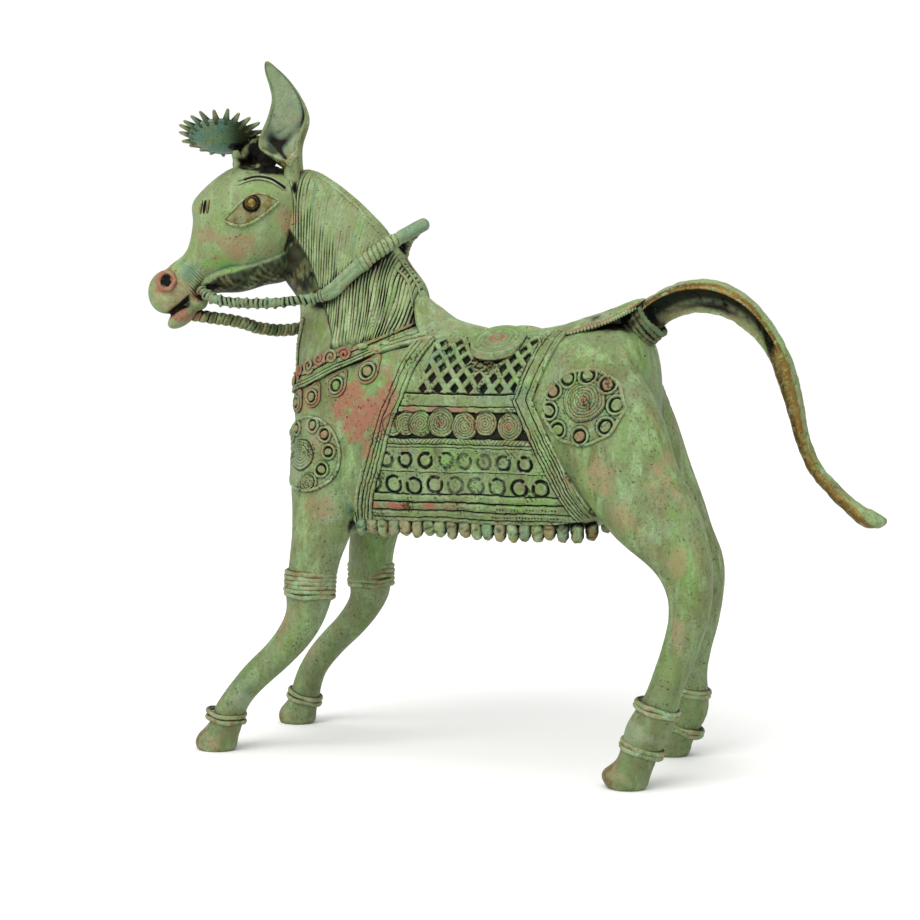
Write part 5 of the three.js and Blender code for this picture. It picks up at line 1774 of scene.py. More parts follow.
@dataclass
class ChestWork:
    """The breast medallion, the collar and its pendants, laid on the chest's map."""

    pats: tuple = ((-64.5, 135.9, 2.9), (-58.3, 132.4, 3.0), (-56.4, 125.4, 2.9), (-59.5, 118.0, 3.0),
                   (-74.2, 134.2, 2.6), (-64.6, 112.6, 3.4), (-78.6, 131.0, 2.4))
    coil_at: tuple[float, float] = (-70.6, 123.6)
    coil: float = 6.2
    middle: tuple[float, float] = (-66.8, 124.3)
    half: tuple[float, float] = (16.4, 15.6)
    band: tuple = ((-170, 175.6), (-120, 168.4), (-81, 161.9), (-51, 154.9), (-14, 151.2), (0, 150.6))
    band_half: float = 3.6
    pendants: tuple = ((-40.6, 157.6, 4.5), (-54.3, 151.9, 4.3), (-66.1, 147.3, 4.0), (-76.4, 144.6, 3.8))
    scrolls: tuple = ((-51.6, 164.4, 2.8, 1), (-57.2, 163.2, 3.3, 2), (-62.8, 162.4, 2.8, 5), (-68.0, 159.6, 3.4, 4),
                      (-73.6, 157.4, 2.9, 3), (-78.4, 153.6, 2.9, 0))  # x, z, radius, where it starts
    lumps: tuple = ((-40.2, 166.4, 3.4), (-45.2, 167.6, 2.6), (-35.6, 168.2, 2.4))  # x, z, half length
    cord_line: tuple = ((-76.4, 179.6), (-78.7, 172.6), (-80.4, 166.3), (-81.2, 160.1), (-81.6, 151.7))
    base: float = 0.55
    breast_x: float = -82.4  # as far forward as the flank's map can be read

    def scroll_work(self, chest: Chest) -> Shape:
        """Small spirals of thread on the collar, the lumps behind them and the cord up the throat.

        Args:
            chest: the skin of the chest and the foot of the neck.

        Returns:
            The closed shape.
        """
        made = []
        for x, z, radius, start in self.scrolls:
            point, normal = chest.at(x, z, Side.NEAR)
            first, second = plane_of(normal)
            t = np.linspace(0.12, 1, 64)[:, None]
            turn = 3.6 * math.pi * t + start
            path = point + radius * t * (np.cos(turn) * first + np.sin(turn) * second)
            made.append(thread(path, np.tile(normal, (64, 1)), 0.68, 1.75, 9))
            made[-1].marks["copper"] = np.full(len(made[-1].points), 0.5 + 0.5 * (start % 2))
        places = np.array(self.lumps)
        points, normals = chest.at(places[:, 0], places[:, 1], Side.NEAR)
        half = np.stack([places[:, 2], np.full(len(places), 1.9), places[:, 2] * 0.55], -1)
        made.append(beads(points + 0.9 * normals, half, 20, 14))
        made[-1].points += 0.3 * wander(made[-1].points, 2.6, 241)[:, None]
        line = resample(np.array([(x, 0, z) for x, z in self.cord_line], float), 0.8)
        points, normals = chest.at(line[:, 0], line[:, 2], Side.NEAR)
        made.append(thread(points, normals, 0.85 + 0.12 * wander(points, 3.0, 242), 0.5, 9, 2.2, 0.2))
        for shape in made[-2:]:
            shape.marks["copper"] = 0.4 * ramp(wander(shape.points, 7.0, 243), 0.0, 0.6)
        return joined(made)

    def medallion(self, flank: Flank, side: Side) -> Shape:
        """The plate on the breast.

        Args:
            flank: the skin of the trunk.
            side: which side of the horse.

        Returns:
            The closed shape.
        """
        coarse = 1 if side is Side.NEAR else 3
        share = np.linspace(0.004, 1, 60 // coarse)[:, None]
        turn = turns(300 // coarse)[None]
        x = np.maximum(self.middle[0] + share * self.half[0] * np.cos(turn), self.breast_x)
        z = self.middle[1] + share * self.half[1] * np.sin(turn)
        work = Relief(x, z, np.full(x.shape, self.base))
        out = (1 - share) * min(self.half) + 0 * turn
        if side is Side.NEAR:
            for k, (cx, cz, radius) in enumerate(self.pats):
                work.button((cx, cz), radius, self.base, 15 + k)
            work.coil(self.coil_at, self.coil, 1.1, 0.8, 4)
            work.coil((-65.2, 112.6), 3.0, 1.0, 0.7, 5)
        else:
            work.coil((self.middle[0] + 2, self.middle[1]), 5.2, 1.3, 0.6, 3)
            work.thread(out - 5.0, 0.6, self.base)
        work.thread(out - 0.7, 0.7, self.base * 0.6)
        work.height[-1] = 0.1
        cast_skin(work)
        return lay_round(work, *flank.at(x, z, side))

    def collar(self, chest: Chest, side: Side) -> Shape:
        """The band round the foot of the neck: three cords with a groove under the top one.

        Args:
            chest: the skin of the chest and the foot of the neck.
            side: which side of the horse.

        Returns:
            The closed shape.
        """
        cols, rows = (360, 36) if side is Side.NEAR else (140, 24)
        turn = np.linspace(-170, 2, cols)
        across = np.linspace(-1, 1, rows)[:, None] * self.band_half
        degrees, levels = columns(self.band)
        level = np.interp(turn, degrees, levels)
        level = np.convolve(np.pad(level, 12, mode="edge"), np.ones(25) / 25, "valid")
        angle = np.broadcast_to(np.radians(turn) * -side.value, (rows, cols))
        z = level[None] - across
        run = np.cumsum(np.hypot(np.gradient(level), 25 * np.gradient(np.radians(turn))))[None] + 0 * z
        work = Relief(run, -across + 0 * z, np.full(z.shape, 0.75))
        sway = 0.2 * work.uneven(12, 111)
        v = across + sway
        for middle, half, top in ((-2.6, 0.95, 1.75), (-0.4, 1.1, 1.45), (2.3, 1.35, 1.8)):
            work.strip(v - middle, half, top)
        for line, soot in ((-1.6, 0.95), (0.85, 0.9)):
            work.groove(v - line, 0.32, 0.3, soot)
        work.groove(v - 2.3, 0.18, 1.2, 0.6)
        rubbed = ramp(np.abs(v + 2.6), 1.1, 0.6) * 0.6 * ramp(work.uneven(9, 112), -0.5, 0.2)
        work.copper = np.maximum(work.copper, rubbed)
        work.height = work.height * ramp(np.abs(across), self.band_half, self.band_half - 0.35)
        cast_skin(work)
        return lay(work, *chest.map.both(z, angle))

    def pendant_row(self, flank: Flank) -> list[Shape]:
        """Drops of wax that hang from the collar, each a ringed pat with a pointed top.

        Args:
            flank: the skin of the trunk.

        Returns:
            The closed shapes.
        """
        made = []
        for k, (cx, cz, radius) in enumerate(self.pendants):
            share = np.linspace(0.01, 1, 24)[:, None]
            turn = turns(110)[None]
            point = 1 + 0.55 * np.exp(-(((turn - math.pi / 2 + 0.5) / 0.42) ** 2))
            reach = radius * 1.12 * point
            x = np.maximum(cx + share * reach * np.cos(turn), self.breast_x)
            z = cz + share * reach * np.sin(turn)
            work = Relief(x, z, np.full(x.shape, self.base))
            out = (1 - share) * reach
            work.button((cx, cz), radius * 0.72, self.base, 25 + k, 0.45)
            work.thread(out - 0.55, 0.55, self.base * 0.7)
            work.copper = np.maximum(work.copper, ramp(np.abs(out - 0.6), 0.8, 0.3) * 0.9)
            work.height[-1] = 0.1
            cast_skin(work)
            made.append(lay_round(work, *flank.at(x, z, Side.NEAR)))
        return made


@dataclass
class Mane:
    """Threads that hang from the crest down one side of the neck, as one fine height field."""

    side: Side
    rows: int = 190
    cols: int = 390
    reach: float = math.radians(118)
    span: tuple[float, float] = (0.255, 0.93)
    pitch: float = 1.25
    front: tuple = ((150, -57), (172, -58.5), (180, -62), (187, -65.5), (194, -68), (205, -73), (211, -77.5),
                    (222, -86), (245, -97))  # z, x of its edge
    cord_rows: tuple = ((-0.42, 0.34, 0.5), (-0.2, 0.36, 0.52), (-0.3, 0.62, 0.84), (0.3, 0.36, 0.8))

    def __post_init__(self) -> None:
        """The far side is plainer and needs fewer points."""
        if self.side is Side.FAR:
            self.rows, self.cols, self.pitch = 110, 130, 1.9

    def shape(self) -> Shape:
        """The mane on the neck's loft.

        Its height is a seat + depth * (half round of the thread at x / pitch), where the depth is
        more near the cheek and below the rein, and comes and goes along each thread.

        Returns:
            The closed shape.
        """
        angle = self.side.value * np.linspace(0, self.reach, self.cols)
        share = np.linspace(*self.span, self.rows)
        middle = NECK.at(share, angle)
        around = NECK.at(share, np.array([math.pi / 2, -math.pi / 2])).mean(1, keepdims=True)
        normals = grid_normals(middle, middle - around)
        a = np.broadcast_to(angle, middle.shape[:2])
        t = np.broadcast_to(share[:, None], a.shape)
        x, z = middle[..., 0], middle[..., 2]
        flow = np.stack([x, z * 0.45], -1)
        long_flow = np.stack([x, z * 0.16], -1)
        bend = 0.012 * np.clip(192 - z, 0, None) ** 2 * ramp(x, -52, -34)
        comb = (x + bend + 0.5 * wander(flow, 22.0, 121) + 0.3 * wander(long_flow, 5.0, 122)) / self.pitch
        own = wander(np.stack([np.floor(comb) * 7.3, z / 9], -1), 1.9, 129)  # each thread's own course
        wide = np.clip(0.8 + 0.26 * own, 0.5, 1.0)
        ridge = np.sqrt(np.clip(1 - ((2 * (comb % 1) - 1) / wide) ** 2, 0, 1))
        back = x - np.interp(z, *columns(self.front))
        strong = 0.2 + 0.85 * np.maximum(ramp(back + 4 * wander(flow, 12.0, 130), 19, 6), ramp(t, 0.57, 0.46))
        strong = np.clip(strong * (0.85 + 0.35 * wander(long_flow, 3.2, 123) - 0.45 * own), 0.12, 1.35)
        gap = ramp(wander(np.stack([np.floor(comb + 0.5) * 5.1, z / 7], -1), 1.9, 136), -0.15, 0.5)  # each gap's own
        height = 0.95 + 0.8 * strong * (0.75 + 0.4 * gap) * (ridge - 1) + 0.14 * wander(flow, 9.0, 124)
        ends = self.span[0] + 0.012 + 0.012 * wander(np.stack([comb, 0 * comb], -1), 4.0, 128)
        hem = ramp(t, ends, ends + 0.022)
        edge = ramp(back + 0.7 * wander(flow, 6.0, 127), -1.2, 0.6)
        height = (height + 0.5 * ramp(t, 0.33, 0.28)) * edge * hem * ramp(t, self.span[1], self.span[1] - 0.05)
        height = np.maximum(height, 0.02) - 0.25 * ramp(edge * hem, 0.3, 0.0) + ramp(np.abs(a), 0.11, 0.03) * 0.4
        work = Relief(x, z, height)
        patchy = ramp(wander(flow, 11.0, 125), -0.9, 0.4)
        cut = ramp(ridge, 0.6, 0.1) * np.clip(1.25 * strong, 0, 1) * (0.3 + 0.85 * gap)
        beside = ramp(np.abs(back + 0.5), 1.6, 0.4) * 0.8
        work.grime = np.clip(np.maximum(cut * (0.65 + 0.75 * patchy), beside), 0, 1.4) * np.ones_like(x)
        streak = np.stack([np.floor(comb) * 7.3, z / 14], -1)  # each thread's own colours
        # Painted light on the threads low on the neck.
        painted_lit = 0.8 * ramp(wander(streak, 1.7, 131), -0.4, 0.5) * ramp(t, 0.62, 0.46)
        return lay(
            work, middle, normals,
            light=np.maximum(painted_lit, 0.35 * ramp(wander(streak, 1.7, 132), 0.2, 0.8)),
            leaf=0.7 * ramp(wander(streak, 1.9, 133), 0.2, 0.9),
            tan=0.5 * ramp(wander(streak, 1.9, 134), 0.55, 1.1),
            teal=0.45 * ramp(wander(streak, 1.9, 135), 0.6, 1.1),
        )

    def cords(self) -> list[Shape]:
        """Single threads laid along the crest.

        Returns:
            The closed shapes.
        """
        made = []
        for k, (angle, start, end) in enumerate(self.cord_rows):
            share = np.linspace(start, end, 70)
            line = NECK.at(share, np.array([angle - 0.03, angle, angle + 0.03]))
            normals = unit(line[:, 1] - NECK.at(share, np.array([0.0, math.pi])).mean(1))
            size = 0.75 * swelling(70, 0.06)
            made.append(thread(line[:, 1] + 0.2 * wander(line[:, 1:2], 9.0, 221 + k), normals, size, 0.85, 10))
        return made


@dataclass
class SideMap:
    """The side of the head: how far it reaches out at each place forward and up."""

    side: Side
    low: tuple[float, float] = (-6.0, 176.0)
    high: tuple[float, float] = (68.0, 246.0)
    cell: float = 1.0
    table: Array = field(default_factory=lambda: np.zeros((0, 0)))

    def measure(self, skin: Array) -> SideMap:
        """Fills the table with the farthest point in each cell, then smooths it.

        Args:
            skin: the points of the skin.

        Returns:
            This map.
        """
        local = in_head(skin)
        out = -local[:, 1] * self.side.value
        size = tuple(int((h - l) / self.cell) + 1 for l, h in zip(self.low, self.high))
        table = np.full(size, -30.0)
        i = np.clip(((local[:, 0] - self.low[0]) / self.cell).astype(int), 0, size[0] - 1)
        j = np.clip(((local[:, 2] - self.low[1]) / self.cell).astype(int), 0, size[1] - 1)
        np.maximum.at(table, (i, j), out)
        for _ in range(4):
            table = np.where(table > -20, table, largest_near(table) - 1.0)
        for axis in (0, 1, 0, 1):
            table = (np.roll(table, 1, axis) + table + np.roll(table, -1, axis)) / 3
        self.table = table
        return self

    def off(self, forward: Array, up: Array) -> Array:
        """How far out the head is, on a smooth surface through the table."""
        x, y = (forward - self.low[0]) / self.cell, (up - self.low[1]) / self.cell
        return read_table(self.table, x, y, False)

    def at(self, forward: Array, up: Array) -> tuple[Array, Array]:
        """Points and outward directions of the head's side.

        Args:
            forward: how far forward of the poll.
            up: how high.

        Returns:
            The points and their outward directions.
        """
        forward, up = np.broadcast_arrays(np.asarray(forward, float), np.asarray(up, float))
        sign = -self.side.value

        def place(u: Array, v: Array) -> Array:
            """The point at a place forward and up."""
            return head_point(u, sign * self.off(u, v), v)

        step = 0.4
        point = place(forward, up)
        normal = unit(np.cross(place(forward + step, up) - point, place(forward, up + step) - point))
        return point, normal * np.sign(normal @ (sign * HEAD_NEAR))[..., None]


@dataclass
class Face:
    """The eye, the brow and the nostril on one side of the head."""

    side: Side
    back: tuple[float, float] = (9.6, 227.3)
    front: tuple[float, float] = (31.9, 219.6)
    upper: float = 5.6  # how far the upper lid bows out of the line between the corners
    lower: float = 4.4
    iris: tuple[float, float] = (20.5, 226.3)
    ring: float = 2.3
    brow: tuple = ((26.6, 234.2), (19.5, 236.6), (13, 235.6), (7.2, 232.0))
    brow_apart: float = 1.7  # from one thread of the brow to the other
    brow_radius: float = 0.62
    ridge: tuple = ((5.5, 237), (3.6, 229), (2.6, 220), (2.2, 210))  # behind the cheek
    strokes: tuple = ((42.1, "brass"), (40.6, "grime"), (39.1, "brass"))  # how far forward, and its mark
    full: float = 1.3  # a mark that shows whole whatever the noise
    nostril: tuple[float, float] = (57.2, 195.0)
    nostril_ring: float = 3.7

    def lid_lines(self) -> tuple[Array, Array]:
        """The upper and the lower lid as lines forward and up: bows of a sine between the corners.

        Returns:
            The upper line and the lower line.
        """
        t = np.linspace(0, 1, 60)
        back, front = np.array(self.back), np.array(self.front)
        line = back + t[:, None] * (front - back)
        square = np.array([front[1] - back[1], back[0] - front[0]])
        square = square / -np.linalg.norm(square)
        bow = np.sin(math.pi * t) ** 0.85
        skew = 1 + 0.35 * np.cos(math.pi * t)
        above, below = self.upper * bow * skew, self.lower * bow / skew
        return line + square * above[:, None], line - square * below[:, None]

    def cords(self, cheek: SideMap) -> list[Shape]:
        """The lids, the brow's two threads with a dark line between, the ridge and the forehead's strokes.

        Args:
            cheek: the side of the head.

        Returns:
            The closed shapes.
        """

        def laid(line: Array, size: Array, lift: float, sides: int = 8, twist: float = 0.0,
                 ridge: float = 0.0, **marks: float) -> Shape:
            """A thread along a line forward and up on the cheek, with marks of one value each.

            Args:
                line: its line, forward and up.
                size: its radius along the line.
                lift: how far its middle stands off the skin.
                sides: how many sides its section has.
                twist: the length of one turn of its winding, or 0 for none.
                ridge: how much the winding swells it, as a share.
                marks: marks, by name.

            Returns:
                The closed shape.
            """
            shape = thread(*cheek.at(line[:, 0], line[:, 1]), size, lift, sides, twist, ridge)
            shape.marks = {name: np.full(len(shape.points), value) for name, value in marks.items()}
            return shape

        count = 60
        t = np.linspace(0, 1, count)
        made = []
        for k, line in enumerate(self.lid_lines()):
            size = (0.5 + 0.35 * np.sin(math.pi * t) ** 0.5) * (0.8 if k else 0.7)
            made.append(laid(line, size, 0.6, 10, 2.0 * k, 0.3, grime=0.0))
            made[-1].marks["brass"] = 0.6 * ramp(wander(made[-1].points, 3.0, 146), -0.3, 0.5)
        brow = np.array(self.brow, float)
        for above in (0.0, self.brow_apart):
            line = blend(brow + np.array([0, above]), t)
            made.append(laid(line, self.brow_radius * swelling(count, 0.04), 0.1, grime=0.0))
        made.append(laid(blend(np.array(self.ridge, float), t), 0.7 * swelling(count), 0.3, grime=0.0))
        between = blend(brow + np.array([0, self.brow_apart / 2]), np.linspace(0.15, 1, count))
        made.append(laid(between, 0.25 + 0.45 * ramp(t, 0.2, 0.6), 0.3, grime=self.full))
        for forward, mark in self.strokes:
            up = np.linspace(222.6, 228.2, 20)
            line = np.stack([forward - 0.12 * (up - 225), up], -1)
            made.append(laid(line, 0.62 * swelling(20), 0.1, **{"grime": 0.0, mark: self.full}))
        return made

    def eyeball(self, cheek: SideMap) -> Shape:
        """The tan ball between the lids: the almond filled, bulging by the square root of the way in.

        Args:
            cheek: the side of the head.

        Returns:
            The closed shape.
        """
        upper, lower = self.lid_lines()
        t = np.linspace(0, 1, 17)[:, None, None]
        place = lower[None] * (1 - t) + upper[None] * t
        points, normals = cheek.at(place[..., 0], place[..., 1])
        along = np.linspace(0, 1, 60)[None]
        over, round_ends = 4 * t[..., 0] * (1 - t[..., 0]), np.sin(math.pi * along)
        bulge = 1.1 * np.sqrt(np.clip(over, 0, 1)) * np.sqrt(np.clip(round_ends, 0, 1))
        shape = lay(Relief(place[..., 0], place[..., 1], 0.15 + bulge), points, normals, 0.8)
        iris = cheek.at(*self.iris)[0]
        out = np.linalg.norm(shape.points - iris, axis=1)
        shape.marks["grime"] = np.maximum(shape.marks["grime"], ramp(np.abs(out - 3.1), 1.0, 0.5) * 1.4)
        shape.marks["tan"] = np.full(len(shape.points), 0.45)
        shape.marks["brass"] = 0.75 * ramp(wander(shape.points, 4.0, 145), -0.4, 0.4)
        shape.marks["grime"] += 0.14
        return shape

    def rings(self, cheek: SideMap) -> list[Shape]:
        """The iris: a raised ring with a round pupil in it.

        Args:
            cheek: the side of the head.

        Returns:
            The ring and the pupil.
        """
        point, normal = cheek.at(*self.iris)
        first, second = plane_of(normal)
        seat = point + normal * 1.45
        ring = hoop(seat, first * self.ring, second * self.ring, 0.45, 131, 60, 12)
        pupil = beads(seat[None] - normal * 0.25, np.array([2.0, 2.0, 2.0]), 24, 16)
        depth = (pupil.points - seat) @ normal
        pupil.points = pupil.points - (depth * 0.45)[:, None] * normal
        for shape, share in ((ring, 1.2), (pupil, 1.1)):
            shape.marks["brass"] = np.full(len(shape.points), share)
        return [ring, pupil]

    def nose(self, cheek: SideMap) -> tuple[Shape, Shape]:
        """The nostril's raised ring, and the dark hollow in it.

        Args:
            cheek: the side of the head.

        Returns:
            The ring and the hollow.
        """
        point, normal = cheek.at(*self.nostril)
        first, second = plane_of(normal)
        across, along = first * self.nostril_ring * 0.92, second * self.nostril_ring
        ring = hoop(point + normal * 0.15, across, along, 1.15, 141, 60, 12)
        t = np.linspace(0.02, 1, 10)
        turn = turns(40)
        ragged = 1 + 0.16 * np.sin(3 * turn + 0.4) + 0.08 * np.sin(5 * turn)
        disc = t[:, None] * ragged[None]
        hole = (
            point
            + (disc * np.cos(turn))[..., None] * first * 1.75
            + (disc * np.sin(turn))[..., None] * second * 2.35
            + (0.55 + 0.35 * disc**2)[..., None] * normal
        )
        pit = tube(np.concatenate([hole, hole[-1:] - normal * 1.4]))
        pit.marks["grime"] = np.full(len(pit.points), self.full)
        ring.marks = {"copper": np.ones(len(ring.points))}
        return ring, pit


# Pieces


@dataclass
class Piece:
    """A finished mesh, with what its marks are worked out from."""

    obj: bpy.types.Object
    points: Array
    normals: Array
    marks: dict[str, Array]


class Studio:
    """Gathers the pieces, gives them marks and material, and hands them to the frame."""

    # The crevice grid's counts become painted shade.
    SHADE_CELL = 1.6  # mm, of the grid that finds crevices
    MARGIN = 8.0  # mm, of that grid round the horse
    SOFTEN = 8  # how far hollows are looked for, in edges of the mesh

    def __init__(self) -> None:
        """Finds where the drawing frame lies in the shared frame: the tail ends where the CAD box does."""
        self.shift = np.array([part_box(NODE)[1][0] / MM - TAIL_TIP_X, 0.0, 0.0])
        self.material = PatinatedBrass().build()
        self.pieces: list[Piece] = []
        self.total = 0

    def keep(self, name: str, shape: Shape, replaces: bool = False, scale: float = 0.5) -> None:
        """Makes a piece of a shape.

        Args:
            name: the piece's name.
            shape: in the drawing frame, with marks for each point if it has any.
            replaces: whether it stands for the CAD node.
            scale: the depth in millimetres that counts as a full hollow.
        """
        mesh = mesh_of(name, shape, MM, self.shift)
        obj = bpy.data.objects.new(name, mesh)
        bpy.context.scene.collection.objects.link(obj)
        mesh.materials.append(self.material)
        count = len(mesh.vertices)
        normals = np.empty(count * 3)
        mesh.vertex_normals.foreach_get("vector", normals)
        normals = normals.reshape(-1, 3)
        edges = np.empty(len(mesh.edges) * 2, np.int64)
        mesh.edges.foreach_get("vertices", edges)
        edges = edges.reshape(-1, 2)
        mean = neighbour_mean(shape.points, edges, self.SOFTEN)
        depth = np.einsum("ij,ij->i", mean - shape.points, normals)
        marks = dict(shape.marks)
        marks["hollow"] = np.clip(0.5 + depth / scale / 2, 0, 1)
        self.pieces.append(Piece(obj, shape.points, normals, marks))
        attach(obj, BODY)
        if replaces:
            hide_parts(NODE)
        triangles = len(shape.triangles())
        self.total += triangles
        log.info("%s: %d points, %d triangles", name, count, triangles)

    def crevices(self) -> list[Array]:
        """How shut in each point is, for the painted shade: how much surface lies in front of it, from counts on a
        grid.

        Returns:
            For each piece, one value for each point.
        """
        cell = self.SHADE_CELL
        spots = np.concatenate([p.points for p in self.pieces])
        low = spots.min(0) - self.MARGIN
        size = np.ceil((spots.max(0) + self.MARGIN - low) / cell).astype(int)
        filled = np.zeros(size, np.float32)
        index = ((spots - low) / cell).astype(int)
        filled[tuple(index.T)] = 1.0
        for axis in range(3):
            filled = (np.roll(filled, 1, axis) + filled + np.roll(filled, -1, axis)) / 3
        found = []
        for piece in self.pieces:
            total = np.zeros(len(piece.points))
            for reach in (3.2, 5.0, 7.0):
                ahead = ((piece.points + piece.normals * reach - low) / cell).astype(int)
                total += filled[tuple(np.clip(ahead, 0, size - 1).T)]
            found.append(total / 3)
        return found

    def patches(self, points: Array, marks: dict[str, Array]) -> None:
        """Adds the patches: 1 in an oval's middle and 0 outside, with an uneven edge.

        Args:
            points: places in the drawing frame.
            marks: marks, by name.
        """
        rough = 0.35 * wander(points, 9.0, 201) + 0.2 * wander(points, 3.5, 202)
        for local, table in ((points, PATCHES), (in_head(points), HEAD_PATCHES)):
            for stain, middle, half, strength in table:
                away = np.linalg.norm((local - np.array(middle)) / np.array(half), axis=1)
                patch = ramp(away + rough, 1.05, 0.6) * strength
                marks[stain.value] = np.maximum(marks[stain.value], patch)

    def finish(self) -> None:
        """Writes the marks on every piece."""
        for piece, shut in zip(self.pieces, self.crevices()):
            marks = piece.marks
            for stain in Stain:
                marks.setdefault(stain.value, np.zeros(len(piece.points)))
            self.patches(piece.points, marks)
            # Painted shade where the surface is shut in, joined with the dark grime marks.
            marks["shade"] = np.maximum(ramp(shut, 0.12, 0.46), marks.pop("grime"))
            for name, values in marks.items():
                layer = piece.obj.data.attributes.new(name, "FLOAT", "POINT")
                layer.data.foreach_set("value", np.asarray(values, np.float32))


# The horse


@dataclass
class Trunk:
    """Barrel, neck and legs, melted into one skin that stands on its flat soles."""

    cell: float = 1.3
    rounds: int = 4

    def skin(self) -> Shape:
        """The melted skin, cut off level at the floor.

        Returns:
            The closed shape.
        """
        lofts = [BARREL, NECK, NEAR_FORE, FAR_FORE, NEAR_HIND, FAR_HIND]
        shapes = [loft.solid() for loft in lofts]
        for shape in shapes:
            shape.points[:, 2] = np.maximum(shape.points[:, 2], 0)
        shape = fused(shapes, self.cell, self.rounds)
        shape.points[:, 2] = np.maximum(shape.points[:, 2], 0)
        x, z = shape.points[:, 0], shape.points[:, 2]
        throat = ramp(np.interp(z, *columns(Mane.front)) - x, -3, 1) * ramp(z, 184, 193)
        worn = throat * ramp(wander(shape.points, 3.0, 215) + 0.5 * wander(shape.points, 8.0, 216), 0.2, 0.8)
        shape.marks["grime"] = throat * np.clip(0.92 + 0.1 * wander(shape.points, 4.0, 213), 0, 1) - 0.7 * worn
        shape.marks["brass"] = 0.8 * worn
        return shape


@dataclass
class Head:
    """The skull and the jaw, with a ball for the nose and a lobe for the lower lip."""

    cell: float = 0.66
    rounds: int = 3
    lobes: tuple = (  # forward, up, half length, half width, half height, slope in degrees
        (58.0, 190.8, 8.0, 8.0, 9.3, 8), (51.6, 180.4, 7.4, 6.0, 3.6, -36), (45.2, 187.0, 4.4, 5.4, 4.2, -30),
    )
    cheek: tuple = (  # its lower edge, forward and up
        (-4, 215), (6.6, 208), (9.9, 205), (20.9, 201), (36.2, 197.2), (42, 193), (60, 176),
    )

    def lobe(self, forward: float, up: float, long: float, wide: float, tall: float, slope: float) -> Shape:
        """An oval turned in the head's upright plane.

        Args:
            forward: how far forward of the poll it lies.
            up: how high.
            long: half its length.
            wide: half its width.
            tall: half its height.
            slope: how far its front is up, in degrees.

        Returns:
            The closed shape.
        """
        ball = beads(np.zeros((1, 3)), np.array([long, wide, tall]), 40, 24)
        lean = math.radians(slope)
        u = forward + ball.points[:, 0] * math.cos(lean) - ball.points[:, 2] * math.sin(lean)
        z = up + ball.points[:, 0] * math.sin(lean) + ball.points[:, 2] * math.cos(lean)
        return Shape(head_point(u, ball.points[:, 1], z), ball.faces).facing_out()

    def skin(self) -> Shape:
        """The melted head, dark below the cheek's lower edge.

        Returns:
            The closed shape.
        """
        shapes = [SKULL.solid(), JAW.solid(), *(self.lobe(*row) for row in self.lobes)]
        shape = fused(shapes, self.cell, self.rounds)
        local = in_head(shape.points)
        under = np.interp(local[:, 0], *columns(self.cheek)) - local[:, 2] + 0.5 * wander(shape.points, 5.0, 211)
        slit = (local[:, 0] - 49) * 0.63 + (local[:, 2] - 187.6) * 0.78
        mouth = ramp(np.abs(slit), 1.3, 0.8) * ramp(local[:, 0], 47.5, 48.5)
        jaw = ramp(under, -0.4, 1.0) * ramp(local[:, 0], 43, 38) * (0.86 + 0.12 * wander(shape.points, 2.5, 214))
        shape.marks["grime"] = np.maximum(jaw, mouth)
        worn = jaw * ramp(wander(shape.points, 2.2, 215) + 0.6 * wander(shape.points, 7.0, 216), 0.3, 0.8)
        shape.marks["brass"] = 0.8 * worn
        shape.marks["grime"] -= 0.7 * worn * (mouth < 0.1)
        return shape


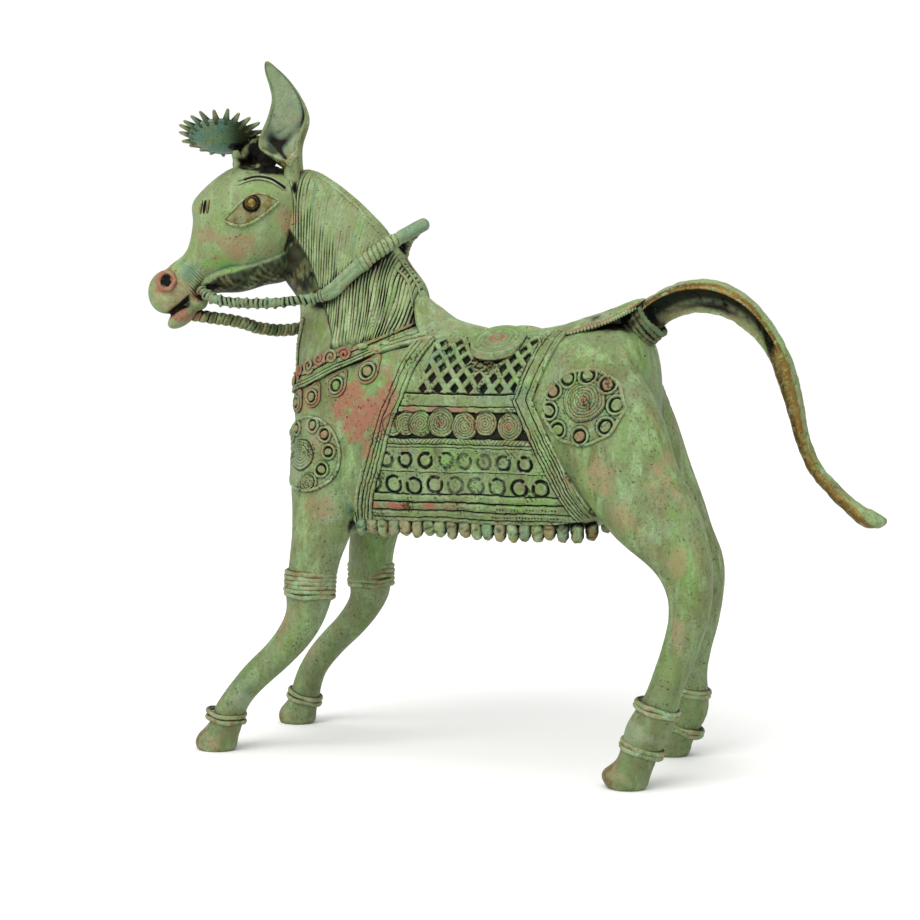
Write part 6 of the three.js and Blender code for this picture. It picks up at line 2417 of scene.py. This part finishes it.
@dataclass
class Tail:
    """A gutter of brass that opens down and to the near side under the arch, worn bright on its near lip."""

    opening: float = math.radians(232)  # where the gutter opens, round from the outer edge
    spread: float = math.radians(62)  # from there to each lip
    lip: float = math.radians(13)
    dish: float = 1.25  # how far the hollow goes in, to how far the oval stands out of the lips' plane
    # share of the way along, and the middle and half width of the worn stripe in degrees
    worn: tuple = ((0, 297, 19), (0.38, 297, 21), (0.52, 250, 60), (0.85, 240, 52), (0.93, 195, 38), (1, 185, 34))
    wrap: tuple[float, float, float, float, float] = (66.4, 176.0, 8.2, 8.4, 37)  # x, z, half sizes, slope
    wrap_reach: float = 4.0

    def shape(self) -> Shape:
        """The tail: an oval section whose open side is pressed in past the plane of its two lips.

        Returns:
            The closed shape.
        """
        rows, sides = 230, 64
        share = 0.55 * crowded(rows) + 0.45 * np.linspace(0, 1, rows + 1)
        angle = turns(sides)
        full = TAIL.at(share, angle)
        middle = TAIL.at(share, np.array([math.pi / 2, -math.pi / 2])).mean(1, keepdims=True)
        faces = TAIL.at(share, np.array([self.opening])) - middle
        radius = np.linalg.norm(faces, axis=-1)
        way = unit(faces)
        aside = full - middle
        off = apart(angle, self.opening)[None]
        gutter = (ramp(share, 0.07, 0.12) * ramp(share, 0.52, 0.42))[:, None]
        out = np.einsum("ijk,ijk->ij", aside, np.broadcast_to(way, aside.shape)) - radius * math.cos(self.spread)
        press = np.clip(out, 0, None) * (1 + self.dish) * ramp(off, self.spread, self.spread - self.lip) * gutter
        points = full - way * press[..., None]
        sharp = ramp(np.abs(off - self.spread), self.lip * 1.5, self.lip * 0.4) * gutter
        points = points + unit(aside) * (0.5 * sharp)[..., None]
        ends = (ramp(share, 0, 0.05) * ramp(share, 1, 0.97))[:, None]
        rough = (0.16 * wander(points, 5.0, 3) + 0.1 * wander(points, 2.0, 4)) * ends
        points = points + unit(aside + 1e-6) * rough[..., None]
        points[..., 0] = np.minimum(points[..., 0], TAIL_TIP_X)
        shape = tube(points)
        place, centre, half = columns(self.worn)
        centre, half = (np.radians(np.interp(share, place, v))[:, None] for v in (centre, half))
        brass = ramp(apart(angle[None], centre), half + 0.18, half - 0.05) * ramp(share, 0.05, 0.1)[:, None]
        deep = ramp(press, 0.3, 1.6) * ramp(angle, math.radians(196), math.radians(222))[None]
        ends = ([0, 0.5], [0, 0], [0, 0])
        marks = (1.3 * brass, 0.95 * deep, 0.5 * ramp(press, 0.3, 1.6) * (1 - deep))
        for name, values, end in zip(("brass", "grime", "tan"), marks, ends):
            shape.marks[name] = with_ends(values, end)
        return shape

    def root(self) -> list[Shape]:
        """The threads wound round the root.

        Returns:
            The closed shapes.
        """
        x, z, tall, wide, slope = self.wrap
        lean = math.radians(slope)
        along = np.array([math.cos(lean), 0, math.sin(lean)])
        first = np.array([-math.sin(lean), 0, math.cos(lean)])
        made = []
        for k, t in enumerate(np.linspace(-1, 1, 5)):
            middle = np.array([x, 0, z]) + along * self.wrap_reach * t
            turn = hoop(middle, first * (tall - 0.9), np.array([0, wide - 0.9, 0]), 1.15, 151 + k, rope=22, ridge=0.3)
            turn.marks["grime"] = np.full(len(turn.points), 0.55)
            made.append(turn)
        return made


@dataclass
class Ear:
    """A cupped leaf with a rolled rim, hollow on its outer face."""

    side: Side
    dish: float = 1.275  # how far the outer face is pressed in, as a share of the ear's half thickness
    rim: float = 0.45

    def shape(self) -> Shape:
        """The ear: an oval section whose outer half is pressed in, with a roll along its edges.

        Returns:
            The closed shape.
        """
        loft = of_head(EAR, -EAR_OFF * self.side.value)
        rows, sides = 104, 52
        share, angle = crowded(rows), turns(sides)
        full = loft.at(share, angle)
        middle = full.mean(1, keepdims=True)
        out = -self.side.value * HEAD_NEAR
        lateral = (full - middle) @ out
        wide = np.abs(lateral).max(1, keepdims=True)
        vee = 0.2 + 0.13 * np.abs(np.cos(angle)) ** 1.3
        open_part = ramp(share[:, None], vee[None], vee[None] + 0.24) * ramp(share, 1.0, 0.93)[:, None]
        depth = np.clip(lateral, 0, None) / np.maximum(wide, 1e-6)
        press = open_part * depth**1.4 * wide * self.dish
        lip = ramp(np.abs(share[:, None] - vee[None] - 0.02), 0.05, 0.015) * (lateral > 0) * ramp(depth, 0.0, 0.3)
        roll = open_part * ramp(np.abs(np.cos(angle)), 0.8, 0.97)[None] * self.rim * (lateral >= -0.3) + lip * 0.5
        points = full + (roll - press)[..., None] * out
        shape = tube(points)
        hollow = open_part * ramp(depth, 0.2, 0.7)
        low = ramp(share, 0.6, 0.34)[:, None]
        speckle = 0.3 + 0.9 * ramp(wander(points, 1.7, 6), -0.1, 0.5)
        stain = hollow * low * (0.5 + 1.2 * wander(points, 6.0, 5)) * ramp(np.cos(angle), -0.6, 0.4)[None] * speckle
        metal = ramp(np.abs(np.cos(angle)), 0.9, 0.99)[None] * low * 0.7
        shape.marks = {
            "grime": with_ends(np.clip(stain, 0, 0.7)),
            "brass": with_ends(metal * np.ones_like(stain)),
            "pale": with_ends(0.8 * hollow),
        }
        return shape


@dataclass
class Saddle:
    """A thin seat that dips in the middle and droops at its edges, with a coiled pad on each side."""

    pad_at: tuple[float, float, float] = (12.5, 18.2, 170.2)
    pad_radius: float = 11.8
    pad_top: float = 9.6
    pad_thick: float = 2.0
    pad_rise: float = math.radians(60)
    coil: float = 2.1  # from one turn of the pad's coiled thread to the next
    bead: float = 1.0

    def seat(self) -> Shape:
        """The seat: an oval section whose points sink by sag * sin(angle) squared.

        Returns:
            The closed shape.
        """
        rows, sides = 120, 72
        table = np.array(SADDLE, float)
        share = 0.6 * crowded(rows) + 0.4 * np.linspace(0, 1, rows + 1)
        x, z, sag = np.moveaxis(blend(table[:, [0, 1, 4]], share), -1, 0)[:, :, None]
        tall, wide = half_sizes(table[:, 2:4], share)
        angle = turns(sides)
        across = np.sign(np.sin(angle)) * np.abs(np.sin(angle)) ** 0.75
        up = np.sign(np.cos(angle)) * np.abs(np.cos(angle)) ** 0.6
        points = np.stack(np.broadcast_arrays(x, -wide * across, z + tall * up - sag * across**2), -1)
        uneven = 0.25 * wander(points, 16.0, 11) + 0.1 * wander(points, 4.0, 12)
        points[..., 2] += uneven * ramp(share, 0, 0.06)[:, None] * ramp(share, 1, 0.95)[:, None]
        shape = tube(points)
        edge = ramp(np.abs(np.sin(angle)), 0.96, 0.995)[None] * ramp(share, 0.55, 0.7)[:, None]
        shape.marks = {"copper": with_ends(edge, (0, 0.6))}
        return shape

    def edge_beads(self, side: Side) -> Shape:
        """The row of beads under the rear edge of the seat.

        Args:
            side: which side of the horse.

        Returns:
            The closed shape.
        """
        table = np.array(SADDLE, float)
        share = np.linspace(0.6, 0.94, 34)
        x, z, _, wide, sag = np.moveaxis(blend(table, share), -1, 0)
        middles = np.stack([x, side.value * wide * 0.985, z - sag - 0.6], -1)
        return beads(middles, np.array([self.bead * 0.8, self.bead * 0.7, self.bead]), 8, 6)

    def pad(self, side: Side) -> Shape:
        """The pad: a low round dome with a thread coiled on it from the middle out.

        Its height over the disc is half the thickness + a half round ridge on the spiral
        r = coil * angle / 2 pi, less a fall to the rim, plus a knob in the middle.

        Args:
            side: which side of the horse.

        Returns:
            The closed shape.
        """
        rings, steps = (60, 180) if side is Side.NEAR else (32, 90)
        radius = np.linspace(0.02, 1, rings + 1) * self.pad_radius
        r, a = np.meshgrid(radius, turns(steps), indexing="ij")
        flat = np.stack([r * np.cos(a), r * np.sin(a)], -1)
        turn = (r + 0.1 * wander(flat, 7.0, 15)) / self.coil - a / (2 * math.pi)
        ridge = half_round(turn)
        high = self.pad_thick / 2 + 0.42 * ridge - 0.6 * (r / self.pad_radius) ** 4
        high = high + 0.7 * np.exp(-((r / 2.2) ** 2))
        high = high - (self.pad_thick + 1) * ramp(r, self.pad_radius * 0.93, self.pad_radius)
        normal = np.array([0, side.value * math.cos(self.pad_rise), math.sin(self.pad_rise)])
        first = np.array([1.0, 0, 0])
        second = np.cross(normal, first)
        middle = np.array([self.pad_at[0], side.value * self.pad_at[1], self.pad_at[2]])
        points = middle + r[..., None] * (np.cos(a)[..., None] * first + np.sin(a)[..., None] * second)
        points = points + high[..., None] * normal
        shape = tube(points)
        copper = 1.3 * ramp(np.abs(r - 2.5), 1.1, 0.6) * ramp(wander(flat, 3.0, 16), -0.9, -0.2)
        shape.marks = {"copper": with_ends(copper), "grime": with_ends(0.35 * ramp(ridge, 0.45, 0.0))}
        return shape


@dataclass
class Crown:
    """A shallow bowl that faces upwards and back over the head, with round fingers on its rim."""

    at: tuple[float, float, float] = (34.6, 0.0, 255.8)
    radius: float = 12.9
    deep: float = 3.4
    wall: float = 1.0
    roll: float = math.radians(25)  # how far the near rim is up
    flare: float = math.radians(13)  # how far the fingers stand out of the rim's plane
    fingers: int = 21
    finger: float = 6.2
    thick: float = 1.4
    lumps: tuple = ((21, 0, 253), (23.5, -1, 250.5), (19, 1, 249), (16.5, 2, 246), (15, 3, 242.5), (18.5, 1, 242),
                    (25.5, -1, 247.5), (13.5, 4, 246), (21.5, 0, 241.2), (24, 1, 241), (17, 6, 240), (13, 6, 240))

    def axes(self) -> tuple[Array, Array, Array, Array]:
        """The middle of the rim, the rim's forward and sideways directions, and the bowl's axis.

        Returns:
            The middle, forward, sideways and the axis.
        """
        aside = math.cos(self.roll) * HEAD_NEAR + math.sin(self.roll) * UP
        axis = math.cos(self.roll) * UP - math.sin(self.roll) * HEAD_NEAR
        return head_point(*self.at), HEAD_FORWARD, aside, axis

    def bowl(self) -> Shape:
        """The bowl turned round its axis: out along the underside, over the rim and back inside.

        Returns:
            The closed shape.
        """
        middle, lean, aside, axis = self.axes()
        t = np.linspace(0.02, 1, 22)
        under = np.stack([t * self.radius, -self.deep * (1 - t**2) - self.wall], -1)
        rim_turn = np.linspace(-math.pi / 2, math.pi / 2, 9)[1:-1]
        rim = np.stack([self.radius + self.wall * np.cos(rim_turn) * 0.8, self.wall * np.sin(rim_turn) * 0.8 - 0.3], -1)
        over = np.stack([t[::-1] * (self.radius - 0.7), -self.deep * (1 - t[::-1] ** 2) + 0.1], -1)
        profile = np.concatenate([under, rim, over])
        angle = turns(96)
        ring = np.cos(angle)[:, None] * lean + np.sin(angle)[:, None] * aside
        points = middle + profile[:, 0][:, None, None] * ring[None] + profile[:, 1][:, None, None] * axis
        shape = tube(points)
        inside = np.zeros(len(profile))
        inside[-len(over):] = 1.0
        back = ramp((points - middle) @ lean, 1.0, -9.0)
        grime = np.maximum(inside[:, None] * 0.5, 0.9 * back)
        teal = (0.95 - 0.7 * back) * ramp(wander(points, 12.0, 172), 0.7, -0.2)
        shape.marks = {
            "grime": with_ends(grime, (0.1, 0.4)),
            "teal": with_ends(teal, (0.8, 0.5)),
        }
        return shape

    def spikes(self) -> list[Shape]:
        """The fingers, round cones with blunt tips, each a little different.

        Returns:
            The closed shapes.
        """
        middle, lean, aside, axis = self.axes()
        rng = np.random.default_rng(8)
        made = []
        for k in range(self.fingers):
            turn = (k + rng.uniform(-0.12, 0.12)) / self.fingers * 2 * math.pi
            out = math.cos(turn) * lean + math.sin(turn) * aside
            tilt = unit(out + axis * (math.tan(self.flare) + rng.uniform(-0.1, 0.1)))
            long = self.finger * rng.uniform(0.85, 1.08) + 1.5
            t = np.linspace(0, 1, 14)[:, None]
            line = middle + out * (self.radius - 1.6) + axis * -0.2 + tilt * t * long
            size = self.thick * (1.2 - 0.78 * t[:, 0]) * np.sqrt(np.clip(1 - ramp(t[:, 0], 0.82, 1.02) ** 2, 0.02, 1))
            made.append(thread(line, np.tile(axis, (14, 1)), size, 0.0, 10))
            run = np.repeat(t[:, 0], 10)
            made[-1].marks["grime"] = with_ends(0.75 * ramp(run, 0.9, 0.2), (0.7, 0))
            made[-1].marks["brass"] = with_ends(0.7 * ramp(run, 0.7, 0.95), (0, 0.8))
        return made

    def stems(self) -> Shape:
        """The post of wax that carries the bowl, and the lump behind it.

        Returns:
            The closed shape.
        """
        ends = (((27.2, 4, 239), (28.8, 1.5, 249.5), 2.3, 1.5), ((17.5, -3, 240), (22.5, -3, 252.5), 2.6, 3.2),
                ((23.5, -2, 240.5), (27.5, -4, 251.5), 1.8, 2.6))
        made = []
        for start, end, low, high in ends:
            line = np.linspace(head_point(*start), head_point(*end), 12)
            made.append(thread(line, np.tile([1.0, 0, 0], (12, 1)), np.linspace(low, high, 12), 0.0, 20))
        lumps = head_point(*np.array(self.lumps, float).T)
        made.append(beads(lumps, np.full(lumps.shape, 2.9), 18, 12))
        lump = fused(made, 0.5, 1)
        lump.points += 0.3 * wander(lump.points, 2.2, 171)[:, None] + 0.12 * wander(lump.points, 0.9, 173)[:, None]
        return lump


def beads(middles: Array, half: Array, sides: int, rings: int) -> Shape:
    """Small ovals at many places, all in one shape.

    Args:
        middles: their middles.
        half: half sizes along x, y and z, for all or for each.
        sides: points round each.
        rings: points from pole to pole of each.

    Returns:
        The shape, with the beads' points in order.
    """
    tilt = np.linspace(0, math.pi, rings + 1)[1:-1]
    turn = turns(sides)
    ball = np.stack(
        [np.outer(np.sin(tilt), np.cos(turn)), np.outer(np.sin(tilt), np.sin(turn)),
         np.outer(np.cos(tilt), np.ones(sides))], -1
    )
    one = tube(ball)
    count = len(one.points)
    half = np.broadcast_to(half, middles.shape)
    points = (middles[:, None] + one.points[None] * half[:, None]).reshape(-1, 3)
    step = (np.arange(len(middles)) * count)[:, None, None]
    return Shape(points, [(block[None] + step).reshape(-1, block.shape[1]) for block in one.faces])


@dataclass
class Reins:
    """Two cords from the muzzle round the neck, where they meet in one tip past the crest."""

    radius: float = 1.9
    step: float = 0.3
    knob_pitch: float = 4.0
    strand: float = 0.85
    wrap_pitch: float = 2.1
    coil_pitch: float = 3.3

    def near(self) -> Shape:
        """The near rein: a lumpy cord, a smooth strap on the neck, thread wraps, and a plain tip.

        The half size at a length s and an angle is radius + knob * exp(-(s - whole pitches)^2), then
        an oval strap, then strap + half round ridges on s / pitch - angle, then the tip.

        Returns:
            The closed shape.
        """
        path = resample(np.array(REIN_NEAR, float), self.step)
        x = path[:, 0]
        path[:, 1] -= 1.1 * ramp(x, -66, -60) * ramp(x, -30, -38)
        run = np.arange(len(path)) * self.step
        s, a = np.broadcast_arrays(run[:, None], turns(24)[None])
        place = np.stack([s * 0.5, 2 * np.cos(a), 2 * np.sin(a)], -1)
        wave = (s / self.knob_pitch + 0.25 * wander(place, 9.0, 181)) % 1 - 0.5
        knob = 0.85 * np.exp(-((wave * self.knob_pitch / 0.62) ** 2)) * (0.75 + 0.5 * wander(place, 3.0, 182))
        cordy = ramp(x, -60, -66)[:, None]
        strap = (ramp(x, -66, -60) * ramp(x, -44, -48))[:, None]
        bound = (ramp(x, -49, -46) * ramp(x, -34.5, -36))[:, None]
        tip = ramp(x, -36, -34)[:, None]
        wrap = 0.75 * half_round(s / self.wrap_pitch - a / (2 * math.pi) + 0.1 * wander(place, 5.0, 183))
        size = self.radius + 0.1 * wander(place, 2.4, 184) + cordy * knob
        size = size + strap * 1.15 * np.abs(np.sin(a)) + bound * (wrap + 0.45) + tip * 0.85
        end = np.clip((run[-1] - run) / 2.2, 0.03, 1)
        size = size * np.sqrt(1 - (1 - end) ** 2)[:, None] * ramp(run, -1.5, 1.2)[:, None]
        shape = cord(path, size)
        pooled_and_shade = 1.2 * ramp(np.abs(np.abs(wave) - 0.24), 0.14, 0.05) * ramp(wander(place, 4.0, 185), -0.5, 0.3)
        shape.marks = {
            "grime": with_ends(np.maximum(cordy * pooled_and_shade, bound * ramp(wrap, 0.5, 0.2))),
            "brass": with_ends(cordy * ramp(knob, 0.7, 1.0) * 0.8),
            "teal": with_ends(0.5 * (tip + 0.6 * strap + 0.6 * cordy) * np.ones_like(s)),
        }
        return shape

    def far(self) -> Shape:
        """The far rein, evenly wound: radius + a half round ridge on length / pitch - angle.

        Returns:
            The closed shape.
        """
        path = resample(np.array(REIN_FAR, float), self.step)
        shape = wound(path, self.radius, self.coil_pitch, self.strand, 18, 0.04, 22, (0.5, 0.55))
        shape.marks["grime"] = 1.5 * shape.marks["grime"] + 0.5 * ramp(wander(shape.points, 7.0, 23), -0.3, 0.5)
        shape.marks["brass"] = 1.8 * shape.marks["brass"]
        return shape


@dataclass
class LegBands:
    """Threads wound round the knees and over the hooves."""

    knees: tuple = (  # x, z, half depth, half width, slope, side, how far the band reaches up and down
        (-66.8, 71.2, 10.4, 10.1, 3, Side.NEAR, 5.4), (-66.2, 69.0, 10.0, 9.7, 0, Side.FAR, 5.0),
    )
    ankles: tuple = (
        (-103.8, 14.6, 8.3, 7.6, 8, Side.NEAR, 2.3), (-101.6, 12, 7.8, 7.4, 17, Side.FAR, 2.2),
        (83.2, 31.4, 8.7, 7.9, 16, Side.NEAR, 1.6), (77.5, 15.9, 8.5, 7.7, 18, Side.NEAR, 1.7),
        (76.9, 27.2, 8.2, 7.9, 9, Side.FAR, 1.6), (74.4, 11.8, 8.0, 7.5, 18, Side.FAR, 1.6),
    )
    strand: float = 1.15

    @staticmethod
    def off(z: float) -> float:
        """How far out from the middle a leg is at a height."""
        return float(np.interp(z, [32, 72], [STANCE, 27.4]))

    def hoops(self) -> list[Shape]:
        """One thread for each turn of each band.

        Returns:
            The closed shapes.
        """
        made = []
        for k, (x, z, a, b, slope, side, reach) in enumerate((*self.knees, *self.ankles)):
            lean = math.radians(slope)
            first = np.array([math.cos(lean), 0, -math.sin(lean)])
            up = np.array([math.sin(lean), 0, math.cos(lean)])
            middle = np.array([x, side.value * self.off(z), z])
            turns = max(int(round(2 * reach / (1.7 * self.strand))), 2)
            for n in range(turns):
                t = (n + 0.5) / turns * 2 - 1
                seat = middle + up * reach * t
                drop = self.strand * 0.55
                turn = hoop(seat, first * (a - drop), np.array([0, b - drop, 0]), self.strand, 40 + 7 * k + n,
                            rope=26 if len(made) % 2 else 0, ridge=0.12)
                turn.marks["tan"] = 0.35 * ramp(wander(turn.points, 9.0, 191 + n), 0.0, 0.5)
                turn.marks["brass"] = 0.7 * ramp(wander(turn.points, 5.0, 251 + n), 0.35, 0.8)
                made.append(turn)
        return made


@dataclass
class Noseband:
    """Eight fine threads wound round the muzzle."""

    at: tuple[float, float] = (47.9, 196.6)
    half: tuple[float, float] = (9.2, 8.3)
    lean: float = math.radians(47)
    reach: float = 4.4
    threads: int = 8

    def hoops(self) -> list[Shape]:
        """The threads, side by side along the muzzle.

        Returns:
            The closed shapes.
        """
        tall = math.cos(self.lean) * HEAD_FORWARD + math.sin(self.lean) * UP
        axis = np.cross(tall, HEAD_NEAR)
        middle = head_point(self.at[0], 0, self.at[1])
        radius = self.reach / self.threads * 1.15
        return [
            hoop(middle + axis * self.reach * ((k + 0.5) / self.threads * 2 - 1), tall * (self.half[0] - radius),
                 HEAD_NEAR * (self.half[1] - radius), radius, 90 + k, 64, 8)
            for k in range(self.threads)
        ]


@dataclass
class Stage:
    """A plain pale floor, soft lights and the camera that fits the photograph's view."""

    camera_place: tuple[float, float, float] = (304.5, -727.7, 168.0)
    camera_turn: float = math.radians(23.5)  # to the left of straight across the horse
    camera_dip: float = math.radians(3.36)
    focal_px: float = 1941.0
    photo_px: float = 920.0
    sensor: float = 36.0
    # name, spread, height and place round from behind the camera in degrees, power
    lamps: tuple = (("key", 42, 44, -30, 2.15), ("top", 50, 80, 20, 1.2))
    floor_half: float = 6.0  # in metres

    def build(self, shift: Array) -> None:
        """Adds the floor, the lights and the camera.

        Args:
            shift: what is added to the drawing frame's points.
        """
        data = bpy.data.cameras.new("camera")
        data.sensor_width = self.sensor
        data.lens = self.focal_px / self.photo_px * self.sensor
        data.clip_start = 0.01
        camera = bpy.data.objects.new("camera", data)
        camera.location = (np.array(self.camera_place) + shift) * MM
        camera.rotation_euler = (math.pi / 2 - self.camera_dip, 0, self.camera_turn)
        bpy.context.scene.collection.objects.link(camera)
        bpy.context.scene.camera = camera
        self.floor()
        for name, spread, rise, round_from_view, power in self.lamps:
            self.sun(name, math.radians(spread), math.radians(rise), math.radians(round_from_view), power)
        world = bpy.data.worlds.new("white tent")
        bpy.context.scene.world = world
        world.use_nodes = True
        tree = world.node_tree
        up = add(tree, "ShaderNodeSeparateXYZ", {0: add(tree, "ShaderNodeTexCoord").outputs["Generated"]}).outputs["Z"]
        height = add(tree, "ShaderNodeMath", {0: up}, operation="ABSOLUTE").outputs[0]
        glow = add(tree, "ShaderNodeMapRange", {"Value": height, "From Min": 0.3, "From Max": 0.6, "To Min": 1.02,
                                                "To Max": 0.65}).outputs[0]
        tree.links.new(glow, tree.nodes["Background"].inputs["Strength"])
        tree.nodes["Background"].inputs["Color"].default_value = (1, 1, 1, 1)
        bpy.context.scene.view_settings.view_transform = "Standard"

    def sun(self, name: str, spread: float, rise: float, round_from_view: float, power: float) -> None:
        """A soft distant lamp.

        Args:
            name: the lamp's name.
            spread: how wide it looks, in radians.
            rise: its height over the horizon, in radians.
            round_from_view: its place round from behind the camera, positive to the right.
            power: in watts per square metre.
        """
        data = bpy.data.lights.new(name, "SUN")
        data.angle = spread
        data.energy = power
        lamp = bpy.data.objects.new(name, data)
        lamp.rotation_euler = (math.pi / 2 - rise, 0, self.camera_turn + round_from_view)
        bpy.context.scene.collection.objects.link(lamp)

    def floor(self) -> None:
        """A wide level floor."""
        half = self.floor_half
        corners = [(x, y, 0) for x, y in ((-half, -half), (half, -half), (half, half), (-half, half))]
        mesh = bpy.data.meshes.new("floor")
        mesh.from_pydata(corners, [], [(0, 1, 2, 3)])
        material = bpy.data.materials.new("Paper, white, matt")
        material.use_nodes = True
        shader = material.node_tree.nodes["Principled BSDF"]
        shader.inputs["Base Color"].default_value = linear("#E8E8E6")
        shader.inputs["Roughness"].default_value = 0.8
        mesh.materials.append(material)
        obj = bpy.data.objects.new("floor", mesh)
        bpy.context.scene.collection.objects.link(obj)


def main() -> None:
    """Builds the horse piece by piece."""
    logging.basicConfig(level=logging.INFO, format="%(name)s %(message)s")
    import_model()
    studio = Studio()
    trunk = Trunk().skin()
    studio.keep("horse_trunk", trunk, replaces=True, scale=1.6)
    head = Head().skin()
    studio.keep("head", head, scale=1.0)
    flank, chest = Flank(trunk.points), Chest(trunk.points)
    chest_work = ChestWork()
    for side in Side:
        word = side.name.lower()
        cloth = Cloth(side)
        studio.keep(f"cloth_{word}", cloth.shape(flank))
        studio.keep(f"cloth_beads_{word}", cloth.fringe(flank))
        studio.keep(f"haunch_rosette_{word}", Rosette(side).shape(flank))
        studio.keep(f"breast_medallion_{word}", chest_work.medallion(flank, side))
        studio.keep(f"collar_{word}", chest_work.collar(chest, side))
        cheek = SideMap(side).measure(head.points)
        face = Face(side)
        studio.keep(f"eyelids_brow_{word}", joined(face.cords(cheek)))
        studio.keep(f"eyeball_{word}", face.eyeball(cheek))
        studio.keep(f"iris_{word}", joined(face.rings(cheek)))
        ring, hole = face.nose(cheek)
        studio.keep(f"nostril_ring_{word}", ring)
        studio.keep(f"nostril_{word}", hole)
    studio.keep("collar_pendants", joined(chest_work.pendant_row(flank)))
    studio.keep("collar_scrolls", chest_work.scroll_work(chest))
    for side in Side:
        studio.keep(f"mane_{side.name.lower()}", Mane(side).shape())
    studio.keep("mane_cords", joined(Mane(Side.NEAR).cords()))
    tail = Tail()
    studio.keep("tail", tail.shape())
    studio.keep("tail_wrap", joined(tail.root()))
    for side in Side:
        word = side.name.lower()
        studio.keep(f"ear_{word}", Ear(side).shape())
        studio.keep(f"saddle_pad_{word}", Saddle().pad(side))
        studio.keep(f"saddle_beads_{word}", Saddle().edge_beads(side))
    studio.keep("saddle", Saddle().seat())
    crown = Crown()
    studio.keep("crown_bowl", crown.bowl())
    studio.keep("crown_spikes", joined(crown.spikes()))
    studio.keep("crown_stems", crown.stems())
    reins = Reins()
    studio.keep("rein_near", reins.near())
    studio.keep("rein_far", reins.far())
    studio.keep("leg_bands", joined(LegBands().hoops()))
    studio.keep("noseband", joined(Noseband().hoops()))
    log.info("%d triangles in all", studio.total)
    studio.finish()
    Stage().build(studio.shift)


if __name__ == "__main__":
    main()
